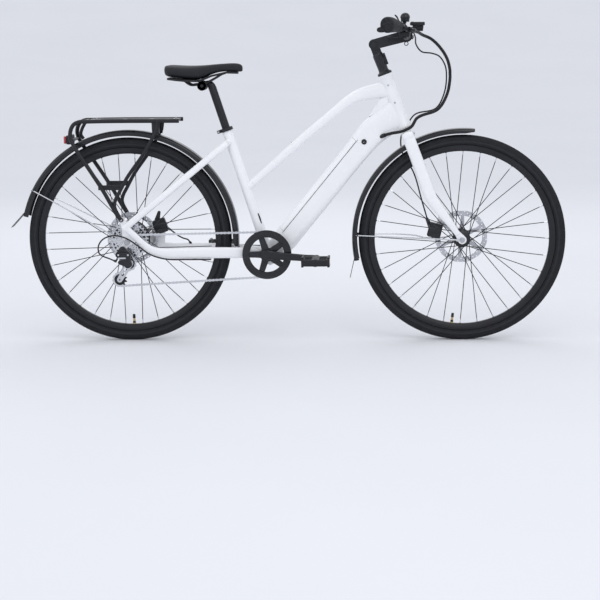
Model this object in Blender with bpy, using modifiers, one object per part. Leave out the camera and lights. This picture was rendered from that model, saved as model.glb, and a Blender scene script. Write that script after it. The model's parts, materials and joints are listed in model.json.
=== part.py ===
"""Step-through electric bicycle with a hub motor, a down tube battery and a rack.

Sizes are in metres. X runs forward, Y to the bicycle's left, Z up from the floor.
Every piece is measured from the rear axle, the crank axle or the steering axis.
One empty carries them all, so that the overall box is centred on the origin.
"""
import math

import bmesh
import bpy
from mathutils import Matrix, Vector

# Clearances
GAP = 0.0003
BEARING_GAP = 0.0005

# Layout
WHEELBASE = 1.138
BB_FORWARD = 0.476
BB_HEIGHT = 0.304
SEAT_ANGLE = math.radians(72.2)
HEAD_ANGLE = math.radians(69.7)
FORK_OFFSET = 0.050
REAR_OLD = 0.135
FRONT_OLD = 0.100

# Wheels
TYRE_RADIUS = 0.351
TYRE_WIDTH = 0.040
TREAD_WIDTH = 0.012
BEAD_RADIUS = 0.3113
RIM_INNER_RADIUS = 0.296
RIM_WIDTH = 0.024
RIM_FLANGE_RADIUS = 0.317
RIM_FLANGE = 0.002
WHEEL_STEPS = 28
SPOKES = 32
SPOKE_RADIUS = 0.0011
SPOKE_CROSSING = 0.0019
SPOKE_SIDE = 0.003
SPOKE_HOLD = 0.004
FRONT_HUB_STEPS = 12
FRONT_SPOKE_TURN = math.radians(60.0)
MOTOR_STEPS = 14
REAR_SPOKE_TURN = math.radians(24.0)
MOTOR_SPOKES_LEFT = 0.026
MOTOR_SPOKES_RIGHT = -0.008
FRONT_FLANGE_RADIUS = 0.029
FRONT_FLANGE_Y = 0.027
FRONT_HUB_RADIUS = 0.014
FRONT_AXLE_RADIUS = 0.005
MOTOR_RADIUS = 0.064
MOTOR_LEFT_Y = 0.040
MOTOR_RIGHT_Y = 0.018
REAR_AXLE_RADIUS = 0.006
VALVE_LENGTH = 0.034

# Brakes
ROTOR_RADIUS = 0.090
ROTOR_THICKNESS = 0.0018
ROTOR_BAND = 0.017
FRONT_ROTOR_Y = 0.0402
REAR_ROTOR_Y = 0.0522
CALIPER_LENGTH = 0.046
CALIPER_HEIGHT = 0.050

# Frame tubes
SEAT_TUBE_RADIUS = 0.01745
SEAT_TUBE_LENGTH = 0.445
SEATPOST_RADIUS = 0.0136
SEATPOST_TOP = 0.603
SEATPOST_DEPTH = 0.150
POST_TRAVEL = 0.080
HEAD_TUBE_RADIUS = 0.0235
HEAD_TUBE_LOW = 0.421
HEAD_TUBE_LENGTH = 0.189
STEERER_RADIUS = 0.0143
BB_SHELL_RADIUS = 0.021
BB_SHELL_WIDTH = 0.068
DOWN_TUBE_DEPTH = 0.084
DOWN_TUBE_WIDTH = 0.060
TOP_TUBE_WIDTH = 0.036
STAY_DEPTH = 0.023
CHAINSTAY_DEPTH = 0.038
STAY_WIDTH = 0.016
DROPOUT_THICKNESS = 0.006
BATTERY_LOW = 0.112
BATTERY_LENGTH = 0.394
BATTERY_COVER = 0.019
BATTERY_INNER_DEPTH = 0.040
BATTERY_INNER_WIDTH = 0.043
LOCK_RADIUS = 0.006

# Drive
CHAIN_PITCH = 0.0127
RING_TEETH = 38
COG_TEETH = (11, 13, 15, 18, 21, 26, 32)
JOCKEY_TEETH = 11
COG_SPACING = 0.0055
SMALL_COG_Y = -0.060
RING_Y = -0.052
TOOTH_THICKNESS = 0.0016
CHAIN_INNER_HALF = 0.0016
CHAIN_OUTER_HALF = 0.0034
ROLLER_RADIUS = 0.0039
GUARD_RADIUS = 0.084
GUARD_BAND = 0.022
CRANK_LENGTH = 0.170
CRANK_DROP = math.radians(4.3)
SPINDLE_RADIUS = 0.0087
CRANK_INNER_Y = 0.0615
CRANK_THICKNESS = 0.014
PEDAL_LENGTH = 0.094
PEDAL_WIDTH = 0.096
PEDAL_HEIGHT = 0.034
PEDAL_FRAME = 0.022
PEDAL_AXLE_RADIUS = 0.0055
FREEHUB_RADIUS = 0.015
GUIDE_OFFSET = (0.0022, -0.0753)
TENSION_OFFSET = (-0.0328, -0.0553)

# Cockpit
STEM_TOP = 0.717
STEERER_END = STEM_TOP - 0.060
STEM_REACH = 0.1084
STEM_RISE = 0.0276
STEM_JOINT_RADIUS = 0.0175
STEM_CLAMP_RADIUS = 0.0195
BAR_CLAMP_RADIUS = 0.0159
BAR_RADIUS = 0.0111
GRIP_START = 0.195
GRIP_END = 0.325
GRIP_HEIGHT = 0.047
GRIP_DEPTH = 0.056
BRACKET_Y = 0.178
BELL_RADIUS = 0.016
BELL_Y = 0.150
DISPLAY_LENGTH = 0.049
DISPLAY_WIDTH = 0.066
DISPLAY_THICKNESS = 0.012

# Saddle
SADDLE_WIDTH = 0.155
NOSE_WIDTH = 0.046
RAIL_SPACING = 0.044
RAIL_RADIUS = 0.0035

# Rack and mudguards
RACK_WIDTH = 0.110
RACK_HEIGHT = 0.760
RACK_TUBE = 0.0072
GUARD_OUTER = 0.377
FRONT_GUARD_OUTER = 0.3735
MUDGUARD_WIDTH = 0.050
MUDGUARD_SKIRT = 0.020
MUDGUARD_WALL = 0.0016
STAY_WIRE_RADIUS = 0.0024
REAR_REACH = 0.4104
CABLE_RADIUS = 0.0025
LOOP_RADIUS = 0.0052

FRONT_REACH = WHEELBASE + TYRE_RADIUS
MID_LENGTH = (FRONT_REACH - REAR_REACH) / 2

REAR_AXLE = Vector((0.0, 0.0, TYRE_RADIUS))
FRONT_AXLE = Vector((WHEELBASE, 0.0, TYRE_RADIUS))
BB = Vector((BB_FORWARD, 0.0, BB_HEIGHT))
SEAT_UP = Vector((-math.cos(SEAT_ANGLE), 0.0, math.sin(SEAT_ANGLE)))
STEER_UP = Vector((-math.cos(HEAD_ANGLE), 0.0, math.sin(HEAD_ANGLE)))
STEER_AHEAD = Vector((math.sin(HEAD_ANGLE), 0.0, math.cos(HEAD_ANGLE)))
STEER_FOOT = FRONT_AXLE - STEER_AHEAD * FORK_OFFSET
LEFT = Vector((0.0, 1.0, 0.0))
SEAT_LEAN = SEAT_ANGLE - math.pi / 2


def steer(along, ahead=0.0, left=0.0):
    """Point measured up the steering axis, ahead of it and to the left."""
    return STEER_FOOT + STEER_UP * along + STEER_AHEAD * ahead + LEFT * left


def seat(along, ahead=0.0, left=0.0):
    """Point measured up the seat tube from the crank axle."""
    ahead_way = Vector((SEAT_UP.z, 0.0, -SEAT_UP.x))
    return BB + SEAT_UP * along + ahead_way * ahead + LEFT * left


def rear(x, z, left=0.0):
    """Point measured from the rear axle."""
    return REAR_AXLE + Vector((x, left, z))


def along(start, end, fraction, rise=0.0, left=0.0):
    """Point on the side view line from start to end, raised square to it."""
    way = (end - start).normalized()
    up = Vector((-way.z, 0.0, way.x))
    if way.x < 0:
        up.negate()
    return start + (end - start) * fraction + up * rise + LEFT * left


# Scene
for old in list(bpy.data.objects):
    bpy.data.objects.remove(old, do_unlink=True)
parts = bpy.data.collections.new("electric_bicycle")
bpy.context.scene.collection.children.link(parts)
root = bpy.data.objects.new("bicycle_origin", None)
root.location = (-MID_LENGTH, 0.0, 0.0)
parts.objects.link(root)


def paint(name, colour, roughness, metallic=0.0):
    """Principled material."""
    made = bpy.data.materials.new(name)
    made.use_nodes = True
    shader = made.node_tree.nodes["Principled BSDF"]
    shader.inputs["Base Color"].default_value = (*colour, 1.0)
    shader.inputs["Roughness"].default_value = roughness
    shader.inputs["Metallic"].default_value = metallic
    made.diffuse_color = (*colour, 1.0)
    return made


WHITE_PAINT = paint("white_paint", (0.86, 0.87, 0.89), 0.28)
BLACK_PLASTIC = paint("black_plastic", (0.018, 0.018, 0.022), 0.45)
BLACK_METAL = paint("black_metal", (0.022, 0.022, 0.026), 0.35, 0.6)
RUBBER = paint("rubber", (0.016, 0.016, 0.018), 0.75)
SILVER = paint("silver", (0.62, 0.63, 0.65), 0.25, 1.0)
STEEL = paint("steel", (0.42, 0.43, 0.45), 0.32, 1.0)
RED_LENS = paint("red_lens", (0.55, 0.03, 0.03), 0.2)
VINYL = paint("vinyl", (0.02, 0.02, 0.022), 0.6)


def as_object(bm, name="piece"):
    """Temporary object of a bmesh, with its faces turned out."""
    bmesh.ops.recalc_face_normals(bm, faces=bm.faces)
    mesh = bpy.data.meshes.new(name)
    bm.to_mesh(mesh)
    bm.free()
    made = bpy.data.objects.new(name, mesh)
    parts.objects.link(made)
    return made


def bake(source, weld=0.000002):
    """Replace an object by its evaluated mesh in its own frame."""
    bpy.context.view_layer.update()
    graph = bpy.context.evaluated_depsgraph_get()
    mesh = bpy.data.meshes.new_from_object(source.evaluated_get(graph))
    mesh.transform(source.matrix_world)
    made = bpy.data.objects.new(source.name + "_mesh", mesh)
    bpy.data.objects.remove(source, do_unlink=True)
    parts.objects.link(made)
    bm = bmesh.new()
    bm.from_mesh(mesh)
    bmesh.ops.remove_doubles(bm, verts=bm.verts, dist=weld)
    thinned = bm.copy()
    bmesh.ops.dissolve_degenerate(thinned, dist=weld, edges=thinned.edges)
    stray = [edge for edge in thinned.edges if not edge.link_faces]
    bmesh.ops.delete(thinned, geom=stray, context="EDGES")
    if all(edge.is_manifold for edge in thinned.edges):
        bm.free()
        bm = thinned
    bmesh.ops.recalc_face_normals(bm, faces=bm.faces)
    bm.to_mesh(mesh)
    bm.free()
    return made


def boolean(base, tools, operation):
    """Join, cut or meet solids one after another."""
    for tool in tools:
        step = base.modifiers.new("step", "BOOLEAN")
        step.operation = operation
        step.solver = "EXACT"
        step.object = tool
    made = bake(base)
    for tool in tools:
        bpy.data.objects.remove(tool, do_unlink=True)
    return made


def join(base, *tools):
    return boolean(base, tools, "UNION")


def cut(base, *tools):
    return boolean(base, tools, "DIFFERENCE")


def meet(base, *tools):
    return boolean(base, tools, "INTERSECT")


def copy_of(source):
    made = bpy.data.objects.new(source.name + "_copy", source.data.copy())
    parts.objects.link(made)
    return made


def turned(profile, centre, way=LEFT, steps=24, phase=0.0):
    """Solid or ring turned about a line through centre along way."""
    mesh = bpy.data.meshes.new("profile")
    points = [(radius, 0.0, height) for radius, height in profile]
    ring = all(radius > 0.00001 for radius, _ in profile)
    edges = [(i, i + 1) for i in range(len(points) - 1)]
    if ring:
        edges.append((len(points) - 1, 0))
    mesh.from_pydata(points, edges, [])
    made = bpy.data.objects.new("turned", mesh)
    parts.objects.link(made)
    screw = made.modifiers.new("turn", "SCREW")
    screw.axis = "Z"
    screw.angle = math.tau
    screw.steps = steps
    screw.render_steps = steps
    screw.use_merge_vertices = True
    screw.merge_threshold = 0.00001
    turn = Vector((0.0, 0.0, 1.0)).rotation_difference(way.normalized())
    spin = Matrix.Rotation(phase, 4, "Z")
    made.matrix_world = Matrix.Translation(centre) @ turn.to_matrix().to_4x4() @ spin
    return bake(made)


def rod(start, end, radius, sides=8, end_radius=None):
    """Straight round bar from start to end."""
    length = (end - start).length
    bm = bmesh.new()
    bmesh.ops.create_cone(
        bm, cap_ends=True, segments=sides, radius1=radius,
        radius2=radius if end_radius is None else end_radius, depth=length)
    turn = Vector((0.0, 0.0, 1.0)).rotation_difference((end - start).normalized())
    place_at = Matrix.Translation((start + end) / 2) @ turn.to_matrix().to_4x4()
    bmesh.ops.transform(bm, matrix=place_at, verts=bm.verts)
    return as_object(bm)


def cross_rod(centre, radius, low, high, sides=16):
    """Round bar across the bicycle, from y low to y high."""
    flat = Vector((centre.x, 0.0, centre.z))
    return rod(flat + LEFT * low, flat + LEFT * high, radius, sides)


def box(centre, size, tilt=0.0, round_by=0.0):
    """Box turned by tilt about Y, with rounded edges if asked."""
    bm = bmesh.new()
    bmesh.ops.create_cube(bm, size=1.0)
    bmesh.ops.scale(bm, vec=Vector(size), verts=bm.verts)
    if round_by:
        bmesh.ops.bevel(bm, geom=bm.edges, offset=round_by, segments=1,
                        affect="EDGES", profile=0.5)
    move = Matrix.Translation(centre) @ Matrix.Rotation(tilt, 4, "Y")
    bmesh.ops.transform(bm, matrix=move, verts=bm.verts)
    return as_object(bm)


def plate(outlines, low, high, frame=None):
    """Flat outlines in side view, thick from y low to y high."""
    curve = bpy.data.curves.new("plate", "CURVE")
    curve.dimensions = "2D"
    curve.fill_mode = "BOTH"
    curve.extrude = (high - low) / 2
    for outline in outlines:
        spline = curve.splines.new("POLY")
        spline.points.add(len(outline) - 1)
        for point, (x, z) in zip(spline.points, outline):
            point.co = (x, z, 0.0, 1.0)
        spline.use_cyclic_u = True
    made = bpy.data.objects.new("plate", curve)
    parts.objects.link(made)
    stand = Matrix.Translation((0.0, (low + high) / 2, 0.0)) @ Matrix.Rotation(
        math.pi / 2, 4, "X")
    if frame is not None:
        stand = frame @ Matrix.Translation((0.0, 0.0, (low + high) / 2))
    made.matrix_world = stand
    return bake(made, 0.00001)


def circle(x, z, radius, count=12, phase=0.0):
    """Points of a circle in side view."""
    return [(x + radius * math.cos(phase + math.tau * i / count),
             z + radius * math.sin(phase + math.tau * i / count))
            for i in range(count)]


def hull(*circles, count=16):
    """Outline of the tight band round some circles (x, z, radius)."""
    cloud = set()
    for x, z, radius in circles:
        cloud.update((round(a, 7), round(b, 7)) for a, b in circle(x, z, radius, count))
    cloud = sorted(cloud)

    def chain(points):
        out = []
        for p in points:
            while len(out) > 1 and ((out[-1][0] - out[-2][0]) * (p[1] - out[-2][1])
                                    - (out[-1][1] - out[-2][1]) * (p[0] - out[-2][0])) <= 1e-12:
                out.pop()
            out.append(p)
        return out[:-1]

    return chain(cloud) + chain(cloud[::-1])


def band(low, high, *circles, count=12):
    """Plate between y low and y high round some circles (x, z, radius)."""
    return plate([hull(*circles, count=count)], low, high)


def tube(points, radius, resolution=2, radii=None):
    """Tube through points, with closed ends."""
    curve = bpy.data.curves.new("tube", "CURVE")
    curve.dimensions = "3D"
    curve.bevel_depth = radius
    curve.bevel_resolution = resolution
    curve.use_fill_caps = True
    spline = curve.splines.new("POLY")
    spline.points.add(len(points) - 1)
    for i, (point, place_of) in enumerate(zip(spline.points, points)):
        point.co = (*place_of, 1.0)
        point.radius = radii[i] if radii else 1.0
    made = bpy.data.objects.new("tube", curve)
    parts.objects.link(made)
    return bake(made, 0.00001)


def smooth_route(points, step):
    """Points read at equal steps from a smooth curve through the given ones."""
    fine = []
    ends = [points[0] * 2 - points[1]] + list(points) + [points[-1] * 2 - points[-2]]
    for a, b, c, d in zip(ends, ends[1:], ends[2:], ends[3:]):
        for i in range(16):
            t = i / 16
            fine.append(0.5 * ((2 * b) + (c - a) * t + (2 * a - 5 * b + 4 * c - d) * t * t
                               + (3 * b - a - 3 * c + d) * t ** 3))
    fine.append(points[-1].copy())
    lengths = [0.0]
    for a, b in zip(fine, fine[1:]):
        lengths.append(lengths[-1] + (b - a).length)
    count = max(2, round(lengths[-1] / step))
    out = []
    j = 0
    for i in range(count + 1):
        goal = lengths[-1] * i / count
        while j < len(fine) - 2 and lengths[j + 1] < goal:
            j += 1
        share = (goal - lengths[j]) / max(lengths[j + 1] - lengths[j], 1e-9)
        out.append(fine[j].lerp(fine[j + 1], min(share, 1.0)))
    return out


def oval(centre, up, half_depth, half_width, power=2.0, count=12, side=LEFT):
    """Ring of a rounded section, deep along up and wide along side."""
    ring = []
    for i in range(count):
        angle = math.tau * (i + 0.5) / count
        c = math.cos(angle)
        s = math.sin(angle)
        ring.append(centre
                    + up * (half_depth * math.copysign(abs(c) ** (2 / power), c))
                    + side * (half_width * math.copysign(abs(s) ** (2 / power), s)))
    return ring


def loft(rings):
    """Closed skin over a row of unlike sections."""
    bm = bmesh.new()
    rows = [[bm.verts.new(p) for p in ring] for ring in rings]
    for a, b in zip(rows, rows[1:]):
        for i in range(len(a)):
            j = (i + 1) % len(a)
            bm.faces.new((a[i], a[j], b[j], b[i]))
    bm.faces.new(rows[0][::-1])
    bm.faces.new(rows[-1])
    return as_object(bm)


def swept(stations, power=2.0, count=12):
    """Tube whose section changes: stations are (point, depth, width)."""
    rings = []
    for i, (point, depth, width) in enumerate(stations):
        before = stations[max(i - 1, 0)][0]
        after = stations[min(i + 1, len(stations) - 1)][0]
        way = after - before
        up = Vector((-way.z, 0.0, way.x)).normalized()
        rings.append(oval(point, up, depth / 2, width / 2, power, count))
    return loft(rings)


def mirrored(source):
    """Copy of a piece on the other side of the bicycle."""
    made = copy_of(source)
    made.data.transform(Matrix.Scale(-1.0, 4, LEFT))
    made.data.flip_normals()
    return made


def merge_flat(mesh):
    """Merge faces that lie in one plane, where the surface stays closed."""
    bm = bmesh.new()
    bm.from_mesh(mesh)
    bmesh.ops.dissolve_limit(bm, angle_limit=math.radians(0.8), use_dissolve_boundaries=False,
                             verts=bm.verts, edges=bm.edges)
    trial = bm.copy()
    bmesh.ops.triangulate(trial, faces=trial.faces)
    if all(edge.is_manifold for edge in trial.edges):
        bm.to_mesh(mesh)
    trial.free()
    bm.free()


def finish(source, name, material, origin, smooth=35.0):
    """Name a piece, put its origin on its axis and hang it on the root."""
    merge_flat(source.data)
    source.name = name
    source.data.name = name
    source.data.transform(Matrix.Translation(-origin))
    source.parent = root
    source.location = origin
    source.data.materials.clear()
    source.data.materials.append(material)
    source.data.shade_smooth()
    source.data.set_sharp_from_angle(angle=math.radians(smooth))
    return source


# Down tube section, shared by the frame and the battery
DOWN_START = BB + Vector((0.0021, 0.0, -0.024))
DOWN_END = steer(0.4545, -0.0925)
DOWN_WAY = (DOWN_END - DOWN_START).normalized()
DOWN_OUT = Vector((DOWN_WAY.z, 0.0, -DOWN_WAY.x))
DOWN_LENGTH = (DOWN_END - DOWN_START).length
DOWN_TILT = math.atan2(DOWN_WAY.x, DOWN_WAY.z)
COVER_EDGE = BATTERY_COVER - DOWN_TUBE_DEPTH / 2
BATTERY_HIGH = BATTERY_LOW + BATTERY_LENGTH


def down(reach, out=0.0, left=0.0):
    """Point measured along the down tube and square to it."""
    return DOWN_START + DOWN_WAY * reach + DOWN_OUT * out + LEFT * left


def down_box(low, high, inner, outer, width, round_by=0.0):
    """Box along the down tube."""
    centre = down((low + high) / 2, (inner + outer) / 2)
    return box(centre, (outer - inner, width, high - low), DOWN_TILT, round_by)


def down_tube_skin():
    """Deep rounded tube that narrows at the crank and flares at the head tube."""
    half = DOWN_TUBE_DEPTH / 2
    wide = DOWN_TUBE_WIDTH / 2
    rings = []
    for reach, top, bottom, width in (
            (-0.012, 0.012, 0.018, 0.72), (0.030, half - 0.008, half - 0.008, 0.86),
            (0.090, half, half, 0.97), (0.140, half, half, 1.0),
            (DOWN_LENGTH - 0.100, half, half, 1.0),
            (DOWN_LENGTH - 0.020, half + 0.003, half + 0.006, 0.93)):
        centre = down(reach, (bottom - top) / 2)
        rings.append(oval(centre, -DOWN_OUT, (top + bottom) / 2, wide * width, 3.4, 12))
    low = steer(HEAD_TUBE_LOW + 0.006)
    high = steer(HEAD_TUBE_LOW + 0.104)
    rings.append(oval((low + high) / 2, STEER_UP, (high - low).length / 2,
                      HEAD_TUBE_RADIUS * 0.8, 2.8, 12))
    return loft(rings)


TOP_TUBE_START = 0.230
TOP_TUBE_END = 0.5537
# share of the run, rise off the straight line, depth
TOP_TUBE_STATIONS = (
    (0.0, 0.0, 0.026), (0.117, 0.009, 0.027), (0.409, 0.0313, 0.0295), (0.675, 0.0462, 0.032),
    (0.740, 0.0500, 0.034), (0.790, 0.0500, 0.037), (0.839, 0.0452, 0.042),
    (0.8945, 0.0336, 0.048), (0.937, 0.0225, 0.050), (1.0, 0.0, 0.050))


def top_tube_point(share, rise=0.0, left=0.0):
    return along(seat(TOP_TUBE_START), steer(TOP_TUBE_END), share, rise, left)


STAY_REAR_Y = REAR_OLD / 2 - 0.0025 + STAY_WIDTH / 2
CORNER = (-0.004, 0.050)
PLATE_LOW = REAR_OLD / 2 + GAP
PLATE_HIGH = PLATE_LOW + DROPOUT_THICKNESS
RACK_EYE = (-0.0177, 0.077)
HANGER = (-0.0153, -0.024)
STAY_TOP = 0.404


def seatstay():
    """Left seat stay, from the seat tube out and down to the dropout corner."""
    top = seat(STAY_TOP)
    corner = rear(*CORNER)
    rings = []
    for share, left in ((0.0, 0.014), (0.075, 0.028), (0.185, 0.037), (0.47, 0.055),
                        (0.76, STAY_REAR_Y - 0.002), (1.02, STAY_REAR_Y)):
        rings.append((along(top, corner, share, 0.0, left), STAY_DEPTH, STAY_WIDTH))
    return swept(rings, 2.6, 8)


def chainstay():
    """Left chain stay, bent up behind the wheel's axle to meet the seat stay."""
    start = STAY_REAR_Y
    level = BB_HEIGHT - TYRE_RADIUS
    reach = BB_FORWARD
    deep = CHAINSTAY_DEPTH
    rings = []
    for x, z, left, depth, width in (
            (CORNER[0], CORNER[1], start, STAY_DEPTH - 0.001, STAY_WIDTH - 0.0012),
            (0.020, 0.027, start, STAY_DEPTH - 0.001, STAY_WIDTH - 0.0008),
            (0.050, -0.002, start, STAY_DEPTH, STAY_WIDTH - 0.0004),
            (0.080, -0.027, start, STAY_DEPTH + 0.006, STAY_WIDTH),
            (0.118, level + 0.008, start - 0.002, deep - 0.002, STAY_WIDTH),
            (reach * 0.46, level + 0.007, 0.062, deep, STAY_WIDTH + 0.001),
            (reach - 0.166, level + 0.006, 0.047, deep, STAY_WIDTH + 0.001),
            (reach - 0.090, level + 0.004, 0.0355, deep - 0.002, STAY_WIDTH),
            (reach, level, 0.0245, deep - 0.008, STAY_WIDTH)):
        rings.append((rear(x, z, left), depth, width))
    return swept(rings, 2.8, 8)


def dropout(right):
    """Plate that carries the axle, the rack eye and, on the right, the hanger."""
    low, high = (-PLATE_HIGH, -PLATE_LOW) if right else (PLATE_LOW, PLATE_HIGH)
    base = TYRE_RADIUS
    thin = DROPOUT_THICKNESS * 0.06
    pieces = [
        band(low + thin, high - thin, (CORNER[0], base + CORNER[1] + 0.003, 0.013),
             (RACK_EYE[0], base + RACK_EYE[1], 0.0085)),
        band(low, high, (CORNER[0], base + CORNER[1], 0.012), (0.030, base + 0.014, 0.011),
             (0.0, base, 0.0155))]
    if right:
        pieces.append(band(low + 2 * thin, high - 2 * thin, (0.0, base, 0.0120),
                           (HANGER[0], base + HANGER[1], 0.0095), count=14))
    return pieces


LOOP_PORT_WAY = Vector((0.718, -0.638, 0.279)).normalized()
LOOP_PORT = down(DOWN_LENGTH + 0.0034, 0.0402 - DOWN_TUBE_DEPTH / 2 + 0.042, -0.034)
HOSE_PORT_WAY = Vector((-0.6, 0.0, 0.8))
HOSE_PORT = rear(0.1970, BB_HEIGHT - TYRE_RADIUS + 0.007 + CHAINSTAY_DEPTH / 2 + 0.004, 0.062)


def frame_body():
    low = HEAD_TUBE_LOW
    high = low + HEAD_TUBE_LENGTH
    radius = HEAD_TUBE_RADIUS
    head = turned([(0.0, high), (radius + 0.0015, high), (radius + 0.0015, high - 0.006),
                   (radius, high - 0.008), (radius, low + 0.010),
                   (radius + 0.0015, low + 0.008), (radius + 0.0015, low), (0.0, low)],
                  STEER_FOOT, STEER_UP, 14)
    seat_tube = rod(seat(-0.006), seat(SEAT_TUBE_LENGTH), SEAT_TUBE_RADIUS, 14)
    shell = cross_rod(BB, BB_SHELL_RADIUS, -BB_SHELL_WIDTH / 2, BB_SHELL_WIDTH / 2, 12)
    top_tube = swept([(top_tube_point(share, rise), depth,
                       TOP_TUBE_WIDTH * (1.0 if share else 0.75))
                      for share, rise, depth in TOP_TUBE_STATIONS], 2.7, 8)
    left_seatstay = seatstay()
    left_chainstay = chainstay()
    bridge_share = 0.215
    bridge_at = along(seat(STAY_TOP), rear(*CORNER), bridge_share)
    seat_bridge = cross_rod(bridge_at, 0.006, -0.034, 0.034, 10)
    chain_bridge = cross_rod(BB + Vector((-0.078, 0.0, 0.006)), 0.007, -0.030, 0.030, 10)
    caliper_tab = band(STAY_REAR_Y - STAY_WIDTH / 2 - 0.0007, STAY_REAR_Y - 0.003,
                       (0.050, TYRE_RADIUS, 0.010), (0.100, TYRE_RADIUS - 0.026, 0.010),
                       (0.104, TYRE_RADIUS + 0.034, 0.009), count=12)
    whole = join(down_tube_skin(), head, seat_tube, shell, top_tube)
    whole = join(whole, left_seatstay, mirrored(left_seatstay))
    whole = join(whole, left_chainstay, mirrored(left_chainstay), seat_bridge, chain_bridge)
    whole = join(whole, *dropout(False), *dropout(True), caliper_tab)
    bosses = []
    for share in (0.265, 0.368):
        foot = top_tube_point(share, 0.0302 + 0.011 * (share - 0.265) / 0.103 - 0.004)
        bosses.append(rod(foot, foot + (foot - top_tube_point(share)).normalized() * 0.0085,
                          0.0045, 8, 0.0035))
    cable_port = rod(LOOP_PORT - LOOP_PORT_WAY * 0.024, LOOP_PORT, LOOP_RADIUS + 0.0016, 10)
    hose_port = rod(HOSE_PORT - HOSE_PORT_WAY * 0.014, HOSE_PORT, CABLE_RADIUS + 0.0016, 8)
    whole = join(whole, *bosses, cable_port, hose_port)
    head_bore = rod(steer(low - 0.01), steer(high + 0.01), STEERER_RADIUS + 0.0025, 12)
    post_bore = rod(seat(SEAT_TUBE_LENGTH - SEATPOST_DEPTH - POST_TRAVEL - 0.004),
                    seat(SEAT_TUBE_LENGTH + 0.01), SEATPOST_RADIUS * 1.02 + BEARING_GAP, 14)
    bb_bore = cross_rod(BB, SPINDLE_RADIUS + BEARING_GAP, -0.05, 0.05, 12)
    axle_bore = cross_rod(REAR_AXLE, REAR_AXLE_RADIUS + BEARING_GAP, -0.09, 0.09, 10)
    cover_room = down_box(BATTERY_LOW - GAP, BATTERY_HIGH + GAP,
                          -DOWN_TUBE_DEPTH, COVER_EDGE + GAP, 0.12)
    inner_room = down_box(BATTERY_LOW + 0.008 - GAP, BATTERY_HIGH - 0.008 + GAP,
                          COVER_EDGE - 0.005, COVER_EDGE + BATTERY_INNER_DEPTH + GAP,
                          BATTERY_INNER_WIDTH + 2 * GAP)
    lock_room = rod(lock_centre(-0.045), lock_centre(-0.0165), LOCK_RADIUS + GAP, 12)
    bracket_hole = rear(*HANGER)
    hanger_bore = cross_rod(bracket_hole, 0.0045 + GAP, -0.09, -0.06, 10)
    return cut(whole, head_bore, post_bore, bb_bore, axle_bore, cover_room, inner_room,
               lock_room, hanger_bore)


def lock_centre(left):
    return down(BATTERY_HIGH + 0.0145, -0.001, left)


frame = frame_body()
finish(frame, "frame", WHITE_PAINT, BB)

cover = meet(down_tube_skin(), down_box(BATTERY_LOW, BATTERY_HIGH, -DOWN_TUBE_DEPTH,
                                        COVER_EDGE, 0.12))
battery_block = down_box(BATTERY_LOW + 0.008, BATTERY_HIGH - 0.008, COVER_EDGE - 0.004,
                         COVER_EDGE + BATTERY_INNER_DEPTH, BATTERY_INNER_WIDTH)
battery = join(cover, battery_block)
finish(battery, "battery", WHITE_PAINT, down((BATTERY_LOW + BATTERY_HIGH) / 2))

lock_side = -DOWN_TUBE_WIDTH / 2 - 0.0012
key_lock = rod(lock_centre(lock_side), lock_centre(-0.0168), LOCK_RADIUS, 12)
key_slot = down_box(BATTERY_HIGH + 0.0145 - 0.004, BATTERY_HIGH + 0.0145 + 0.004,
                    -0.0018, -0.0002, 0.004)
key_slot.data.transform(Matrix.Translation(LEFT * lock_side))
key_lock = cut(key_lock, key_slot)
finish(key_lock, "battery_lock", STEEL, lock_centre(lock_side))

# Seat collar, clamped round the top of the seat tube
collar_low = SEAT_TUBE_LENGTH - 0.020
collar_high = SEAT_TUBE_LENGTH + 0.0045
collar = turned([(SEAT_TUBE_RADIUS + 0.0048, collar_high), (SEAT_TUBE_RADIUS + 0.0048, collar_low),
                 (SEAT_TUBE_RADIUS + BEARING_GAP, collar_low),
                 (SEAT_TUBE_RADIUS + BEARING_GAP, SEAT_TUBE_LENGTH + GAP),
                 (SEATPOST_RADIUS + BEARING_GAP, SEAT_TUBE_LENGTH + GAP),
                 (SEATPOST_RADIUS + BEARING_GAP, collar_high)], BB, SEAT_UP, 14)
ear_at = seat((collar_low + collar_high) / 2, -SEAT_TUBE_RADIUS - 0.0085)
ears = box(ear_at, (0.014, 0.020, 0.018), SEAT_LEAN)
collar_bolt = cross_rod(seat((collar_low + collar_high) / 2, -SEAT_TUBE_RADIUS - 0.0105),
                        0.0035, -0.0135, 0.0135, 10)
collar = join(collar, ears, collar_bolt)
collar_slit = box(seat((collar_low + collar_high) / 2, -SEAT_TUBE_RADIUS - 0.0135),
                  (0.018, 0.0025, 0.05), SEAT_LEAN)
collar = cut(collar, collar_slit)
finish(collar, "seat_collar", BLACK_METAL, seat(collar_low))

# Fork, with its steerer and crown race
CROWN = 0.393
CROWN_HEIGHT = 0.030
CROWN_DEPTH = 0.041
# share from crown to axle, bend, depth, width, distance to the left
BLADE_STATIONS = (
    (0.0, 0.001, 0.040, 0.026, 0.043), (0.1406, -0.0063, 0.041, 0.025, 0.0465),
    (0.3412, -0.0161, 0.041, 0.024, 0.051), (0.5643, -0.0261, 0.039, 0.021, 0.0545),
    (0.7011, -0.0195, 0.033, 0.018, 0.056), (0.8213, -0.0104, 0.025, 0.014, 0.057),
    (0.9400, -0.0042, 0.018, 0.010, 0.0565))
FORK_PLATE_LOW = FRONT_OLD / 2 + GAP
FORK_PLATE_HIGH = FORK_PLATE_LOW + DROPOUT_THICKNESS


def fork_blade():
    crown_at = steer(CROWN)
    return swept([(along(crown_at, FRONT_AXLE, share, bend, left), deep, wide)
                  for share, bend, deep, wide, left in BLADE_STATIONS], 2.3, 8)


FRONT_CALIPER = Vector((-0.090, 0.0, 0.021))
FRONT_CALIPER_OUT = FRONT_ROTOR_Y + 0.0185


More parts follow.
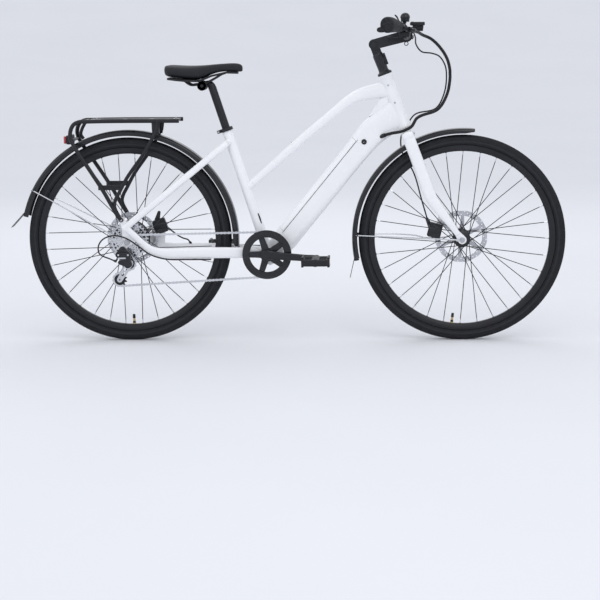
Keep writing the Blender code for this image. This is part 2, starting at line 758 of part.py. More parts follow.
def fork_body():
    low = CROWN
    race = HEAD_TUBE_LOW - GAP
    steerer = turned([(0.0, STEERER_END), (STEERER_RADIUS, STEERER_END),
                      (STEERER_RADIUS, race + 0.004), (STEERER_RADIUS + 0.0018, race + 0.002),
                      (STEERER_RADIUS + 0.0018, race), (HEAD_TUBE_RADIUS - 0.001, race),
                      (HEAD_TUBE_RADIUS - 0.001, race - 0.005), (0.0195, race - 0.013),
                      (0.0195, low), (0.0, low)], STEER_FOOT, STEER_UP, 12)
    crown_at = steer(CROWN)
    crown = loft([oval(crown_at + LEFT * left, STEER_UP, CROWN_HEIGHT / 2 * share,
                       CROWN_DEPTH / 2 * share, 2.6, 8, STEER_AHEAD)
                  for left, share in ((-0.057, 0.62), (-0.050, 0.92), (-0.034, 1.0),
                                      (0.034, 1.0), (0.050, 0.92), (0.057, 0.62))])
    left_blade = fork_blade()
    x = FRONT_AXLE.x
    z = FRONT_AXLE.z
    tips = [band(low_y, high_y, (x, z, 0.0145), (x - 0.019, z + 0.026, 0.0085))
            for low_y, high_y in ((FORK_PLATE_LOW, FORK_PLATE_HIGH),
                                  (-FORK_PLATE_HIGH, -FORK_PLATE_LOW))]
    cx = x + FRONT_CALIPER.x
    cz = z + FRONT_CALIPER.z
    tab = band(FRONT_CALIPER_OUT + GAP, FRONT_CALIPER_OUT + 0.0048,
               (cx + 0.012, cz + 0.010, 0.008), (cx + 0.048, cz + 0.034, 0.008),
               (cx + 0.022, cz + 0.052, 0.008), count=12)
    whole = join(steerer, crown, left_blade, mirrored(left_blade), *tips, tab)
    guard_bolt = rod(steer(CROWN - 0.001, CROWN_DEPTH / 2 - 0.003),
                     steer(CROWN - 0.001, CROWN_DEPTH / 2 + 0.004), 0.006, 10)
    axle_bore = cross_rod(FRONT_AXLE, FRONT_AXLE_RADIUS + BEARING_GAP, -0.08, 0.08, 10)
    return cut(join(whole, guard_bolt), axle_bore)


fork = fork_body()
finish(fork, "fork", WHITE_PAINT, steer(HEAD_TUBE_LOW))

# Wheels
CHORD = 1.0 / math.cos(math.pi / WHEEL_STEPS)


def wheel_ring(profile, centre):
    """Ring whose flats, not its corners, lie at the given radii."""
    return turned([(radius * CHORD, left) for radius, left in profile], centre, LEFT,
                  WHEEL_STEPS, math.pi / WHEEL_STEPS)


def tyre(centre):
    outer = TYRE_RADIUS
    half = TYRE_WIDTH / 2
    bead = RIM_WIDTH / 2 - RIM_FLANGE - GAP
    side = [(outer, TREAD_WIDTH / 2), (outer - 0.010, half * 0.88), (outer - 0.022, half),
            (RIM_FLANGE_RADIUS + 0.0008, bead), (BEAD_RADIUS, bead)]
    return wheel_ring(side + [(radius, -left) for radius, left in side[::-1]], centre)


def flat_radius(radius, steps, angle):
    """Distance from the axis to the side of a shape turned in so many steps."""
    step = math.tau / steps
    return radius * math.cos(step / 2) / math.cos(angle % step - step / 2)


def spoke_bundle(centre, valve_angle, hub_steps, flange_radius, left_y, right_y, turn):
    """Crossed spokes from inside the rim to just short of the hub's flanges."""
    spokes = []
    for k in range(SPOKES):
        rim_angle = valve_angle + math.tau * (k + 0.5) / SPOKES
        flange_y = left_y if k % 2 == 0 else right_y
        lead = 1 if (k // 2) % 2 == 0 else -1
        hub_angle = rim_angle + lead * turn
        start = flat_radius(flange_radius, hub_steps, hub_angle) + SPOKE_RADIUS + GAP
        foot = centre + Vector((math.cos(hub_angle), 0.0, math.sin(hub_angle))) * start
        foot = foot + LEFT * (flange_y + lead * SPOKE_CROSSING)
        tip = centre + Vector((math.cos(rim_angle), 0.0, math.sin(rim_angle))) * (
            RIM_INNER_RADIUS + SPOKE_HOLD)
        tip = tip + LEFT * math.copysign(SPOKE_SIDE, flange_y)
        spokes.append(rod(foot, tip, SPOKE_RADIUS, 3))
    return bundle(spokes)


def rim(centre, valve_angle, *lacing):
    """Rim with its valve and its spokes."""
    half = RIM_WIDTH / 2
    side = [(BEAD_RADIUS - GAP, half - RIM_FLANGE), (RIM_FLANGE_RADIUS, half - RIM_FLANGE),
            (RIM_FLANGE_RADIUS, half), (RIM_INNER_RADIUS, half * 0.62)]
    ring = wheel_ring(side + [(radius, -left) for radius, left in side[::-1]], centre)
    way = Vector((math.cos(valve_angle), 0.0, math.sin(valve_angle)))
    stem = rod(centre + way * (RIM_INNER_RADIUS + 0.004),
               centre + way * (RIM_INNER_RADIUS - VALVE_LENGTH), 0.003, 8)
    return join(ring, stem, spoke_bundle(centre, valve_angle, *lacing))


def bundle(pieces):
    """One object of several solids that don't touch."""
    bm = bmesh.new()
    for piece in pieces:
        bm.from_mesh(piece.data)
        bpy.data.objects.remove(piece, do_unlink=True)
    return as_object(bm, "bundle")


def disc_rotor(centre, y, bore):
    """Brake disc with a broad band, six windows and a centre hole."""
    band_in = ROTOR_RADIUS - ROTOR_BAND
    cx = centre.x
    cz = centre.z
    outlines = [circle(cx, cz, ROTOR_RADIUS, 28)]
    for i in range(6):
        middle = math.tau * i / 6
        window = []
        for radius, turn in ((0.031, -0.26), (band_in, -0.42), (band_in, 0.26),
                             (0.031, 0.20)):
            window.append((cx + radius * math.cos(middle + turn),
                           cz + radius * math.sin(middle + turn)))
        outlines.append(window)
    outlines.append(circle(cx, cz, bore * 1.04, 12))
    return plate(outlines, y - ROTOR_THICKNESS / 2, y + ROTOR_THICKNESS / 2)


FRONT_VALVE = math.radians(-96.4)
REAR_VALVE = math.radians(-89.0)
finish(tyre(FRONT_AXLE), "tyre_front", RUBBER, FRONT_AXLE)
finish(tyre(REAR_AXLE), "tyre_rear", RUBBER, REAR_AXLE)
finish(rim(FRONT_AXLE, FRONT_VALVE, FRONT_HUB_STEPS, FRONT_FLANGE_RADIUS, FRONT_FLANGE_Y,
           -FRONT_FLANGE_Y, FRONT_SPOKE_TURN), "rim_front", BLACK_METAL, FRONT_AXLE)
finish(rim(REAR_AXLE, REAR_VALVE, MOTOR_STEPS, MOTOR_RADIUS, MOTOR_SPOKES_LEFT, MOTOR_SPOKES_RIGHT,
           REAR_SPOKE_TURN), "rim_rear", BLACK_METAL, REAR_AXLE)

front_end = FRONT_OLD / 2
front_seat_y = FRONT_ROTOR_Y - ROTOR_THICKNESS / 2 - GAP
front_bore = FRONT_AXLE_RADIUS + BEARING_GAP
SPIGOT = 0.010
front_hub = turned(
    [(0.009, front_end), (0.009, front_seat_y + 0.005), (SPIGOT, front_seat_y + 0.005),
     (SPIGOT, front_seat_y), (0.020, front_seat_y),
     (FRONT_FLANGE_RADIUS, FRONT_FLANGE_Y + 0.002), (FRONT_FLANGE_RADIUS, FRONT_FLANGE_Y - 0.002),
     (FRONT_HUB_RADIUS, FRONT_FLANGE_Y - 0.006), (FRONT_HUB_RADIUS, -FRONT_FLANGE_Y + 0.006),
     (FRONT_FLANGE_RADIUS, -FRONT_FLANGE_Y + 0.002),
     (FRONT_FLANGE_RADIUS, -FRONT_FLANGE_Y - 0.002), (0.014, -FRONT_FLANGE_Y - 0.005),
     (0.009, -front_end), (front_bore, -front_end),
     (front_bore, front_end)],
    FRONT_AXLE, LEFT, FRONT_HUB_STEPS)
finish(front_hub, "hub_front", BLACK_METAL, FRONT_AXLE)
finish(disc_rotor(FRONT_AXLE, FRONT_ROTOR_Y, SPIGOT + GAP), "rotor_front", STEEL, FRONT_AXLE)

rear_end = REAR_OLD / 2
rear_seat_y = REAR_ROTOR_Y - ROTOR_THICKNESS / 2 - GAP
rear_bore = REAR_AXLE_RADIUS + BEARING_GAP
REAR_SPIGOT = 0.0125
CASSETTE_IN_Y = SMALL_COG_Y + COG_SPACING * (len(COG_TEETH) - 1) + TOOTH_THICKNESS / 2
motor_right = CASSETTE_IN_Y + 0.0014
motor = turned(
    [(REAR_SPIGOT, rear_end), (REAR_SPIGOT, rear_seat_y), (0.022, rear_seat_y),
     (0.022, MOTOR_LEFT_Y + 0.004), (0.048, MOTOR_LEFT_Y), (MOTOR_RADIUS - 0.003, 0.034),
     (MOTOR_RADIUS, 0.030), (MOTOR_RADIUS, -MOTOR_RIGHT_Y + 0.006),
     (MOTOR_RADIUS - 0.005, -MOTOR_RIGHT_Y), (0.026, motor_right),
     (FREEHUB_RADIUS, motor_right), (FREEHUB_RADIUS, SMALL_COG_Y - 0.0035),
     (0.010, SMALL_COG_Y - 0.0035), (0.010, -rear_end), (rear_bore, -rear_end),
     (rear_bore, rear_end)],
    REAR_AXLE, LEFT, MOTOR_STEPS)
finish(motor, "motor_hub", BLACK_METAL, REAR_AXLE)
finish(disc_rotor(REAR_AXLE, REAR_ROTOR_Y, REAR_SPIGOT + GAP), "rotor_rear", STEEL, REAR_AXLE)


def nutted_axle(centre, radius, nut_low, nut_radius, nut_length):
    reach = nut_low + nut_length + 0.004
    bar = cross_rod(centre, radius, -reach, reach, 10)
    nuts = [cross_rod(centre, nut_radius, nut_low, nut_low + nut_length, 6),
            cross_rod(centre, nut_radius, -nut_low - nut_length, -nut_low, 6)]
    return join(bar, *nuts)


finish(nutted_axle(FRONT_AXLE, FRONT_AXLE_RADIUS, FORK_PLATE_HIGH + GAP, 0.0090, 0.008),
       "axle_front", STEEL, FRONT_AXLE)
finish(nutted_axle(REAR_AXLE, REAR_AXLE_RADIUS, PLATE_HIGH + GAP, 0.0105, 0.010),
       "axle_rear", STEEL, REAR_AXLE)

# Drive


def pitch_radius(teeth):
    return CHAIN_PITCH / (2 * math.sin(math.pi / teeth))


def toothed(centre, teeth, low, high):
    """Sprocket plate with pointed teeth."""
    radius = pitch_radius(teeth)
    outline = []
    for i in range(2 * teeth):
        reach = radius + (0.0030 if i % 2 else -0.0034)
        angle = math.pi * i / teeth
        outline.append((centre.x + reach * math.cos(angle), centre.z + reach * math.sin(angle)))
    return plate([outline], low, high)


half_tooth = TOOTH_THICKNESS / 2
cassette = cross_rod(REAR_AXLE, FREEHUB_RADIUS + 0.0018, SMALL_COG_Y - half_tooth - 0.0008,
                     CASSETTE_IN_Y + 0.0004, 12)
cogs = []
for i, teeth in enumerate(COG_TEETH):
    y = SMALL_COG_Y + COG_SPACING * i
    cogs.append(toothed(REAR_AXLE, teeth, y - half_tooth, y + half_tooth))
cassette = join(cassette, bundle(cogs))
cassette = cut(cassette, cross_rod(REAR_AXLE, FREEHUB_RADIUS + BEARING_GAP, -0.08, 0.0, 18))
finish(cassette, "cassette", BLACK_METAL, REAR_AXLE)

BOSS_RADIUS = 0.015
ARM_BOLT_RADIUS = 0.0635
ring = toothed(BB, RING_TEETH, RING_Y - half_tooth, RING_Y + half_tooth)
ring = cut(ring, cross_rod(BB, 0.0652, -0.08, -0.04, 18))
star = []
posts = []
for k in range(5):
    angle = math.radians(36 + 72 * k)
    for reach, turn in ((0.025, -0.628), (0.031, -0.27), (0.0665, -0.110),
                        (0.0709, 0.0), (0.0665, 0.110), (0.031, 0.27)):
        star.append((BB.x + reach * math.cos(angle + turn), BB.z + reach * math.sin(angle + turn)))
    spot = BB + Vector((math.cos(angle), 0.0, math.sin(angle))) * ARM_BOLT_RADIUS
    posts.append(cross_rod(spot, 0.0052, -0.0592, RING_Y + 0.0038, 6))
spider = plate([star], RING_Y - 0.0018, RING_Y + 0.0026)
guard_ring = turned([(GUARD_RADIUS, -0.0576), (GUARD_RADIUS, -0.0602),
                     (GUARD_RADIUS - GUARD_BAND, -0.0602), (GUARD_RADIUS - GUARD_BAND, -0.0576)],
                    Vector((BB.x, 0.0, BB.z)), LEFT, 22)
chainring = join(spider, ring, bundle(posts), guard_ring)
chainring = cut(chainring, cross_rod(BB, BOSS_RADIUS + BEARING_GAP, -0.08, -0.03, 16))
finish(chainring, "chainring", BLACK_METAL, BB)


def crank_arm(side):
    """Forged arm with its pedal spindle; side is 1 for left and -1 for right."""
    way = Vector((math.cos(CRANK_DROP), 0.0, -math.sin(CRANK_DROP))) * (-side)
    end = BB + way * CRANK_LENGTH
    inner = CRANK_INNER_Y
    thick = CRANK_THICKNESS
    stations = [(along(BB, end, share, 0.0, side * (inner + thick / 2 + out)), wide, deep)
                for share, wide, deep, out in (
                    (-0.02, 0.029, thick, 0.0), (0.12, 0.030, thick, 0.0),
                    (0.30, 0.028, thick - 0.001, 0.001), (0.80, 0.0255, thick - 0.002, 0.0045),
                    (1.02, 0.025, thick - 0.002, 0.005))]
    arm = swept(stations, 3.0, 8)
    low = inner + 0.0050 - (thick - 0.002) / 2 + thick / 2
    eye_low = low + 0.0003
    eye_high = low + thick - 0.0025
    eye = cross_rod(end, 0.0137, *sorted((side * eye_low, side * eye_high)), 12)
    spindle = cross_rod(end, PEDAL_AXLE_RADIUS, *sorted((side * (low + 0.004), side * 0.176)), 10)
    root_disc = cross_rod(BB, 0.0168, *sorted((side * (inner + 0.0004), side * (inner + thick + 0.001))), 14)
    return join(arm, eye, spindle, root_disc), end


right_arm, RIGHT_PEDAL = crank_arm(-1)
left_arm, LEFT_PEDAL = crank_arm(1)
boss = cross_rod(BB, BOSS_RADIUS, -CRANK_INNER_Y - 0.004, -BB_SHELL_WIDTH / 2 - GAP, 16)
right_arm = join(right_arm, boss)
right_arm = cut(right_arm, cross_rod(BB, SPINDLE_RADIUS + GAP, -CRANK_INNER_Y - 0.012, 0.0, 12))
finish(right_arm, "crank_right", BLACK_METAL, BB)
left_arm = join(left_arm, cross_rod(BB, SPINDLE_RADIUS, -CRANK_INNER_Y - 0.0115,
                                    CRANK_INNER_Y + 0.004, 12))
finish(left_arm, "crank_left", BLACK_METAL, BB)


def pedal(centre, side):
    """Platform pedal: outer frame, barrel and a reflector block at each end."""
    low = 0.0835
    middle = side * (low + PEDAL_WIDTH / 2)
    long = PEDAL_LENGTH / 2
    wide = PEDAL_WIDTH / 2
    rail = 0.010
    barrel = 0.013
    corner = 0.013
    outer = [(long - corner, -wide), (long, -wide + corner), (long, wide - corner),
             (long - corner, wide), (-long + corner, wide), (-long, wide - corner),
             (-long, -wide + corner), (-long + corner, -wide)]
    windows = []
    for way in (1, -1):
        a = way * (barrel - 0.002)
        b = way * (long - rail)
        windows.append([(a, -wide + rail), (b, -wide + rail), (b, wide - rail), (a, wide - rail)])
    spot = Vector((centre.x, middle, centre.z))
    body = plate([outer] + windows, -PEDAL_FRAME / 2, PEDAL_FRAME / 2, Matrix.Translation(spot))
    barrel_rod = cross_rod(centre, barrel, *sorted((side * (low + 0.0008), side * (low + PEDAL_WIDTH - 0.001))), 8)
    ends = [box(spot + Vector((way * (long - 0.0035), 0.0, 0.0)),
                (0.009, PEDAL_WIDTH * 0.62, PEDAL_HEIGHT)) for way in (1, -1)]
    bore = cross_rod(centre, PEDAL_AXLE_RADIUS + GAP, *sorted((side * 0.05, side * 0.1765)), 10)
    return cut(join(body, barrel_rod, *ends), bore)


finish(pedal(RIGHT_PEDAL, -1), "pedal_right", BLACK_PLASTIC, RIGHT_PEDAL)
finish(pedal(LEFT_PEDAL, 1), "pedal_left", BLACK_PLASTIC, LEFT_PEDAL)

# Derailleur and chain
GUIDE = REAR_AXLE + Vector((GUIDE_OFFSET[0], 0.0, GUIDE_OFFSET[1]))
TENSION = GUIDE + Vector((TENSION_OFFSET[0], 0.0, TENSION_OFFSET[1]))
JOCKEY_BORE = 0.0028
CAGE_NEAR = CHAIN_OUTER_HALF + 0.0006
CAGE_FAR = CAGE_NEAR + 0.0014


def jockey(centre):
    wheel = toothed(centre, JOCKEY_TEETH, SMALL_COG_Y - half_tooth, SMALL_COG_Y + half_tooth)
    hub = cross_rod(centre, 0.009, SMALL_COG_Y - 0.0037, SMALL_COG_Y + 0.0037, 10)
    bore = cross_rod(centre, JOCKEY_BORE, -0.08, -0.03, 8)
    return cut(join(wheel, hub), bore)


finish(jockey(GUIDE), "jockey_upper", BLACK_PLASTIC, GUIDE)
finish(jockey(TENSION), "jockey_lower", BLACK_PLASTIC, TENSION)

cage_sides = [band(SMALL_COG_Y + low, SMALL_COG_Y + high, (GUIDE.x + 0.003, GUIDE.z + 0.002, 0.0125),
                   (TENSION.x, TENSION.z, 0.0095))
              for low, high in ((-CAGE_FAR, -CAGE_NEAR), (CAGE_NEAR, CAGE_FAR))]
PIVOT_REACH = 0.0118
guide_bolt = cross_rod(GUIDE, JOCKEY_BORE - GAP, SMALL_COG_Y - PIVOT_REACH,
                       SMALL_COG_Y + CAGE_FAR + 0.0012, 8)
tension_bolt = cross_rod(TENSION, JOCKEY_BORE - GAP, SMALL_COG_Y - CAGE_FAR - 0.0012,
                         SMALL_COG_Y + CAGE_FAR + 0.0012, 8)
cage = join(cage_sides[0], guide_bolt, tension_bolt, cage_sides[1])
finish(cage, "derailleur_cage", SILVER, GUIDE)

knuckle_near = SMALL_COG_Y - CAGE_FAR - 0.0006
knuckle_far = knuckle_near - 0.0220
knuckle = cross_rod(GUIDE, 0.0130, knuckle_far, knuckle_near, 14)
knuckle_arm = band(knuckle_far + 0.002, knuckle_near - 0.004, (GUIDE.x, GUIDE.z + 0.001, 0.0112),
                   (GUIDE.x - 0.0270, GUIDE.z + 0.0070, 0.0070))
knuckle_bore = cross_rod(GUIDE, JOCKEY_BORE, SMALL_COG_Y - PIVOT_REACH - 0.0006, 0.0, 8)
knuckle = cut(join(knuckle, knuckle_arm), knuckle_bore)
finish(knuckle, "derailleur_link", BLACK_METAL, GUIDE)

hanger_at = rear(*HANGER)
body_near = -PLATE_HIGH - GAP
body_far = knuckle_far - GAP
mount_block = band(body_near - 0.014, body_near, (hanger_at.x, hanger_at.z, 0.0108),
                   (hanger_at.x - 0.0150, hanger_at.z - 0.0185, 0.0090),
                   (hanger_at.x + 0.0210, hanger_at.z - 0.0195, 0.0085))
outer_link = band(body_far - 0.0040, body_far, (hanger_at.x - 0.013, hanger_at.z - 0.0170, 0.0085),
                  (hanger_at.x + 0.020, hanger_at.z - 0.0180, 0.0080),
                  (GUIDE.x + 0.002, GUIDE.z + 0.003, 0.0100))
link_pins = [cross_rod(hanger_at + Vector((x, 0.0, -0.0175)), 0.0040, body_far - 0.0050,
                       body_near - 0.010, 8) for x in (-0.013, 0.020)]
hanger_bolt = cross_rod(hanger_at, 0.0045, body_near - 0.0175, -PLATE_LOW + 0.0008, 8)
stop_at = hanger_at + Vector((-0.0245, 0.0, -0.0400))
STOP_WAY = Vector((0.917, 0.0, -0.399)).normalized()
STOP_FACE = Vector((stop_at.x - 0.0060, body_near - 0.007, stop_at.z + 0.0020))
stop_inside = STOP_FACE + STOP_WAY * 0.007
cable_stop = rod(STOP_FACE, STOP_FACE + STOP_WAY * 0.010, 0.0042, 8)
stop_arm = rod(stop_inside, Vector((hanger_at.x - 0.0100, body_near - 0.0075, hanger_at.z - 0.0170)),
               0.0036, 6)
body = join(mount_block, outer_link, bundle(link_pins), hanger_bolt)
body = join(body, cable_stop, stop_arm)
finish(body, "derailleur_body", BLACK_METAL, hanger_at)


def tangent(from_at, from_radius, from_side, to_at, to_radius, to_side):
    """Touching points of a belt; side is 1 where the wheel turns clockwise."""
    way = Vector((to_at.x - from_at.x, 0.0, to_at.z - from_at.z))
    angle = math.atan2(way.z, way.x)
    swing = math.asin((from_side * from_radius - to_side * to_radius) / way.length)
    turn = angle - swing
    square = Vector((-math.sin(turn), 0.0, math.cos(turn)))
    start = from_at + square * (from_side * from_radius)
    end = to_at + square * (to_side * to_radius)
    return start, end


def chain_route():
    """Straight and round stretches: (length, point function, rollers start, rollers end)."""
    small = pitch_radius(COG_TEETH[0])
    guide = pitch_radius(JOCKEY_TEETH)
    big = pitch_radius(RING_TEETH)
    wheels = [(Vector((BB.x, RING_Y, BB.z)), big, 1, 0.036),
              (TENSION + LEFT * SMALL_COG_Y, guide, 1, 0.0205),
              (GUIDE + LEFT * SMALL_COG_Y, guide, -1, 0.0205),
              (REAR_AXLE + LEFT * SMALL_COG_Y, small, 1, 0.0205)]
    joints = []
    for i, here in enumerate(wheels):
        there = wheels[(i + 1) % len(wheels)]
        joints.append(tangent(here[0], here[1], here[2], there[0], there[1], there[2]))
    parts_of = []
    for i, here in enumerate(wheels):
        there = wheels[(i + 1) % len(wheels)]
        start, end = joints[i]
        parts_of.append(("run", (end - start).length, start, end, here[3], there[3]))
        centre, radius, side, _ = there
        leave = joints[(i + 1) % len(wheels)][0]
        a = math.atan2(end.z - centre.z, end.x - centre.x)
        b = math.atan2(leave.z - centre.z, leave.x - centre.x)
        sweep = (b - a) % math.tau
        if side > 0:
            sweep -= math.tau
        parts_of.append(("wrap", abs(sweep) * radius, centre, radius, a, sweep))
    return parts_of


def chain_point(stretches, reach):
    """Place, way and roller flag at a distance along the chain."""
    for stretch in stretches:
        length = stretch[1]
        if reach > length:
            reach -= length
            continue
        if stretch[0] == "run":
            _, _, start, end, first, last = stretch
            spot = start.lerp(end, reach / length)
            way = (end - start).normalized()
            return spot, way, first < reach < length - last, True
        _, _, centre, radius, a, sweep = stretch
        angle = a + sweep * reach / length
        spot = centre + Vector((math.cos(angle), 0.0, math.sin(angle))) * radius
        way = Vector((-math.sin(angle), 0.0, math.cos(angle))) * math.copysign(1.0, sweep)
        return spot, way, False, False
    return chain_point(stretches, 0.0)


def chain_wall(stretches, total, places, inner, outer):
    """Closed ribbon of link plates between two distances from the chain's middle."""
    bm = bmesh.new()
    rows = []
    for share, half in places:
        spot, way, _, _ = chain_point(stretches, total * share)
        up = Vector((-way.z, 0.0, way.x)).normalized()
        rows.append([bm.verts.new(spot + up * a * half + LEFT * b)
                     for a, b in ((1, inner), (1, outer), (-1, outer), (-1, inner))])
    for i, a in enumerate(rows):
        b = rows[(i + 1) % len(rows)]
        for j in range(4):
            k = (j + 1) % 4
            bm.faces.new((a[j], a[k], b[k], b[j]))
    return as_object(bm, "chain_wall")


def chain_body():
    stretches = chain_route()
    total = sum(stretch[1] for stretch in stretches)
    links = round(total / CHAIN_PITCH)
    outer_places = []
    inner_places = []
    rollers = []
    for i in range(links):
        share = i / links
        spot, way, open_run, on_run = chain_point(stretches, total * share)
        outer_places.append((share, 0.0041))
        if on_run:
            outer_places.append((share + 0.5 / links, 0.0031))
        if open_run and i % 4 == 1:
            rollers.append(cross_rod(spot, ROLLER_RADIUS * 0.9,
                                     spot.y - CHAIN_INNER_HALF - 0.0009,
                                     spot.y + CHAIN_INNER_HALF + 0.0009, 4))
        if not (open_run and i % 6):
            inner_places.append((share, 0.0036))
    near = chain_wall(stretches, total, outer_places, -CHAIN_OUTER_HALF, -CHAIN_INNER_HALF)
    far = chain_wall(stretches, total, inner_places, CHAIN_INNER_HALF, CHAIN_OUTER_HALF)
    return join(near, bundle(rollers), far)


finish(chain_body(), "chain", SILVER, REAR_AXLE)

# Seatpost and saddle
post_low = SEAT_TUBE_LENGTH - SEATPOST_DEPTH
post = rod(seat(post_low), seat(SEATPOST_TOP), SEATPOST_RADIUS, 14)
neck = rod(seat(SEATPOST_TOP - 0.004), seat(SEATPOST_TOP + 0.018), SEATPOST_RADIUS * 0.84, 14)
neck_cut = box(seat(SEATPOST_TOP + 0.0235, 0.002), (0.060, 0.060, 0.022), SEAT_LEAN - 0.52)
CLAMP = seat(SEATPOST_TOP + 0.0060, -0.0290)
cradle = cross_rod(CLAMP, 0.0130, -0.0140, 0.0140, 14)
bridge = box((CLAMP + seat(SEATPOST_TOP + 0.002)) / 2, (0.034, 0.020, 0.014), SEAT_LEAN)
seatpost = cut(join(post, neck), neck_cut)
seatpost = join(seatpost, cradle, bridge)
seatpost = cut(seatpost, cross_rod(CLAMP, 0.0040 + GAP, -0.02, 0.02, 10))
finish(seatpost, "seatpost", BLACK_METAL, seat(post_low))

# share of length, half width share, crown height, skirt height, all from the clamp
SADDLE_REAR = CLAMP + Vector((-0.1268, 0.0, 0.0))
SADDLE_LENGTH = 0.2670
SADDLE_STATIONS = (
    (0.0, 0.50, 0.062, 0.040), (0.035, 0.80, 0.068, 0.031), (0.13, 1.0, 0.0665, 0.028),
    (0.30, 0.97, 0.0640, 0.022), (0.45, 0.70, 0.0640, 0.020), (0.58, 0.42, 0.066, 0.036),
    (0.75, 0.31, 0.069, 0.047), (0.90, 0.27, 0.0705, 0.045), (0.985, 0.20, 0.060, 0.044))


def saddle_half(share):
    """Half width of the cushion at a share of its length."""
    last = SADDLE_STATIONS[0]
    for station in SADDLE_STATIONS:
        if share <= station[0]:
            span = station[0] - last[0]
            mix = (share - last[0]) / span if span else 0.0
            return SADDLE_WIDTH / 2 * (last[1] + (station[1] - last[1]) * mix)
        last = station
    return SADDLE_WIDTH / 2 * last[1]


def saddle_pad():
    bm = bmesh.new()
    rows = []
    for share, wide, crown, skirt in SADDLE_STATIONS:
        x = SADDLE_REAR.x + SADDLE_LENGTH * share
        half = SADDLE_WIDTH / 2 * wide
        if share > 0.6:
            half = max(half, NOSE_WIDTH / 2 * 0.78)
        row = []
        for out, up in ((-0.80, -0.05), (-1.04, 0.15), (-1.0, 0.64), (-0.50, 1.01),
                        (0.50, 1.01), (1.0, 0.64), (1.04, 0.15), (0.80, -0.05)):
            z = SADDLE_REAR.z + skirt + (crown - skirt) * up
            row.append(bm.verts.new((x, half * out, z)))
        rows.append(row)
    for a, b in zip(rows, rows[1:]):
        for i in range(len(a)):
            j = (i + 1) % len(a)
            bm.faces.new((a[i], a[j], b[j], b[i]))
    bm.faces.new(rows[0][::-1])
    bm.faces.new(rows[-1])
    cage_of = as_object(bm, "pad")
    smooth = cage_of.modifiers.new("soft", "SUBSURF")
    smooth.levels = 1
    smooth.render_levels = 1
    return bake(cage_of)


def skirt_line(drop):
    """Side view outline of the space below the cushion's skirt, lowered by drop."""
    points = []
    for share, _, _, skirt in SADDLE_STATIONS:
        x = SADDLE_REAR.x + SADDLE_LENGTH * (share * 1.16 - 0.08)
        points.append((x, SADDLE_REAR.z + skirt - drop))
    return points


under = skirt_line(0.0)
floor_z = SADDLE_REAR.z - 0.05
room_below = plate([under + [(under[-1][0], floor_z), (under[0][0], floor_z)]], -0.12, 0.12)
pad = cut(saddle_pad(), room_below)
finish(pad, "saddle_pad", VINYL, CLAMP)

shell_top = skirt_line(GAP)
shell_low = skirt_line(0.007)
shell_profile = plate([shell_top[1:-1] + shell_low[1:-1][::-1]], -0.12, 0.12)
plan = []
for i in range(10):
    share = 0.05 + 0.88 * i / 9
    plan.append((SADDLE_REAR.x + SADDLE_LENGTH * share, saddle_half(share) * 0.86))
plan_stand = Matrix.Translation((0.0, 0.0, SADDLE_REAR.z))
shell_plan = plate([plan + [(x, -y) for x, y in plan[::-1]]], -0.08, 0.12, plan_stand)
shell = meet(shell_profile, shell_plan)
half_rails = RAIL_SPACING / 2
rails = []
for side in (1, -1):
    route = [(-0.060, 0.0185, 1.35), (-0.050, 0.010, 1.15), (-0.038, 0.003, 1.0),
             (0.004, 0.0085, 1.0), (0.020, 0.0125, 0.98), (0.048, 0.027, 0.72),
             (0.066, 0.0375, 0.50)]
    rails.append(tube([CLAMP + Vector((x, side * half_rails * wide, z)) for x, z, wide in route],
                      RAIL_RADIUS, 1))
discs = [cross_rod(CLAMP, 0.0165, *sorted((side * 0.0145, side * 0.0262)), 12) for side in (1, -1)]
clamp_bolt = cross_rod(CLAMP, 0.0040, -0.0300, 0.0300, 10)
saddle_base = join(shell, *rails, *discs, clamp_bolt)
finish(saddle_base, "saddle_base", BLACK_PLASTIC, CLAMP)

# Stem: a riser on the steerer, an angle joint and an arm to the bar
PIVOT = steer(STEM_TOP)
BAR_AT = PIVOT + Vector((STEM_REACH, 0.0, STEM_RISE))
KNUCKLE_HALF = 0.0105
RISER_LOW = HEAD_TUBE_LOW + HEAD_TUBE_LENGTH + GAP
SHOULDER = STEM_TOP - 0.037

riser = turned([(0.0, SHOULDER + 0.004), (0.0165, SHOULDER + 0.004), (0.0180, SHOULDER - 0.004),
                (0.0165, RISER_LOW + 0.022), (0.0170, RISER_LOW + 0.012),
                (HEAD_TUBE_RADIUS + 0.0012, RISER_LOW + 0.007),
                (HEAD_TUBE_RADIUS + 0.0012, RISER_LOW), (0.0, RISER_LOW)],
               STEER_FOOT, STEER_UP, 14)
knuckle_round = cross_rod(PIVOT, STEM_JOINT_RADIUS, -KNUCKLE_HALF, KNUCKLE_HALF, 12)
neck_tilt = HEAD_ANGLE - math.pi / 2
knuckle_neck = box(steer(SHOULDER + 0.016), (0.031, 2 * KNUCKLE_HALF - 0.0006, 0.036), neck_tilt)
clamp_ear = box(steer(SHOULDER - 0.021, 0.0175), (0.012, 0.018, 0.040), neck_tilt)
ear_bolts = [rod(steer(SHOULDER - 0.021 + up, 0.0190, -0.0120),
                 steer(SHOULDER - 0.021 + up, 0.0190, 0.0120), 0.0036, 8)
             for up in (-0.011, 0.011)]
riser = join(riser, knuckle_round, knuckle_neck, clamp_ear, *ear_bolts)
steerer_room = rod(steer(RISER_LOW - 0.005), steer(STEERER_END + 0.001),
                   STEERER_RADIUS * 1.03 + BEARING_GAP, 12)
slit = box(steer(SHOULDER - 0.021, 0.0200), (0.020, 0.0018, 0.060), neck_tilt)
pivot_bore = cross_rod(PIVOT, 0.0050 + GAP, -0.02, 0.02, 10)
riser = cut(riser, steerer_room, slit, pivot_bore)
finish(riser, "stem_riser", BLACK_METAL, steer(RISER_LOW))

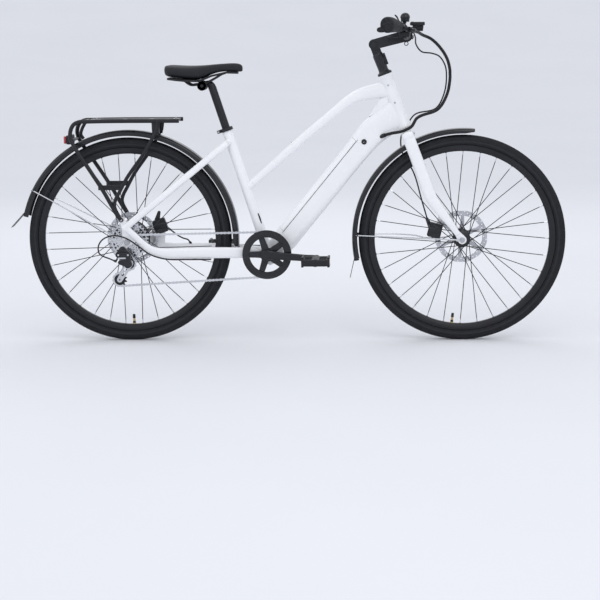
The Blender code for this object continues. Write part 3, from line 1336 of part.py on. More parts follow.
CHEEK = 0.0095
arm_half = KNUCKLE_HALF + GAP + CHEEK
mid_arm = PIVOT.lerp(BAR_AT, 0.55)
stem_arm = band(-arm_half, arm_half, (PIVOT.x, PIVOT.z, STEM_JOINT_RADIUS),
                (BAR_AT.x, BAR_AT.z, STEM_CLAMP_RADIUS), count=12)
slot = box(PIVOT.lerp(BAR_AT, 0.03), (0.064, 2 * (KNUCKLE_HALF + GAP), 0.070),
           -math.atan2(STEM_RISE, STEM_REACH))
waist = [box(mid_arm + LEFT * (side * (arm_half + 0.0035)) + Vector((0.010, 0.0, 0.0)),
             (0.046, 0.012, 0.060), -math.atan2(STEM_RISE, STEM_REACH)) for side in (1, -1)]
bar_bore = cross_rod(BAR_AT, BAR_CLAMP_RADIUS * 1.03 + GAP, -0.04, 0.04, 14)
stem_arm = cut(stem_arm, slot, *waist, bar_bore)
pivot_bolt = cross_rod(PIVOT, 0.0050, -arm_half - 0.0030, arm_half + 0.0030, 10)
bolt_heads = [cross_rod(PIVOT, 0.0100, *sorted((side * (arm_half - 0.001), side * (arm_half + 0.0022))), 12)
              for side in (1, -1)]
face_bolts = [rod(BAR_AT + Vector((STEM_CLAMP_RADIUS - 0.005, y, z)),
                  BAR_AT + Vector((STEM_CLAMP_RADIUS + 0.003, y, z)), 0.0030, 6)
              for y in (-0.013, 0.013) for z in (-0.0095, 0.0095)]
eyelet_at = BAR_AT + Vector((0.0, 0.0, -0.0299))
eyelet = turned([(0.0088, 0.0022), (0.0088, -0.0022), (0.0062, -0.0022), (0.0062, 0.0022)],
                eyelet_at, Vector((1.0, 0.0, 0.0)), 12)
eyelet_neck = box(BAR_AT + Vector((0.0, 0.0, -0.0203)), (0.005, 0.007, 0.0058))
stem_arm = join(stem_arm, pivot_bolt, *bolt_heads, bundle(face_bolts), eyelet_neck, eyelet)
finish(stem_arm, "stem_arm", BLACK_METAL, PIVOT)

# Handlebar and what it carries
GRIP_IN = BAR_AT + Vector((-0.027, GRIP_START, 0.0305))
GRIP_OUT = BAR_AT + Vector((-0.062, GRIP_END, 0.0285))
GRIP_WAY = (GRIP_OUT - GRIP_IN).normalized()


def across_bar(point):
    return Vector((point.x, -point.y, point.z))


half_bar = [BAR_AT + Vector((x, y, z)) for x, y, z in (
    (0.0, 0.034, 0.0), (-0.0005, 0.052, 0.0030), (-0.004, 0.090, 0.0150),
    (-0.0080, 0.125, 0.0235), (-0.0150, 0.160, 0.0290))] + [GRIP_IN, GRIP_OUT - GRIP_WAY * 0.004]
bar_share = [BAR_CLAMP_RADIUS / BAR_RADIUS, 1.10, 1.0, 1.0, 1.0, 1.0, 1.0]
handlebar = tube([across_bar(point) for point in half_bar[::-1]] + half_bar, BAR_RADIUS, 2,
                 bar_share[::-1] + bar_share)
finish(handlebar, "handlebar", BLACK_METAL, BAR_AT)


def grip(side):
    """Grip with a palm wing at its outer rear and a bore that fits the bar."""
    rings = []
    for share, deep, wide, back in ((0.0, 0.66, 0.62, 0.0), (0.10, 0.74, 0.66, 0.001),
                                    (0.45, 0.84, 0.78, 0.004), (0.78, 1.0, 1.0, 0.009),
                                    (0.96, 0.98, 0.86, 0.009), (1.0, 0.86, 0.66, 0.008)):
        centre = GRIP_IN.lerp(GRIP_OUT, share) + Vector((-back, 0.0, -back * 0.5))
        rings.append(oval(centre, Vector((0.0, 0.0, 1.0)), GRIP_HEIGHT / 2 * wide * 0.86,
                          GRIP_DEPTH / 2 * deep * 0.92, 2.2, 12, Vector((1.0, 0.0, 0.0))))
    body = loft(rings)
    bore = rod(GRIP_IN - GRIP_WAY * 0.02, GRIP_OUT - GRIP_WAY * 0.0036, BAR_RADIUS * 1.04 + BEARING_GAP, 12)
    made = cut(body, bore)
    return made if side > 0 else mirror_in_place(made)


def mirror_in_place(source):
    made = mirrored(source)
    bpy.data.objects.remove(source, do_unlink=True)
    return made


finish(grip(1), "grip_left", RUBBER, GRIP_IN)
finish(grip(-1), "grip_right", RUBBER, across_bar(GRIP_IN))

CLAMP_SPOT = half_bar[4].lerp(GRIP_IN, (BRACKET_Y - 0.160) / (GRIP_START - 0.160))
CLAMP_WAY = (GRIP_IN - half_bar[4]).normalized()
LEVER_PIVOT = CLAMP_SPOT + Vector((0.033, -0.004, -0.0105))


def bracket():
    """Left brake lever clamp with its reservoir-shaped body and pivot ears."""
    ring_out = rod(CLAMP_SPOT - CLAMP_WAY * 0.0065, CLAMP_SPOT + CLAMP_WAY * 0.0065, 0.0155, 14)
    reach = LEVER_PIVOT - CLAMP_SPOT
    trunk = loft([oval(CLAMP_SPOT + Vector((0.012, -0.002, -0.003)), LEFT, 0.0068, 0.0085, 2.6, 8,
                       Vector((0.3, 0.0, 1.0)).normalized()),
                  oval(LEVER_PIVOT + Vector((0.002, -0.006, 0.0)), LEFT, 0.0105, 0.0075, 2.6, 8,
                       Vector((0.3, 0.0, 1.0)).normalized())])
    ears_at = LEVER_PIVOT
    ears = rod(ears_at + Vector((0.0, 0.0, -0.0085)), ears_at + Vector((0.0, 0.0, 0.0085)), 0.0082, 10)
    barrel = rod(ears_at + Vector((-0.002, -0.012, 0.0)), ears_at + Vector((0.006, -0.036, -0.002)),
                 0.0042, 8)
    body = join(ring_out, trunk, ears, barrel)
    bar_hole = rod(CLAMP_SPOT - CLAMP_WAY * 0.03, CLAMP_SPOT + CLAMP_WAY * 0.03,
                   BAR_RADIUS + BEARING_GAP, 12)
    blade_room = box(ears_at + Vector((0.004, 0.009, 0.0)), (0.034, 0.034, 0.0086))
    pin_hole = rod(ears_at - Vector((0.0, 0.0, 0.02)), ears_at + Vector((0.0, 0.0, 0.02)),
                   0.0022 + GAP, 8)
    return cut(body, bar_hole, blade_room, pin_hole)


def lever():
    """Left brake lever blade with its pin and a ball at the tip."""
    p = LEVER_PIVOT
    route = [(0.0, 0.004, 0.0, 0.013, 0.0072), (0.010, 0.018, 0.0, 0.012, 0.0074),
             (0.014, 0.045, 0.0, 0.0095, 0.0078), (0.011, 0.082, 0.0, 0.0088, 0.0078),
             (0.010, 0.118, 0.0, 0.0085, 0.0076)]
    rings = []
    for i, (x, y, z, deep, thick) in enumerate(route):
        before = Vector(route[max(i - 1, 0)][:3])
        after = Vector(route[min(i + 1, len(route) - 1)][:3])
        way = after - before
        square = Vector((way.y, -way.x, 0.0)).normalized()
        rings.append(oval(p + Vector((x, y, z)), square, deep / 2, thick / 2, 2.6, 8,
                          Vector((0.0, 0.0, 1.0))))
    blade = loft(rings)
    bm = bmesh.new()
    bmesh.ops.create_uvsphere(bm, u_segments=6, v_segments=4, radius=0.0062)
    bmesh.ops.translate(bm, verts=bm.verts, vec=p + Vector((0.010, 0.121, 0.0)))
    ball = as_object(bm)
    hub = rod(p - Vector((0.0, 0.0, 0.0039)), p + Vector((0.0, 0.0, 0.0039)), 0.0068, 10)
    pin = rod(p - Vector((0.0, 0.0, 0.0100)), p + Vector((0.0, 0.0, 0.0100)), 0.0022, 8)
    return join(blade, ball, hub, pin)


finish(bracket(), "brake_bracket_left", BLACK_METAL, CLAMP_SPOT)
finish(mirror_in_place(bracket()), "brake_bracket_right", BLACK_METAL, across_bar(CLAMP_SPOT))
finish(lever(), "brake_lever_left", BLACK_METAL, LEVER_PIVOT)
finish(mirror_in_place(lever()), "brake_lever_right", BLACK_METAL, across_bar(LEVER_PIVOT))


def bar_point(left):
    """Middle of the bar at a distance to the left of its centre."""
    last = half_bar[0]
    for point in half_bar:
        if left <= point.y:
            span = point.y - last.y
            return last.lerp(point, (left - last.y) / span if span else 0.0)
        last = point
    return last


# Bell on the right half of the bar
bell_spot = across_bar(bar_point(BELL_Y - 0.009))
bell_way = across_bar((half_bar[4] - half_bar[3]).normalized())
bell_ring = rod(bell_spot - bell_way * 0.005, bell_spot + bell_way * 0.005, 0.0142, 12)
bell_foot = rod(bell_spot + Vector((0.0, 0.0, 0.008)), bell_spot + Vector((0.006, 0.0, 0.0210)),
                0.0055, 8)
BELL_AT = bell_spot + Vector((0.0065, 0.0, 0.0200))
dome = turned([(0.0, 0.0165), (0.0070, 0.0155), (0.0125, 0.0110), (BELL_RADIUS, 0.0025),
               (BELL_RADIUS, 0.0), (0.0, 0.0)], BELL_AT, Vector((0.0, 0.0, 1.0)), 14)
bell = join(bell_ring, bell_foot, dome)
bell = cut(bell, rod(bell_spot - bell_way * 0.03, bell_spot + bell_way * 0.03,
                     BAR_RADIUS + BEARING_GAP, 12))
finish(bell, "bell", BLACK_METAL, BELL_AT)
STRIKER = BELL_AT + Vector((-BELL_RADIUS - 0.0034 - GAP, 0.0, 0.0010))
striker = join(rod(STRIKER - LEFT * 0.0040, STRIKER + LEFT * 0.0040, 0.0034, 8),
               rod(STRIKER + Vector((-0.0008, 0.0, 0.0010)), STRIKER + Vector((-0.0070, 0.0, 0.0150)),
                   0.0022, 6, 0.0030))
finish(striker, "bell_lever", BLACK_METAL, STRIKER)

# Gear shifter under the right half of the bar
shift_spot = across_bar(bar_point(BELL_Y + 0.006))
shift_way = across_bar((half_bar[4] - half_bar[3]).normalized())
shift_ring = rod(shift_spot - shift_way * 0.0045, shift_spot + shift_way * 0.0045, 0.0148, 12)
pod_at = shift_spot + Vector((0.006, -0.0025, -0.0225))
pod = box(pod_at, (0.034, 0.018, 0.018), 0.0, 0.003)
shifter = cut(join(shift_ring, pod), rod(shift_spot - shift_way * 0.03, shift_spot + shift_way * 0.03,
                                         BAR_RADIUS + BEARING_GAP, 12))
finish(shifter, "shifter", BLACK_PLASTIC, shift_spot)
THUMB = pod_at + Vector((0.0, 0.0, -0.0090 - GAP))
thumb = join(rod(THUMB, THUMB + Vector((0.0, 0.0, -0.0040)), 0.0080, 10),
             box(THUMB + Vector((-0.020, 0.005, -0.0024)), (0.032, 0.011, 0.0030), 0.0))
finish(thumb, "shifter_lever", BLACK_PLASTIC, THUMB)

# Display over the bar clamp, with two keys
DISPLAY_AT = BAR_AT + Vector((0.0370, 0.0, 0.0390))
screen_box = box(DISPLAY_AT, (DISPLAY_LENGTH, DISPLAY_WIDTH, DISPLAY_THICKNESS), 0.0, 0.0025)
ring_in = BAR_CLAMP_RADIUS * 1.035 + BEARING_GAP
mount_ring = turned([(BAR_CLAMP_RADIUS + 0.0050, 0.0300), (BAR_CLAMP_RADIUS + 0.0050, 0.0235),
                     (ring_in, 0.0235), (ring_in, 0.0300)],
                    BAR_AT, LEFT, 12)
mount_arm = box(BAR_AT + Vector((0.0265, 0.0268, 0.0275)), (0.037, 0.0055, 0.010), -0.62)
display = join(screen_box, mount_ring, mirrored(mount_ring), mount_arm, mirrored(mount_arm))
KEY_RADIUS = 0.0040
KEY_X = -DISPLAY_LENGTH / 2 + 0.0080
key_holes = [rod(DISPLAY_AT + Vector((KEY_X, y, DISPLAY_THICKNESS / 2 - 0.0030)),
                 DISPLAY_AT + Vector((KEY_X, y, DISPLAY_THICKNESS)), KEY_RADIUS + GAP, 10)
             for y in (-0.010, 0.010)]
display = cut(display, *key_holes)
finish(display, "display", BLACK_PLASTIC, DISPLAY_AT)
for key_name, y in (("key_minus", -0.010), ("key_plus", 0.010)):
    foot = DISPLAY_AT + Vector((KEY_X, y, DISPLAY_THICKNESS / 2 - 0.0015))
    finish(rod(foot, foot + Vector((0.0, 0.0, 0.0026)), KEY_RADIUS, 10), key_name, RUBBER, foot)

# Rear rack
EYE = rear(*RACK_EYE)
half_rack = RACK_WIDTH / 2
eye_y = PLATE_HIGH + GAP + RACK_TUBE
RAIL_FRONT = 0.185
RAIL_Z = RACK_HEIGHT - TYRE_RADIUS


def rack_route(points):
    return [rear(x, z, y) for x, z, y in points]


rail = rack_route([(RACK_EYE[0], RACK_EYE[1], eye_y), (-0.0269, 0.0895, eye_y),
                   (-0.0764, 0.1778, 0.0790), (-0.1361, 0.2720, 0.0750), (-0.1727, 0.3294, 0.0690),
                   (-0.1838, 0.3550, 0.0650), (-0.1835, 0.3780, 0.0610), (-0.1730, 0.3990, 0.0575),
                   (-0.1540, RAIL_Z - 0.001, half_rack), (-0.130, RAIL_Z, half_rack),
                   (RAIL_FRONT, RAIL_Z, half_rack)])
front_stay = rack_route([(-0.0215, 0.0840, eye_y), (-0.0385, 0.1250, 0.0800),
                         (-0.0330, 0.1480, 0.0795), (-0.0216, 0.1686, 0.0790),
                         (0.0069, 0.2195, 0.0780), (0.0635, 0.2975, 0.0740),
                         (0.0916, 0.3448, 0.0690), (0.1060, 0.3740, 0.0610),
                         (0.1120, RAIL_Z, half_rack)])


def rack_side():
    long_rail = tube(rail, RACK_TUBE, 1)
    stay = tube(front_stay, RACK_TUBE * 0.92, 1)
    eye = cross_rod(EYE, 0.0082, PLATE_HIGH + GAP, PLATE_HIGH + GAP + 0.0075, 10)
    gusset = box(rear(-0.043, 0.187, 0.0790), (0.098, 0.0036, 0.017))
    return [long_rail, stay, eye, gusset]


left_side = rack_side()
right_side = [mirrored(piece) for piece in left_side]
rails_of_rack = join(*left_side)
others = join(*right_side)
bars = [cross_rod(rear(x, z), radius, -half_rack - slack, half_rack + slack, 8)
        for x, z, radius, slack in ((-0.1180, RAIL_Z, 0.0047, 0.0), (0.0200, RAIL_Z, 0.0047, 0.0),
                                    (0.1760, RAIL_Z, 0.0047, 0.0), (-0.1826, 0.3460, 0.0052, 0.0110))]
deck_outline = [(-0.1260, -0.0300), (-0.1180, -0.0360), (0.1700, -0.0360), (0.1830, -0.0240),
                (0.1830, 0.0240), (0.1700, 0.0360), (-0.1180, 0.0360), (-0.1260, 0.0300)]
deck_slots = [[(-0.090 + 0.090 * i, 0.0), (-0.080 + 0.090 * i, 0.0090), (-0.020 + 0.090 * i, 0.0090),
               (-0.010 + 0.090 * i, 0.0), (-0.020 + 0.090 * i, -0.0090), (-0.080 + 0.090 * i, -0.0090)]
              for i in range(3)]
deck_z = RACK_HEIGHT + 0.0040
deck = plate([deck_outline] + deck_slots, -0.0012, 0.0012, Matrix.Translation((0.0, 0.0, deck_z)))
top_z = math.sqrt(GUARD_OUTER ** 2 - 0.105 ** 2)
front_straps = [box(rear(0.105, (top_z + 0.0006 + RAIL_Z) / 2 + 0.001, y),
                    (0.0045, 0.0160, RAIL_Z - top_z + 0.0030), 0.0) for y in (-0.018, 0.018)]
rear_strap = tube([rear(-0.1400, RAIL_Z), rear(-0.1560, 0.3800), rear(-0.1600, 0.3620),
                   rear(-0.1510, 0.3475)], 0.0058, 1)
rear_strap_bar = cross_rod(rear(-0.1400, RAIL_Z), 0.0045, -half_rack, half_rack, 8)
rack = join(rails_of_rack, others)
rack = join(rack, *bars, deck, rear_strap_bar, rear_strap, *front_straps)
finish(rack, "rack", BLACK_METAL, rear(0.0, RAIL_Z))

LAMP_AT = rear(-0.1826 - 0.0052 - GAP - 0.0085, 0.3460)
lamp = box(LAMP_AT, (0.017, 0.070, 0.031), 0.0, 0.003)
finish(lamp, "tail_light", BLACK_PLASTIC, LAMP_AT)
lens = box(LAMP_AT + Vector((-0.0085 - GAP - 0.0045, 0.0, 0.0)), (0.009, 0.066, 0.026), 0.0, 0.0025)
finish(lens, "tail_lens", RED_LENS, LAMP_AT + Vector((-0.013, 0.0, 0.0)))

# Mudguards


def mudguard(centre, outer, start, sweep, steps):
    """Bent sheet with drawn-down edges, swept round the wheel."""
    half = MUDGUARD_WIDTH / 2
    wall = MUDGUARD_WALL
    drop = MUDGUARD_SKIRT
    section = [(outer - drop, -half), (outer - 0.007, -half), (outer, -half + 0.010),
               (outer, half - 0.010), (outer - 0.007, half), (outer - drop, half),
               (outer - drop, half - wall), (outer - 0.008, half - wall),
               (outer - wall - 0.0005, 0.0), (outer - 0.008, -half + wall),
               (outer - drop, -half + wall)]
    rings = []
    for i in range(steps + 1):
        angle = start + sweep * i / steps
        way = Vector((math.cos(angle), 0.0, math.sin(angle)))
        rings.append([centre + way * radius + LEFT * left for radius, left in section])
    return loft(rings)


def guard_point(centre, radius, degrees, left=0.0):
    angle = math.radians(degrees)
    return centre + Vector((math.cos(angle), 0.0, math.sin(angle))) * radius + LEFT * left


def flap(start, end, thickness=0.0022, width=0.046):
    way = (end - start).normalized()
    square = Vector((-way.z, 0.0, way.x))
    return loft([oval(spot, square, thickness / 2, width / 2, 8.0, 8) for spot in (start, end)])


def stay_wires(foot, routes):
    wires = []
    for side, route in zip((1, -1), routes):
        wires.append(tube([foot(x, z, side * y) for x, z, y in route], STAY_WIRE_RADIUS, 1))
        x, z, y = route[-1]
        at = foot(x, z, 0.0)
        wires.append(cross_rod(at, 0.0050, *sorted((side * (y - STAY_WIRE_RADIUS),
                                                    side * (y + STAY_WIRE_RADIUS))), 8))
    return wires


rear_flap_start = guard_point(REAR_AXLE, GUARD_OUTER - 0.0030, 164.8)
rear_flap_end = Vector((-REAR_REACH + 0.0008, 0.0, TYRE_RADIUS + 0.0458))
rear_guard = mudguard(REAR_AXLE, GUARD_OUTER, math.radians(-3.6), math.radians(170.5), 16)
bridge_gap = (along(seat(STAY_TOP), rear(*CORNER), 0.215) - REAR_AXLE).length - 0.006 - GAP
bridge_angle = math.degrees(math.atan2(*reversed(
    (along(seat(STAY_TOP), rear(*CORNER), 0.215) - REAR_AXLE).xz)))
low_bridge = BB + Vector((-0.078, 0.0, 0.006)) - REAR_AXLE
low_angle = math.degrees(math.atan2(low_bridge.z, low_bridge.x))
rear_bosses = [rod(guard_point(REAR_AXLE, GUARD_OUTER - 0.0048, bridge_angle),
                   guard_point(REAR_AXLE, bridge_gap, bridge_angle), 0.0070, 8),
               rod(guard_point(REAR_AXLE, GUARD_OUTER - 0.0048, low_angle + 3.4),
                   guard_point(REAR_AXLE, GUARD_OUTER + 0.0070, low_angle), 0.0045, 8),
               rod(guard_point(REAR_AXLE, GUARD_OUTER + 0.0030, low_angle),
                   guard_point(REAR_AXLE, low_bridge.length - 0.007 - GAP, low_angle), 0.0060, 8)]
wire_end_y = PLATE_HIGH + GAP + STAY_WIRE_RADIUS
rear_route = [(-0.3300, 0.1740, MUDGUARD_WIDTH / 2 - 0.0004), (-0.2558, 0.1360, 0.0390),
              (-0.0170, 0.0060, wire_end_y)]
rear_guard = join(rear_guard, flap(rear_flap_start, rear_flap_end), *rear_bosses,
                  *stay_wires(lambda x, z, y: rear(x, z, y), (rear_route, rear_route)))
finish(rear_guard, "mudguard_rear", BLACK_PLASTIC, REAR_AXLE)


def front(x, z, left=0.0):
    """Point measured from the front axle."""
    return FRONT_AXLE + Vector((x, left, z))


front_guard = mudguard(FRONT_AXLE, FRONT_GUARD_OUTER, math.radians(83.4), math.radians(108.3), 11)
crown_below = steer(CROWN - CROWN_HEIGHT / 2)
crown_reach = (crown_below - FRONT_AXLE).length
crown_angle = math.degrees(math.atan2((crown_below - FRONT_AXLE).z, (crown_below - FRONT_AXLE).x))
front_boss = rod(guard_point(FRONT_AXLE, FRONT_GUARD_OUTER - 0.0048, crown_angle),
                 guard_point(FRONT_AXLE, crown_reach - 0.0016, crown_angle), 0.0090, 8)
front_flap = flap(guard_point(FRONT_AXLE, FRONT_GUARD_OUTER - 0.0030, 190.0),
                  front(-0.3805, -0.1333))
front_wire_y = FORK_PLATE_HIGH + GAP + STAY_WIRE_RADIUS
right_route = [(-0.3590, 0.0130, MUDGUARD_WIDTH / 2 - 0.0004), (-0.0165, 0.0005, front_wire_y)]
left_route = [(-0.3590, 0.0130, MUDGUARD_WIDTH / 2 - 0.0004), (-0.1600, 0.0020, 0.0610),
              (-0.1200, -0.0080, 0.0660), (-0.0600, -0.0060, 0.0640), (-0.0165, 0.0005, front_wire_y)]
front_guard = join(front_guard, front_flap, front_boss,
                   *stay_wires(lambda x, z, y: front(x, z, y), (left_route, right_route)))
finish(front_guard, "mudguard_front", BLACK_PLASTIC, FRONT_AXLE)

# Disc calipers


def caliper(centre, out_y, rotor_y, tilt):
    """Caliper body with a slot for the disc and an open back."""
    width = out_y - (rotor_y - 0.0128)
    middle = out_y - width / 2
    spot = Vector((centre.x, middle, centre.z))
    body = box(spot, (CALIPER_LENGTH, width, CALIPER_HEIGHT), tilt, 0.004)
    return body


def caliper_arm(pivot, out_y, points):
    arm = band(out_y + GAP, out_y + 0.0042, (pivot.x, pivot.z, 0.0105), *points, count=10)
    peg = cross_rod(pivot, 0.0060, out_y + 0.0010, out_y + 0.0075, 8)
    return join(arm, peg)


SLOT_SIDE = ROTOR_THICKNESS / 2 + 0.0007
front_caliper_at = front(FRONT_CALIPER.x, FRONT_CALIPER.z)
front_slot = box(front(FRONT_CALIPER.x + 0.016, FRONT_CALIPER.z - 0.002, FRONT_ROTOR_Y),
                 (0.058, 2 * SLOT_SIDE, 0.090), 0.0)
front_barrel_way = Vector((-0.29, 0.0, 0.957)).normalized()
front_barrel_end = front(FRONT_CALIPER.x - 0.0262, FRONT_CALIPER.z + 0.0400, FRONT_CALIPER_OUT - 0.0065)
front_barrel = rod(front_barrel_end - front_barrel_way * 0.034, front_barrel_end, 0.0040, 8)
front_caliper = cut(join(caliper(front_caliper_at, FRONT_CALIPER_OUT, FRONT_ROTOR_Y, 0.25),
                         front_barrel), front_slot)
finish(front_caliper, "caliper_front", BLACK_METAL, front_caliper_at)
front_arm_pivot = front(FRONT_CALIPER.x - 0.009, FRONT_CALIPER.z - 0.002)
front_arm = caliper_arm(front_arm_pivot, FRONT_CALIPER_OUT,
                        [(front_arm_pivot.x - 0.018, front_arm_pivot.z + 0.040, 0.0055)])
finish(front_arm, "caliper_arm_front", BLACK_METAL, front_arm_pivot)

REAR_CALIPER = (0.098, 0.040)
REAR_CALIPER_OUT = STAY_REAR_Y - STAY_WIDTH / 2 - 0.0010
rear_caliper_at = rear(*REAR_CALIPER)
rear_slot = box(rear(REAR_CALIPER[0] - 0.020, REAR_CALIPER[1] - 0.006, REAR_ROTOR_Y),
                (0.060, 2 * SLOT_SIDE, 0.090), 0.0)
rear_barrel_way = Vector((0.80, 0.0, -0.60)).normalized()
rear_barrel_end = rear(REAR_CALIPER[0] + 0.0340, REAR_CALIPER[1] - 0.0150, REAR_CALIPER_OUT - 0.0055)
rear_barrel = rod(rear_barrel_end - rear_barrel_way * 0.026, rear_barrel_end, 0.0040, 8)
rear_caliper = cut(join(caliper(rear_caliper_at, REAR_CALIPER_OUT, REAR_ROTOR_Y, -0.35),
                        rear_barrel), rear_slot)
finish(rear_caliper, "caliper_rear", BLACK_METAL, rear_caliper_at)
rear_arm_pivot = rear(REAR_CALIPER[0] - 0.016, REAR_CALIPER[1] + 0.010)
rear_arm = caliper_arm(rear_arm_pivot, REAR_CALIPER_OUT,
                       [(rear_arm_pivot.x + 0.010, rear_arm_pivot.z + 0.036, 0.0055)])
finish(rear_arm, "caliper_arm_rear", BLACK_METAL, rear_arm_pivot)

# Control cables and hoses
BARREL_END = LEVER_PIVOT + Vector((0.006, -0.036, -0.002))
BARREL_WAY = Vector((0.008, -0.024, -0.002)).normalized()
RIGHT_BARREL_END = across_bar(BARREL_END)
RIGHT_BARREL_WAY = across_bar(BARREL_WAY)


def past_bar(*offsets):
    return [BAR_AT + Vector(offset) for offset in offsets]


def straight_end(spot, way, reach=0.010):
    """Two points that leave a face square to it."""
    return [spot + way * GAP, spot + way * reach]


over_crown = CROWN + CROWN_HEIGHT / 2 + LOOP_RADIUS + 0.0010
upper_points = straight_end(RIGHT_BARREL_END, RIGHT_BARREL_WAY) + past_bar(
    (0.0390, -0.0850, 0.0110), (0.0537, -0.0500, 0.0020), (0.0817, -0.0250, -0.0110),
    (0.1097, -0.0120, -0.0368), (0.1355, -0.0050, -0.0765), (0.1460, -0.0010, -0.1280))
LOOP_MEETING = upper_points[-1]
LOOP_WAY = Vector((0.02, 0.02, -1.0)).normalized()
upper_points = upper_points[:-1] + [LOOP_MEETING - LOOP_WAY * 0.012, LOOP_MEETING - LOOP_WAY * GAP / 2]
lower_points = [LOOP_MEETING + LOOP_WAY * GAP / 2, LOOP_MEETING + LOOP_WAY * 0.012] + past_bar(
    (0.1365, -0.0060, -0.1942), (0.1061, -0.0190, -0.2440)) + [
    steer(over_crown + 0.0230, 0.0500, -0.0330), steer(over_crown + 0.0030, 0.0220, -0.0395),
    steer(over_crown, 0.0020, -0.0410), steer(over_crown, -0.0157, -0.0430),
    LOOP_PORT + LOOP_PORT_WAY * 0.012 + Vector((0.0120, -0.0020, 0.0030)),
    LOOP_PORT + LOOP_PORT_WAY * 0.010, LOOP_PORT + LOOP_PORT_WAY * GAP]


def cable(points, radius, step):
    """Cable whose first and last stretches stay straight."""
    inner = smooth_route(points[1:-1], step)
    return tube([points[0]] + inner + [points[-1]], radius, 1)


finish(cable(upper_points, LOOP_RADIUS, 0.020), "control_loop_upper", RUBBER, RIGHT_BARREL_END)
finish(cable(lower_points, LOOP_RADIUS, 0.022), "control_loop_lower", RUBBER, LOOP_PORT)

brake_points = straight_end(BARREL_END, BARREL_WAY) + past_bar(
    (0.0312, 0.0900, -0.0060), (0.0332, 0.0520, -0.0300), (0.0522, 0.0240, -0.0542),
    (0.0862, 0.0140, -0.0597), (0.1098, 0.0100, -0.0692), (0.1290, 0.0100, -0.0980),
    (0.1345, 0.0110, -0.1280), (0.1270, 0.0120, -0.1930), (0.1000, 0.0200, -0.2430)) + [
    steer(over_crown + 0.0330, 0.0480, 0.0400), steer(over_crown + 0.0100, 0.0120, 0.0600),
    steer(over_crown - 0.0200, -0.0220, 0.0680), steer(over_crown - 0.0750, -0.0390, 0.0680),
    front(-0.1628, 0.2196, 0.0610), front(-0.1350, 0.1250, 0.0560)] + straight_end(
    front_barrel_end, front_barrel_way)[::-1]
finish(cable(brake_points, CABLE_RADIUS, 0.024), "brake_cable_front", RUBBER, front_barrel_end)

hose_points = straight_end(rear_barrel_end, rear_barrel_way) + [
    rear(0.1560, 0.0060, 0.0600), rear(0.1740, -0.0040, 0.0615)] + straight_end(
    HOSE_PORT, HOSE_PORT_WAY, 0.008)[::-1]
finish(cable(hose_points, CABLE_RADIUS, 0.014), "rear_brake_hose", RUBBER, HOSE_PORT)

shift_points = [BB + Vector((-0.1910, -0.0600, -0.0150)), rear(0.2600, -0.0610, -0.0680),
                rear(0.2100, -0.0600, -0.0760), rear(0.1295, -0.0560, -0.0868),
                rear(0.0778, -0.0390, -0.0885), rear(0.0376, -0.0094, -0.0890),
                rear(-0.0034, 0.0174, -0.0935), rear(-0.0450, 0.0252, -0.0940),
                rear(-0.0798, 0.0123, -0.0910), rear(-0.0964, -0.0113, -0.0870),
                rear(-0.0945, -0.0375, -0.0840), STOP_FACE - STOP_WAY * 0.012,
                STOP_FACE - STOP_WAY * GAP]
finish(cable(shift_points, CABLE_RADIUS, 0.018), "shift_housing", RUBBER, STOP_FACE)
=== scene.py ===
"""Looks of a step-through electric bicycle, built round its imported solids."""
import json
import math

import bmesh
import bpy
import numpy as np
from mathutils import Matrix, Vector

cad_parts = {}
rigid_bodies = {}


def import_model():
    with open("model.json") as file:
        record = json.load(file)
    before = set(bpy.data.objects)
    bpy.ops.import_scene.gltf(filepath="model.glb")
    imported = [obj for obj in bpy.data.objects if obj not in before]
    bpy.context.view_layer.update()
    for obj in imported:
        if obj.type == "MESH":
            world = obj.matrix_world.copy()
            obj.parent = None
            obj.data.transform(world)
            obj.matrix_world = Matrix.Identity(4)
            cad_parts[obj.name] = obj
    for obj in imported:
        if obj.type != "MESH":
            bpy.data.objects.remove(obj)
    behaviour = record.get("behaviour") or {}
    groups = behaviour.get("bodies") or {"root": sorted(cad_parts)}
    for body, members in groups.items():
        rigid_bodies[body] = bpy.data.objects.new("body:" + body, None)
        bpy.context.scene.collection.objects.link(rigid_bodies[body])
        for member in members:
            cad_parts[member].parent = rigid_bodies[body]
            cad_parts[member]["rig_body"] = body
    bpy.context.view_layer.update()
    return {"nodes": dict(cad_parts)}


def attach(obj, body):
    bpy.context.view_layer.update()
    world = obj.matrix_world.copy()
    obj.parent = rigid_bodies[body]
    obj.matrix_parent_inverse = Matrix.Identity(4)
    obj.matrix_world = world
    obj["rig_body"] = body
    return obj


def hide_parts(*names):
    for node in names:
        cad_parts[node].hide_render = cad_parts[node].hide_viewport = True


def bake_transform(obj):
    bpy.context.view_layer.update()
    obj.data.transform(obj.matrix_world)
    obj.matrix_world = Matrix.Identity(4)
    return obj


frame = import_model()

LEFT = Vector((0.0, 1.0, 0.0))
UP = Vector((0.0, 0.0, 1.0))
AHEAD = Vector((1.0, 0.0, 0.0))
MIDDLE = 0.5393
TYRE_RADIUS = 0.351
REAR_AXLE = Vector((0.0, 0.0, TYRE_RADIUS))
FRONT_AXLE = Vector((1.138, 0.0, TYRE_RADIUS))
CRANK_AXLE = Vector((0.476, 0.0, 0.304))
SEAT_ANGLE = math.radians(72.2)
HEAD_ANGLE = math.radians(69.7)
SEAT_UP = Vector((-math.cos(SEAT_ANGLE), 0.0, math.sin(SEAT_ANGLE)))
SEAT_AHEAD = Vector((SEAT_UP.z, 0.0, -SEAT_UP.x))
STEER_UP = Vector((-math.cos(HEAD_ANGLE), 0.0, math.sin(HEAD_ANGLE)))
STEER_AHEAD = Vector((math.sin(HEAD_ANGLE), 0.0, math.cos(HEAD_ANGLE)))
STEER_FOOT = FRONT_AXLE - STEER_AHEAD * 0.05


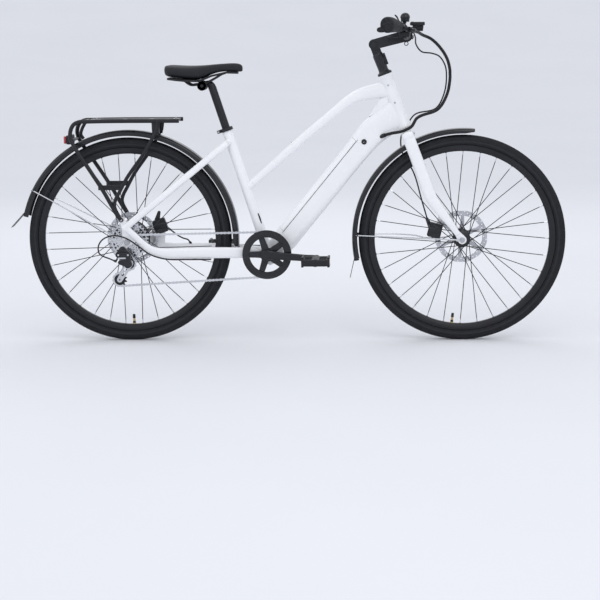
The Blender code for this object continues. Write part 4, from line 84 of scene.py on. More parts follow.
def steer(along_it, ahead=0.0, left=0.0):
    """Place by the steering axis: up along it, ahead of it and to the left."""
    return STEER_FOOT + STEER_UP * along_it + STEER_AHEAD * ahead + LEFT * left


def seat(along_it, ahead=0.0, left=0.0):
    """Place by the seat tube's axis: up along it, ahead of it and to the left."""
    return CRANK_AXLE + SEAT_UP * along_it + SEAT_AHEAD * ahead + LEFT * left


def rear(x, z, left=0.0):
    """Place measured from the rear axle."""
    return REAR_AXLE + Vector((x, left, z))


def front(x, z):
    """Place measured from the front axle."""
    return FRONT_AXLE + Vector((x, 0.0, z))


def between(start, end, share, rise=0.0, left=0.0):
    """Place at a share of the way between two, raised square to it and moved left."""
    way = (end - start).normalized()
    square = Vector((-way.z, 0.0, way.x)) * (-1 if way.x < 0 else 1)
    return start + (end - start) * share + square * rise + LEFT * left


def framed(x_way, y_way, z_way, centre):
    """Matrix with its own axes along the three ways and its origin at centre."""
    return Matrix.Translation(centre) @ Matrix((x_way, y_way, z_way)).transposed().to_4x4()


# Camera at the photograph's place
CAMERA_AT = (0.912 - MIDDLE, -5.5, 1.08)
FOCAL_LENGTH = 97.14
YAW = math.radians(3.42)
PITCH = math.radians(9.71)
ROLL = math.radians(-0.72)
level = Vector((-math.sin(YAW), math.cos(YAW), 0.0))
right = Vector((math.cos(YAW), math.sin(YAW), 0.0))
sight = level * math.cos(PITCH) - UP * math.sin(PITCH)
crown_way = UP * math.cos(PITCH) + level * math.sin(PITCH)
camera_right = right * math.cos(ROLL) + crown_way * math.sin(ROLL)
camera_up = crown_way * math.cos(ROLL) - right * math.sin(ROLL)
lens = bpy.data.cameras.new("photo_camera")
lens.lens = FOCAL_LENGTH
lens.sensor_width = 36.0
lens.clip_end = 200.0
camera = bpy.data.objects.new("photo_camera", lens)
bpy.context.scene.collection.objects.link(camera)
camera.matrix_world = framed(camera_right, camera_up, -sight, CAMERA_AT)
bpy.context.scene.camera = camera
bpy.context.scene.view_settings.view_transform = "Standard"


# Finishes
class Term:
    """A value in a formula. Its operators add Math nodes."""

    def __init__(self, recipe, socket):
        self.recipe = recipe
        self.socket = socket

    def __add__(self, other):
        return self.recipe.sum("ADD", self, other)

    def __sub__(self, other):
        return self.recipe.sum("SUBTRACT", self, other)

    def __mul__(self, other):
        return self.recipe.sum("MULTIPLY", self, other)

    def __truediv__(self, other):
        return self.recipe.sum("DIVIDE", self, other)

    def __rsub__(self, other):
        return self.recipe.sum("SUBTRACT", other, self)

    __radd__ = __add__
    __rmul__ = __mul__


class Finish:
    """One procedural material."""

    def __init__(self, name, colour, roughness, metallic=0.0, **fixed):
        self.material = bpy.data.materials.new(name)
        self.material.use_nodes = True
        self.tree = self.material.node_tree
        self.shader = self.tree.nodes["Principled BSDF"]
        self.shader.inputs["Base Color"].default_value = (*colour, 1.0)
        self.shader.inputs["Roughness"].default_value = roughness
        self.shader.inputs["Metallic"].default_value = metallic
        for socket, value in fixed.items():
            label = socket.replace("_", " ").title().replace("Ior", "IOR")
            self.shader.inputs[label].default_value = value
        self.material.diffuse_color = (*colour, 1.0)
        self.place = self.add("ShaderNodeTexCoord").outputs["Object"]

    def add(self, kind, settings=(), **sockets):
        """Node of that kind, its settings first and then its sockets."""
        node = self.tree.nodes.new(kind)
        for key, value in dict(settings).items():
            setattr(node, key, value)
        for key, value in sockets.items():
            key = int(key[1:]) if key[0] == "_" else key.replace("_", " ")
            if isinstance(value, Term):
                value = value.socket
            if isinstance(value, bpy.types.NodeSocket):
                self.tree.links.new(value, node.inputs[key])
            else:
                node.inputs[key].default_value = value
        return node

    def sum(self, operation, a, b=0.0):
        """Math node of that operation."""
        node = self.add("ShaderNodeMath", {"operation": operation}, _0=a, _1=b)
        return Term(self, node.outputs[0])

    def parts_of(self, vector):
        """The x, y and z of a vector."""
        node = self.add("ShaderNodeSeparateXYZ", Vector=vector)
        return [Term(self, socket) for socket in node.outputs]

    def joined(self, x, y, z):
        """Vector of three values."""
        return self.add("ShaderNodeCombineXYZ", X=x, Y=y, Z=z).outputs[0]

    def centred(self, centre):
        """Object coordinates measured from a point on the bicycle."""
        return self.add("ShaderNodeMapping", {"vector_type": "TEXTURE"}, Vector=self.place,
            Location=centre - AHEAD * MIDDLE).outputs[0]

    def noise(self, scale, detail=3.0, vector=None):
        """Soft cloud pattern."""
        node = self.add("ShaderNodeTexNoise", Vector=vector or self.place, Scale=scale,
            Detail=detail)
        return Term(self, node.outputs[0])

    def cells(self, scale):
        """Distance to the middle of small cells, as in leather."""
        node = self.add("ShaderNodeTexVoronoi", Vector=self.place, Scale=scale)
        return Term(self, node.outputs["Distance"])

    def ramp(self, factor, low, high):
        """Factor stretched so that low gives 0 and high gives 1."""
        node = self.add("ShaderNodeMapRange", {"clamp": True}, Value=factor, From_Min=low,
            From_Max=high)
        return Term(self, node.outputs[0])

    def tint(self, factor, low, high):
        """Colour that goes from low to high with the factor."""
        node = self.add("ShaderNodeMix", {"data_type": "RGBA"}, _0=factor)
        for socket, colour in ((node.inputs[6], low), (node.inputs[7], high)):
            if isinstance(colour, bpy.types.NodeSocket):
                self.tree.links.new(colour, socket)
            else:
                socket.default_value = (*colour, 1.0)
        return node.outputs[2]

    def feed(self, socket, value):
        """Link from a value or a colour to one of the shader's sockets."""
        self.tree.links.new(value.socket if isinstance(value, Term) else value,
            self.shader.inputs[socket])

    def relief(self, height, depth):
        """Fine bump from a height pattern."""
        node = self.add("ShaderNodeBump", Height=height, Distance=depth, Strength=1.0)
        self.tree.links.new(node.outputs[0], self.shader.inputs["Normal"])


def coated(name, colour, shade, roughness, spread, grain, depth, metallic=0.0, **fixed):
    """Painted or moulded surface: soft colour drift, uneven gloss and a fine grain."""
    made = Finish(name, colour, roughness, metallic, **fixed)
    drift = made.noise(9.0, 4.0)
    fine = made.noise(grain, 2.0)
    made.feed("Base Color", made.tint(made.ramp(drift, 0.35, 0.65), colour, shade))
    made.feed("Roughness", roughness - spread / 2 + made.noise(38.0, 5.0) * spread)
    made.relief(fine, depth)
    return made.material


enamel = coated("white_enamel", (0.9, 0.905, 0.92), (0.87, 0.875, 0.895), 0.26, 0.1, 620.0, 5e-5,
    coat_weight=0.35, coat_roughness=0.08)
satin = coated("satin_black", (0.008, 0.0085, 0.011), (0.013, 0.014, 0.018), 0.36, 0.16, 900.0,
    5e-5, specular_ior_level=0.34)
forged = coated("forged_black", (0.009, 0.0095, 0.012), (0.015, 0.016, 0.021), 0.3, 0.14, 700.0,
    6e-5, coat_weight=0.12, coat_roughness=0.15, specular_ior_level=0.36)
moulded = coated("moulded_plastic", (0.01, 0.0105, 0.0125), (0.016, 0.017, 0.02), 0.48, 0.14,
    1500.0, 0.00012, specular_ior_level=0.34)
gloss = coated("gloss_plastic", (0.008, 0.0085, 0.011), (0.012, 0.013, 0.016), 0.26, 0.12, 420.0,
    4e-5, coat_weight=0.15, coat_roughness=0.12, specular_ior_level=0.36)
sheath = coated("cable_sheath", (0.008, 0.008, 0.01), (0.013, 0.013, 0.016), 0.42, 0.15, 1300.0,
    6e-5, specular_ior_level=0.32)
silver = coated("bright_silver", (0.7, 0.71, 0.73), (0.58, 0.59, 0.62), 0.24, 0.16, 800.0, 4e-5,
    metallic=1.0)
steel = coated("plated_steel", (0.56, 0.57, 0.6), (0.44, 0.45, 0.48), 0.3, 0.2, 800.0, 5e-5,
    metallic=1.0)
brass = coated("valve_brass", (0.62, 0.46, 0.22), (0.52, 0.38, 0.18), 0.32, 0.16, 900.0, 4e-5,
    metallic=0.85)
spoke_black = coated("spoke_black", (0.012, 0.012, 0.014), (0.02, 0.02, 0.024), 0.34, 0.12, 1200.0,
    3e-5, specular_ior_level=0.3)


def tyre_rubber(name, centre):
    """Rubber with slanted tread sipes, two centre grooves and a ribbed side wall."""
    made = Finish(name, (0.012, 0.0125, 0.015), 0.72, specular_ior_level=0.25)
    x, y, z = made.parts_of(made.centred(centre))
    radius = made.sum("SQRT", x * x + z * z)
    angle = made.sum("ARCTAN2", z, x)
    off = made.sum("ABSOLUTE", y)
    sipes = made.ramp(made.sum("SINE", angle * 150.0 + off * 700.0), 0.55, 0.85)
    centre_line = made.ramp(made.sum("ABSOLUTE", off - 0.0042), 0.0009, 0.0004)
    edge_line = made.ramp(made.sum("ABSOLUTE", off - 0.0115), 0.0009, 0.0004)
    tread = made.ramp(off, 0.0165, 0.014)
    outer = made.ramp(off, 0.0048, 0.0056)
    relief_and_shade = made.sum("MAXIMUM", sipes * outer, made.sum("MAXIMUM", centre_line, edge_line)) * tread
    ribs = made.ramp(made.sum("SINE", radius * 4200.0), 0.2, 0.8) * (1.0 - tread)
    # A raised bead on the side wall at the rim line; its lighter colour is a painted highlight.
    band = made.ramp(made.sum("ABSOLUTE", radius - 0.3285), 0.0035, 0.0022)
    dust = made.noise(60.0, 6.0)
    flat = made.tint(made.ramp(dust, 0.4, 0.7), (0.01, 0.0105, 0.013), (0.017, 0.018, 0.022))
    highlight_lined = made.tint(band * 0.5, flat, (0.032, 0.033, 0.038))
    # Painted shade: the tread grooves and sipes are darkened in colour as well as sunk by the bump.
    made.feed("Base Color", made.tint(relief_and_shade * 0.8, highlight_lined, (0.004, 0.004, 0.005)))
    made.feed("Roughness", 0.55 + dust * 0.25)
    made.relief(made.noise(900.0) * 0.1 + ribs * 0.12 + band * 0.25 - relief_and_shade, 0.0011)
    return made.material


def brushed_disc(name, centre):
    """Ground steel with fine rings about the axle."""
    made = Finish(name, (0.6, 0.61, 0.64), 0.3, 1.0)
    x, y, z = made.parts_of(made.centred(centre))
    radius = made.sum("SQRT", x * x + z * z)
    rings = made.noise(1.0, 4.0, made.joined(radius * 2600.0, y * 30.0, 0.0))
    swept = made.ramp(made.sum("ABSOLUTE", radius - 0.0815), 0.009, 0.007)
    made.feed("Base Color", made.tint(rings, (0.44, 0.45, 0.48), (0.68, 0.69, 0.72)))
    made.feed("Roughness", 0.36 - swept * 0.12 + rings * 0.12)
    made.relief(rings, 5e-5)
    return made.material


def grip_rubber(name, centre):
    """Soft rubber with a diamond texture."""
    made = Finish(name, (0.012, 0.0125, 0.015), 0.62, specular_ior_level=0.3)
    x, y, z = made.parts_of(made.centred(centre))
    turn = made.sum("ARCTAN2", z, x)
    one = made.sum("SINE", y * 900.0 + turn * 16.0)
    two = made.sum("SINE", y * 900.0 - turn * 16.0)
    stud_relief_and_shade = made.sum("MAXIMUM", one, two)
    drift = made.noise(40.0, 4.0)
    # Painted shade: the valleys between the diamond studs are darker in colour and the stud tops
    # lighter.
    made.feed("Base Color", made.tint(made.ramp(stud_relief_and_shade, 0.2, 1.0), (0.008, 0.0085, 0.01),
        (0.016, 0.017, 0.021)))
    made.feed("Roughness", 0.52 + drift * 0.18)
    made.relief(stud_relief_and_shade, 0.0005)
    return made.material


def saddle_vinyl():
    """Fine leather grain, worn a little smoother on the crown."""
    made = Finish("saddle_vinyl", (0.01, 0.0105, 0.013), 0.55, specular_ior_level=0.34)
    grain = made.cells(560.0)
    folds = made.noise(240.0, 5.0)
    height = made.parts_of(made.place)[2]
    crown = made.ramp(height, 0.944, 0.962)
    made.feed("Base Color", made.tint(made.ramp(grain, 0.1, 0.6), (0.008, 0.0085, 0.0105),
        (0.015, 0.016, 0.02)))
    made.feed("Roughness", 0.58 - crown * 0.1 + folds * 0.12)
    made.relief(grain * 0.7 + folds * 0.6, 0.00028)
    return made.material


def prism_lens(name, colour, deep, bright, waves, start, roughness, speckle, depth, **coat):
    """Clear tinted cover with a prism pattern behind it."""
    made = Finish(name, colour, roughness + 0.04, **coat)
    across, height = made.parts_of(made.place)[1:]
    facets = made.sum("SINE", across * waves) * made.sum("SINE", height * waves)
    made.feed("Base Color", made.tint(made.ramp(facets, start, 0.8), deep, bright))
    made.feed("Roughness", roughness + made.noise(speckle) * 0.1)
    made.relief(facets, depth)
    return made.material


def screen_glass():
    """Dark display window with a faint smear."""
    made = Finish("screen_glass", (0.016, 0.02, 0.026), 0.08, coat_weight=1.0, coat_roughness=0.03)
    smear = made.noise(22.0, 5.0)
    made.feed("Base Color", made.tint(smear, (0.012, 0.015, 0.02), (0.024, 0.03, 0.038)))
    made.feed("Roughness", 0.05 + smear * 0.1)
    made.relief(made.noise(300.0), 1e-5)
    return made.material


# Shapes
def eased(rows, per=6):
    """Rows of numbers read from a smooth curve through the given ones."""
    rows = np.array([list(row) for row in rows], float)
    gaps = np.maximum(np.linalg.norm(np.diff(rows[:, :3], axis=0), axis=1), 1e-6)
    slope = np.diff(rows, axis=0) / gaps[:, None]
    lean = np.vstack([slope[:1], (slope[1:] + slope[:-1]) / 2, slope[-1:]])
    out = []
    for i, gap in enumerate(gaps):
        for k in range(per):
            t = k / per
            out.append((2 * t ** 3 - 3 * t ** 2 + 1) * rows[i]
                + (t ** 3 - 2 * t ** 2 + t) * gap * lean[i]
                + (3 * t ** 2 - 2 * t ** 3) * rows[i + 1]
                + (t ** 3 - t ** 2) * gap * lean[i + 1])
    return [tuple(row) for row in out] + [tuple(rows[-1])]


def to_shape(source):
    """Bmesh of an object's finished mesh, in its place; the object is removed."""
    bpy.context.view_layer.update()
    graph = bpy.context.evaluated_depsgraph_get()
    mesh = bpy.data.meshes.new_from_object(source.evaluated_get(graph))
    mesh.transform(source.matrix_world)
    bm = bmesh.new()
    bm.from_mesh(mesh)
    bpy.data.meshes.remove(mesh)
    bpy.data.objects.remove(source, do_unlink=True)
    bmesh.ops.remove_doubles(bm, verts=bm.verts, dist=1e-6)
    return bm


def together(*shapes):
    """Several shapes as one."""
    bm = bmesh.new()
    for shape in shapes:
        part = bpy.data.meshes.new("part")
        shape.to_mesh(part)
        bm.from_mesh(part)
        bpy.data.meshes.remove(part)
        shape.free()
    return bm


def other_side(shape):
    """The shape turned into its mirror image across the bicycle."""
    bmesh.ops.transform(shape, matrix=Matrix.Scale(-1.0, 4, LEFT), verts=shape.verts)
    bmesh.ops.reverse_faces(shape, faces=shape.faces)
    return shape


def twin(shape):
    """The shape and its mirror image together."""
    return together(shape, other_side(shape.copy()))


def facing(angle):
    """Unit vector in side view, its angle measured up from straight ahead."""
    return Vector((math.cos(angle), 0.0, math.sin(angle)))


def around(count, offset=0.0):
    """Angles of equal steps round a circle, the first one offset steps along."""
    return [math.tau * (i + offset) / count for i in range(count)]


def polar(x, z, radius, angle):
    """Point of a side view outline at a radius and an angle from (x, z)."""
    return x + radius * math.cos(angle), z + radius * math.sin(angle)


def aimed(centre, way):
    """Matrix that stands a shape's own Z along way at centre."""
    turn = UP.rotation_difference(Vector(way).normalized())
    return Matrix.Translation(centre) @ turn.to_matrix().to_4x4()


def spun(profile, centre, steps=48, way=LEFT, ring=True):
    """Profile of (radius, height) turned about a line through centre."""
    bm = bmesh.new()
    verts = [bm.verts.new((radius, 0.0, height)) for radius, height in profile]
    pairs = list(zip(verts, verts[1:])) + ([(verts[-1], verts[0])] if ring else [])
    edges = [bm.edges.new(pair) for pair in pairs]
    bmesh.ops.spin(bm, geom=verts + edges, cent=(0.0, 0.0, 0.0), axis=(0.0, 0.0, 1.0),
        dvec=(0.0, 0.0, 0.0), angle=math.tau, steps=steps, use_merge=True, use_duplicate=False)
    bmesh.ops.remove_doubles(bm, verts=bm.verts, dist=1e-6)
    bmesh.ops.dissolve_degenerate(bm, dist=1e-7, edges=bm.edges)
    bmesh.ops.transform(bm, matrix=aimed(centre, way), verts=bm.verts)
    return bm


def bar(start, end, radius, sides=20, soften=0.0, end_radius=None):
    """Round bar, its end edges rounded if asked."""
    bm = bmesh.new()
    far_radius = radius if end_radius is None else end_radius
    bmesh.ops.create_cone(bm, cap_ends=True, segments=sides, radius1=radius, radius2=far_radius,
        depth=(end - start).length)
    if soften:
        rims = [edge for edge in bm.edges if abs(edge.verts[0].co.z - edge.verts[1].co.z) < 1e-6]
        bmesh.ops.bevel(bm, geom=rims, offset=soften, segments=3, affect="EDGES", profile=0.5,
            material=-1)
    bmesh.ops.transform(bm, matrix=aimed((start + end) / 2, end - start), verts=bm.verts)
    return bm


def cross_bar(centre, radius, low, high, sides=28, soften=0.0006):
    """Round bar across the bicycle, between two places from its middle."""
    foot = Vector((centre.x, 0.0, centre.z))
    return bar(foot + LEFT * min(low, high), foot + LEFT * max(low, high), radius, sides, soften)


def block(centre, size, soften=0.0015, segments=3, tilt=0.0):
    """Box with rounded edges, turned by tilt about the left axis."""
    bm = bmesh.new()
    bmesh.ops.create_cube(bm, size=1.0)
    bmesh.ops.scale(bm, vec=Vector(size), verts=bm.verts)
    bmesh.ops.bevel(bm, geom=bm.edges, offset=soften, segments=segments, affect="EDGES",
        profile=0.5, material=-1)
    move = Matrix.Translation(centre) @ Matrix.Rotation(tilt, 4, "Y")
    bmesh.ops.transform(bm, matrix=move, verts=bm.verts)
    return bm


def piped(points, radius, resolution=4, per=6, radii=None):
    """Round tube along a smooth route."""
    rows = [(*Vector(point), radii[i] if radii else 1.0) for i, point in enumerate(points)]
    rows = eased(rows, per) if per else rows
    curve = bpy.data.curves.new("route", "CURVE")
    curve.dimensions = "3D"
    curve.bevel_depth = radius
    curve.bevel_resolution = resolution
    curve.use_fill_caps = True
    spline = curve.splines.new("POLY")
    spline.points.add(len(rows) - 1)
    for point, row in zip(spline.points, rows):
        point.co = (*row[:3], 1.0)
        point.radius = row[3]
    made = bpy.data.objects.new("route", curve)
    bpy.context.scene.collection.objects.link(made)
    return to_shape(made)


def circle(x, z, radius, count=48):
    """Round outline."""
    return [polar(x, z, radius, angle) for angle in around(count)]


def belt(*circles, count=40):
    """Outline of the tight band round some circles (x, z, radius)."""
    cloud = sorted({(round(a, 7), round(b, 7)) for x, z, radius in circles
        for a, b in circle(x, z, radius, count)})

    def half(points):
        """Outer points on one side, from left to right."""
        out = []
        for p in points:
            while len(out) > 1 and ((out[-1][0] - out[-2][0]) * (p[1] - out[-2][1])
                    - (out[-1][1] - out[-2][1]) * (p[0] - out[-2][0])) <= 1e-12:
                out.pop()
            out.append(p)
        return out[:-1]

    return half(cloud) + half(cloud[::-1])


def sheet_metal(outlines, low, high, soften=0.0003, stand=None):
    """Flat outlines in side view, thick from y low to y high, with softened edges."""
    curve = bpy.data.curves.new("sheet_metal", "CURVE")
    curve.dimensions = "2D"
    curve.fill_mode = "BOTH"
    curve.extrude = (high - low) / 2 - soften
    curve.bevel_depth = soften
    curve.bevel_resolution = 1
    curve.offset = -soften
    for outline in outlines:
        spline = curve.splines.new("POLY")
        spline.points.add(len(outline) - 1)
        for point, (x, z) in zip(spline.points, outline):
            point.co = (x, z, 0.0, 1.0)
        spline.use_cyclic_u = True
    made = bpy.data.objects.new("sheet_metal", curve)
    bpy.context.scene.collection.objects.link(made)
    middle = (low + high) / 2
    upright = Matrix.Translation((0.0, middle, 0.0)) @ Matrix.Rotation(math.pi / 2, 4, "X")
    flat = Matrix.Translation((0.0, 0.0, middle))
    made.matrix_world = upright if stand is None else stand @ flat
    return to_shape(made)


def strap(low, high, *circles, soften=0.0004, holes=()):
    """Plate whose outline runs round some circles."""
    return sheet_metal([belt(*circles), *holes], low, high, soften)


def lofted(stations, count=28, power=2.4, per=5, side=LEFT):
    """Tube whose section changes: stations are (x, y, z, depth, width)."""
    rows = eased(stations, per) if per else stations
    bm = bmesh.new()
    last = set()
    for i, row in enumerate(rows):
        way = Vector(rows[min(i + 1, len(rows) - 1)][:3]) - Vector(rows[max(i - 1, 0)][:3])
        way.normalize()
        deep = way.cross(side).normalized()
        wide = deep.cross(way).normalized()
        ends = i in (0, len(rows) - 1)
        made = bmesh.ops.create_circle(bm, cap_ends=ends, segments=count, radius=1.0)["verts"]
        for vert in made:
            vert.co.x = math.copysign(abs(vert.co.x) ** (2 / power), vert.co.x) * row[3] / 2
            vert.co.y = math.copysign(abs(vert.co.y) ** (2 / power), vert.co.y) * row[4] / 2
        bmesh.ops.transform(bm, matrix=framed(deep, wide, way, row[:3]), verts=made)
        loop = {edge for vert in made for edge in vert.link_edges}
        if last:
            bmesh.ops.bridge_loops(bm, edges=list(last | loop))
        last = loop
    return bm


def piece(name, shape, body, finish, *nodes, angle=38.0):
    """Named piece, of one shape or a list, that rides on a body and stands for some nodes."""
    if isinstance(shape, list):
        shape = together(*shape)
    bmesh.ops.recalc_face_normals(shape, faces=shape.faces)
    bmesh.ops.translate(shape, verts=shape.verts, vec=-AHEAD * MIDDLE)
    mesh = bpy.data.meshes.new(name)
    shape.to_mesh(mesh)
    shape.free()
    made = bpy.data.objects.new(name, mesh)
    bpy.context.scene.collection.objects.link(made)
    mesh.materials.append(finish)
    mesh.shade_smooth()
    mesh.set_sharp_from_angle(angle=math.radians(angle))
    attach(made, body)
    if nodes:
        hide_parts(*nodes)
    return made


def refined(node, finish, soften=0.0005, angle=38.0, segments=2, without=None):
    """Finer copy of a node, with rounded edges and less the shape given as without."""
    source = frame["nodes"][node]
    bm = bmesh.new()
    bm.from_mesh(source.data)
    bmesh.ops.remove_doubles(bm, verts=bm.verts, dist=2e-6)
    bmesh.ops.dissolve_limit(bm, angle_limit=math.radians(0.8), use_dissolve_boundaries=False,
        verts=bm.verts, edges=bm.edges)
    bmesh.ops.translate(bm, verts=bm.verts, vec=AHEAD * MIDDLE)
    if without:
        bm = cut_by(bm, without)
    made = piece(node + "_finished", bm, source["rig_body"], finish, node, angle=angle)
    rounding = made.modifiers.new("rounding", "BEVEL")
    rounding.width = soften
    rounding.segments = segments
    rounding.limit_method = "ANGLE"
    rounding.angle_limit = math.radians(angle + 2.0)
    rounding.harden_normals = False
    return made


# Floor, backdrop and soft lamps
def studio():
    """Pale floor that curves up into its own backdrop, an even sky and three area lamps."""
    floor = Finish("studio_floor", (0.77, 0.775, 0.8), 0.9, specular_ior_level=0.1)
    drift = floor.noise(0.9, 3.0)
    floor.feed("Base Color", floor.tint(drift, (0.745, 0.755, 0.785), (0.79, 0.795, 0.82)))
    bm = bmesh.new()
    bmesh.ops.create_grid(bm, x_segments=96, y_segments=96, size=36.0)
    for vert in bm.verts:
        vert.co.z = max(0.0, vert.co.xy.length - 9.0) ** 2 / 90.0
    for face in bm.faces:
        face.smooth = True
    mesh = bpy.data.meshes.new("studio_floor")
    bm.to_mesh(mesh)
    bm.free()
    ground = bpy.data.objects.new("studio_floor", mesh)
    bpy.context.scene.collection.objects.link(ground)
    mesh.materials.append(floor.material)
    world = bpy.data.worlds.new("studio_air")
    world.use_nodes = True
    bpy.context.scene.world = world
    tree = world.node_tree
    tree.nodes.clear()
    seen = tree.nodes.new("ShaderNodeBackground")
    lit = tree.nodes.new("ShaderNodeBackground")
    seen.inputs["Color"].default_value = (0.77, 0.775, 0.815, 1.0)
    lit.inputs["Color"].default_value = (0.93, 0.95, 1.0, 1.0)
    lit.inputs["Strength"].default_value = 1.0
    rays = tree.nodes.new("ShaderNodeLightPath")
    either = tree.nodes.new("ShaderNodeMath")
    either.operation = "MAXIMUM"
    tree.links.new(rays.outputs["Is Camera Ray"], either.inputs[0])
    tree.links.new(rays.outputs["Is Transmission Ray"], either.inputs[1])
    mix = tree.nodes.new("ShaderNodeMixShader")
    tree.links.new(either.outputs[0], mix.inputs[0])
    tree.links.new(lit.outputs[0], mix.inputs[1])
    tree.links.new(seen.outputs[0], mix.inputs[2])
    out = tree.nodes.new("ShaderNodeOutputWorld")
    tree.links.new(mix.outputs[0], out.inputs["Surface"])
    for name, place, aim_height, size, power in (("key_lamp", (1.6, -3.2, 3.6), 0.5, 2.6, 30.0),
            ("fill_lamp", (-3.0, -2.4, 2.2), 0.5, 2.6, 10.0),
            ("back_lamp", (-0.4, 3.2, 3.0), 0.6, 2.8, 20.0)):
        lamp = bpy.data.lights.new(name, "AREA")
        lamp.size = size
        lamp.energy = power
        made = bpy.data.objects.new(name, lamp)
        bpy.context.scene.collection.objects.link(made)
        way = UP * aim_height - Vector(place)
        turn = way.to_track_quat("-Z", "Y").to_matrix().to_4x4()
        made.matrix_world = Matrix.Translation(place) @ turn


studio()

# Wheels
RIM_INNER = 0.296
SPOKES = 32
SOCKET_SIDE = 0.003
DISC_BOLT_RADIUS = 0.0175


def tyre(name, centre, body, node):
    """Rounded carcass with a shouldered tread."""
    side = [(0.351, 0.0), (0.3509, 0.0055), (0.3495, 0.0105), (0.3462, 0.0145), (0.34, 0.0178),
        (0.333, 0.0196), (0.326, 0.019), (0.32, 0.0162), (0.3178, 0.0128), (0.3172, 0.0098),
        (0.3118, 0.0097)]
    smooth = [row[:2] for row in eased([(r, y, 0.0) for r, y in side], 3)]
    profile = smooth + [(r, -y) for r, y in smooth[::-1][:-1]]
    piece(name, spun(profile, centre, 144), body, tyre_rubber(name + "_rubber", centre), node,
        angle=60.0)


def rim_and_valve(name, centre, valve_angle, body, node):
    """Deep black rim with a machined lip, spoke sockets and a valve."""
    half = 0.012
    side = [(0.3115, half - 0.0022), (0.3166, half - 0.002), (0.317, half - 0.001), (0.3166, half),
        (0.3105, half + 0.0001), (0.308, half - 0.0004), (0.303, 0.0098), (0.2985, 0.008),
        (RIM_INNER, 0.0056)]
    profile = side + [(r, -y) for r, y in side[::-1]]
    ring = spun(profile, centre, 128)
    sockets = []
    for k, angle in enumerate(around(SPOKES, 0.5)):
        way = facing(valve_angle + angle)
        at = centre + LEFT * (-SOCKET_SIDE if k % 2 else SOCKET_SIDE)
        sockets.append(bar(at + way * (RIM_INNER + 0.002), at + way * (RIM_INNER - 0.0012), 0.0036,
            12, end_radius=0.0028))
    piece(name, [ring, *sockets], body, satin, node)
    way = facing(valve_angle)
    tip = RIM_INNER - 0.034
    valve = [bar(centre + way * (RIM_INNER + 0.003), centre + way * (tip + 0.01), 0.004, 18),
        bar(centre + way * (RIM_INNER - 0.0002), centre + way * (RIM_INNER - 0.0036), 0.0064, 6,
        0.0004)]
    piece(name + "_valve", valve, body, brass)
    cap = [bar(centre + way * (tip + 0.014), centre + way * tip, 0.0052, 18, 0.0008, 0.0044),
        bar(centre + way * (RIM_INNER - 0.0036), centre + way * (RIM_INNER - 0.011), 0.0052, 18,
        0.0006, 0.0046)]
    piece(name + "_valve_cap", cap, body, moulded)


def laced_spokes(body, centre, flange_radius, left_y, right_y, turn, valve_angle):
    """Crossed spokes with bent heads at the flanges and nipples at the rim."""
    wires = []
    nipples = []
    for k, angle in enumerate(around(SPOKES, 0.5)):
        rim_angle = valve_angle + angle
        flange_y = right_y if k % 2 else left_y
        lead = 1 if k // 2 % 2 == 0 else -1
        foot = centre + facing(rim_angle + lead * turn) * (flange_radius - 0.004)
        foot += LEFT * (flange_y + lead * 0.0019)
        tip = centre + facing(rim_angle) * (RIM_INNER - 0.0002)
        tip += LEFT * math.copysign(SOCKET_SIDE, flange_y)
        way = (tip - foot).normalized()
        wires.append(bar(foot, tip, 0.00135, 8))
        wires.append(bar(foot - LEFT * (lead * 0.0042), foot + LEFT * (lead * 0.0012), 0.0018, 8,
            end_radius=0.0011))
        nipples.append(bar(tip - way * 0.013, tip, 0.0018, 8, end_radius=0.0021))
    piece(body + "_spokes", wires, body, spoke_black)
    piece(body + "_nipples", nipples, body, silver)


def vented_disc(name, centre, y, bore, body, node):
    """Brake disc: scalloped vented band on six swept arms, with its bolts."""
    cx, cz = centre.x, centre.z
    outlines = [[polar(cx, cz, 0.09 - 0.0007 * (1 + math.cos(12 * a)), a) for a in around(144)]]
    for middle in around(6):
        outlines.append([polar(cx, cz, radius, middle + lead) for radius, lead in ((0.0295, -0.3),
            (0.042, -0.42), (0.058, -0.5), (0.0715, -0.5), (0.0728, -0.2), (0.0728, 0.12),
            (0.0715, 0.38), (0.058, 0.34), (0.042, 0.28), (0.0295, 0.2))])
    for i, a in enumerate(around(48)):
        outlines.append(circle(*polar(cx, cz, (0.0765, 0.0815, 0.086)[i % 3], a), 0.0021, 10))
    outlines.append(circle(cx, cz, bore * 1.04, 36))
    spots = [polar(cx, cz, DISC_BOLT_RADIUS, a) for a in around(6, 0.5)]
    outlines += [circle(*spot, 0.0018, 10) for spot in spots]
    piece(name, sheet_metal(outlines, y - 0.0009, y + 0.0009, 0.0002), body,
        brushed_disc(name + "_steel", centre), node)
    piece(name + "_bolts", [bar(Vector((x, y + 0.0006, z)), Vector((x, y + 0.003, z)), 0.003, 16,
        0.0005) for x, z in spots], body, steel)


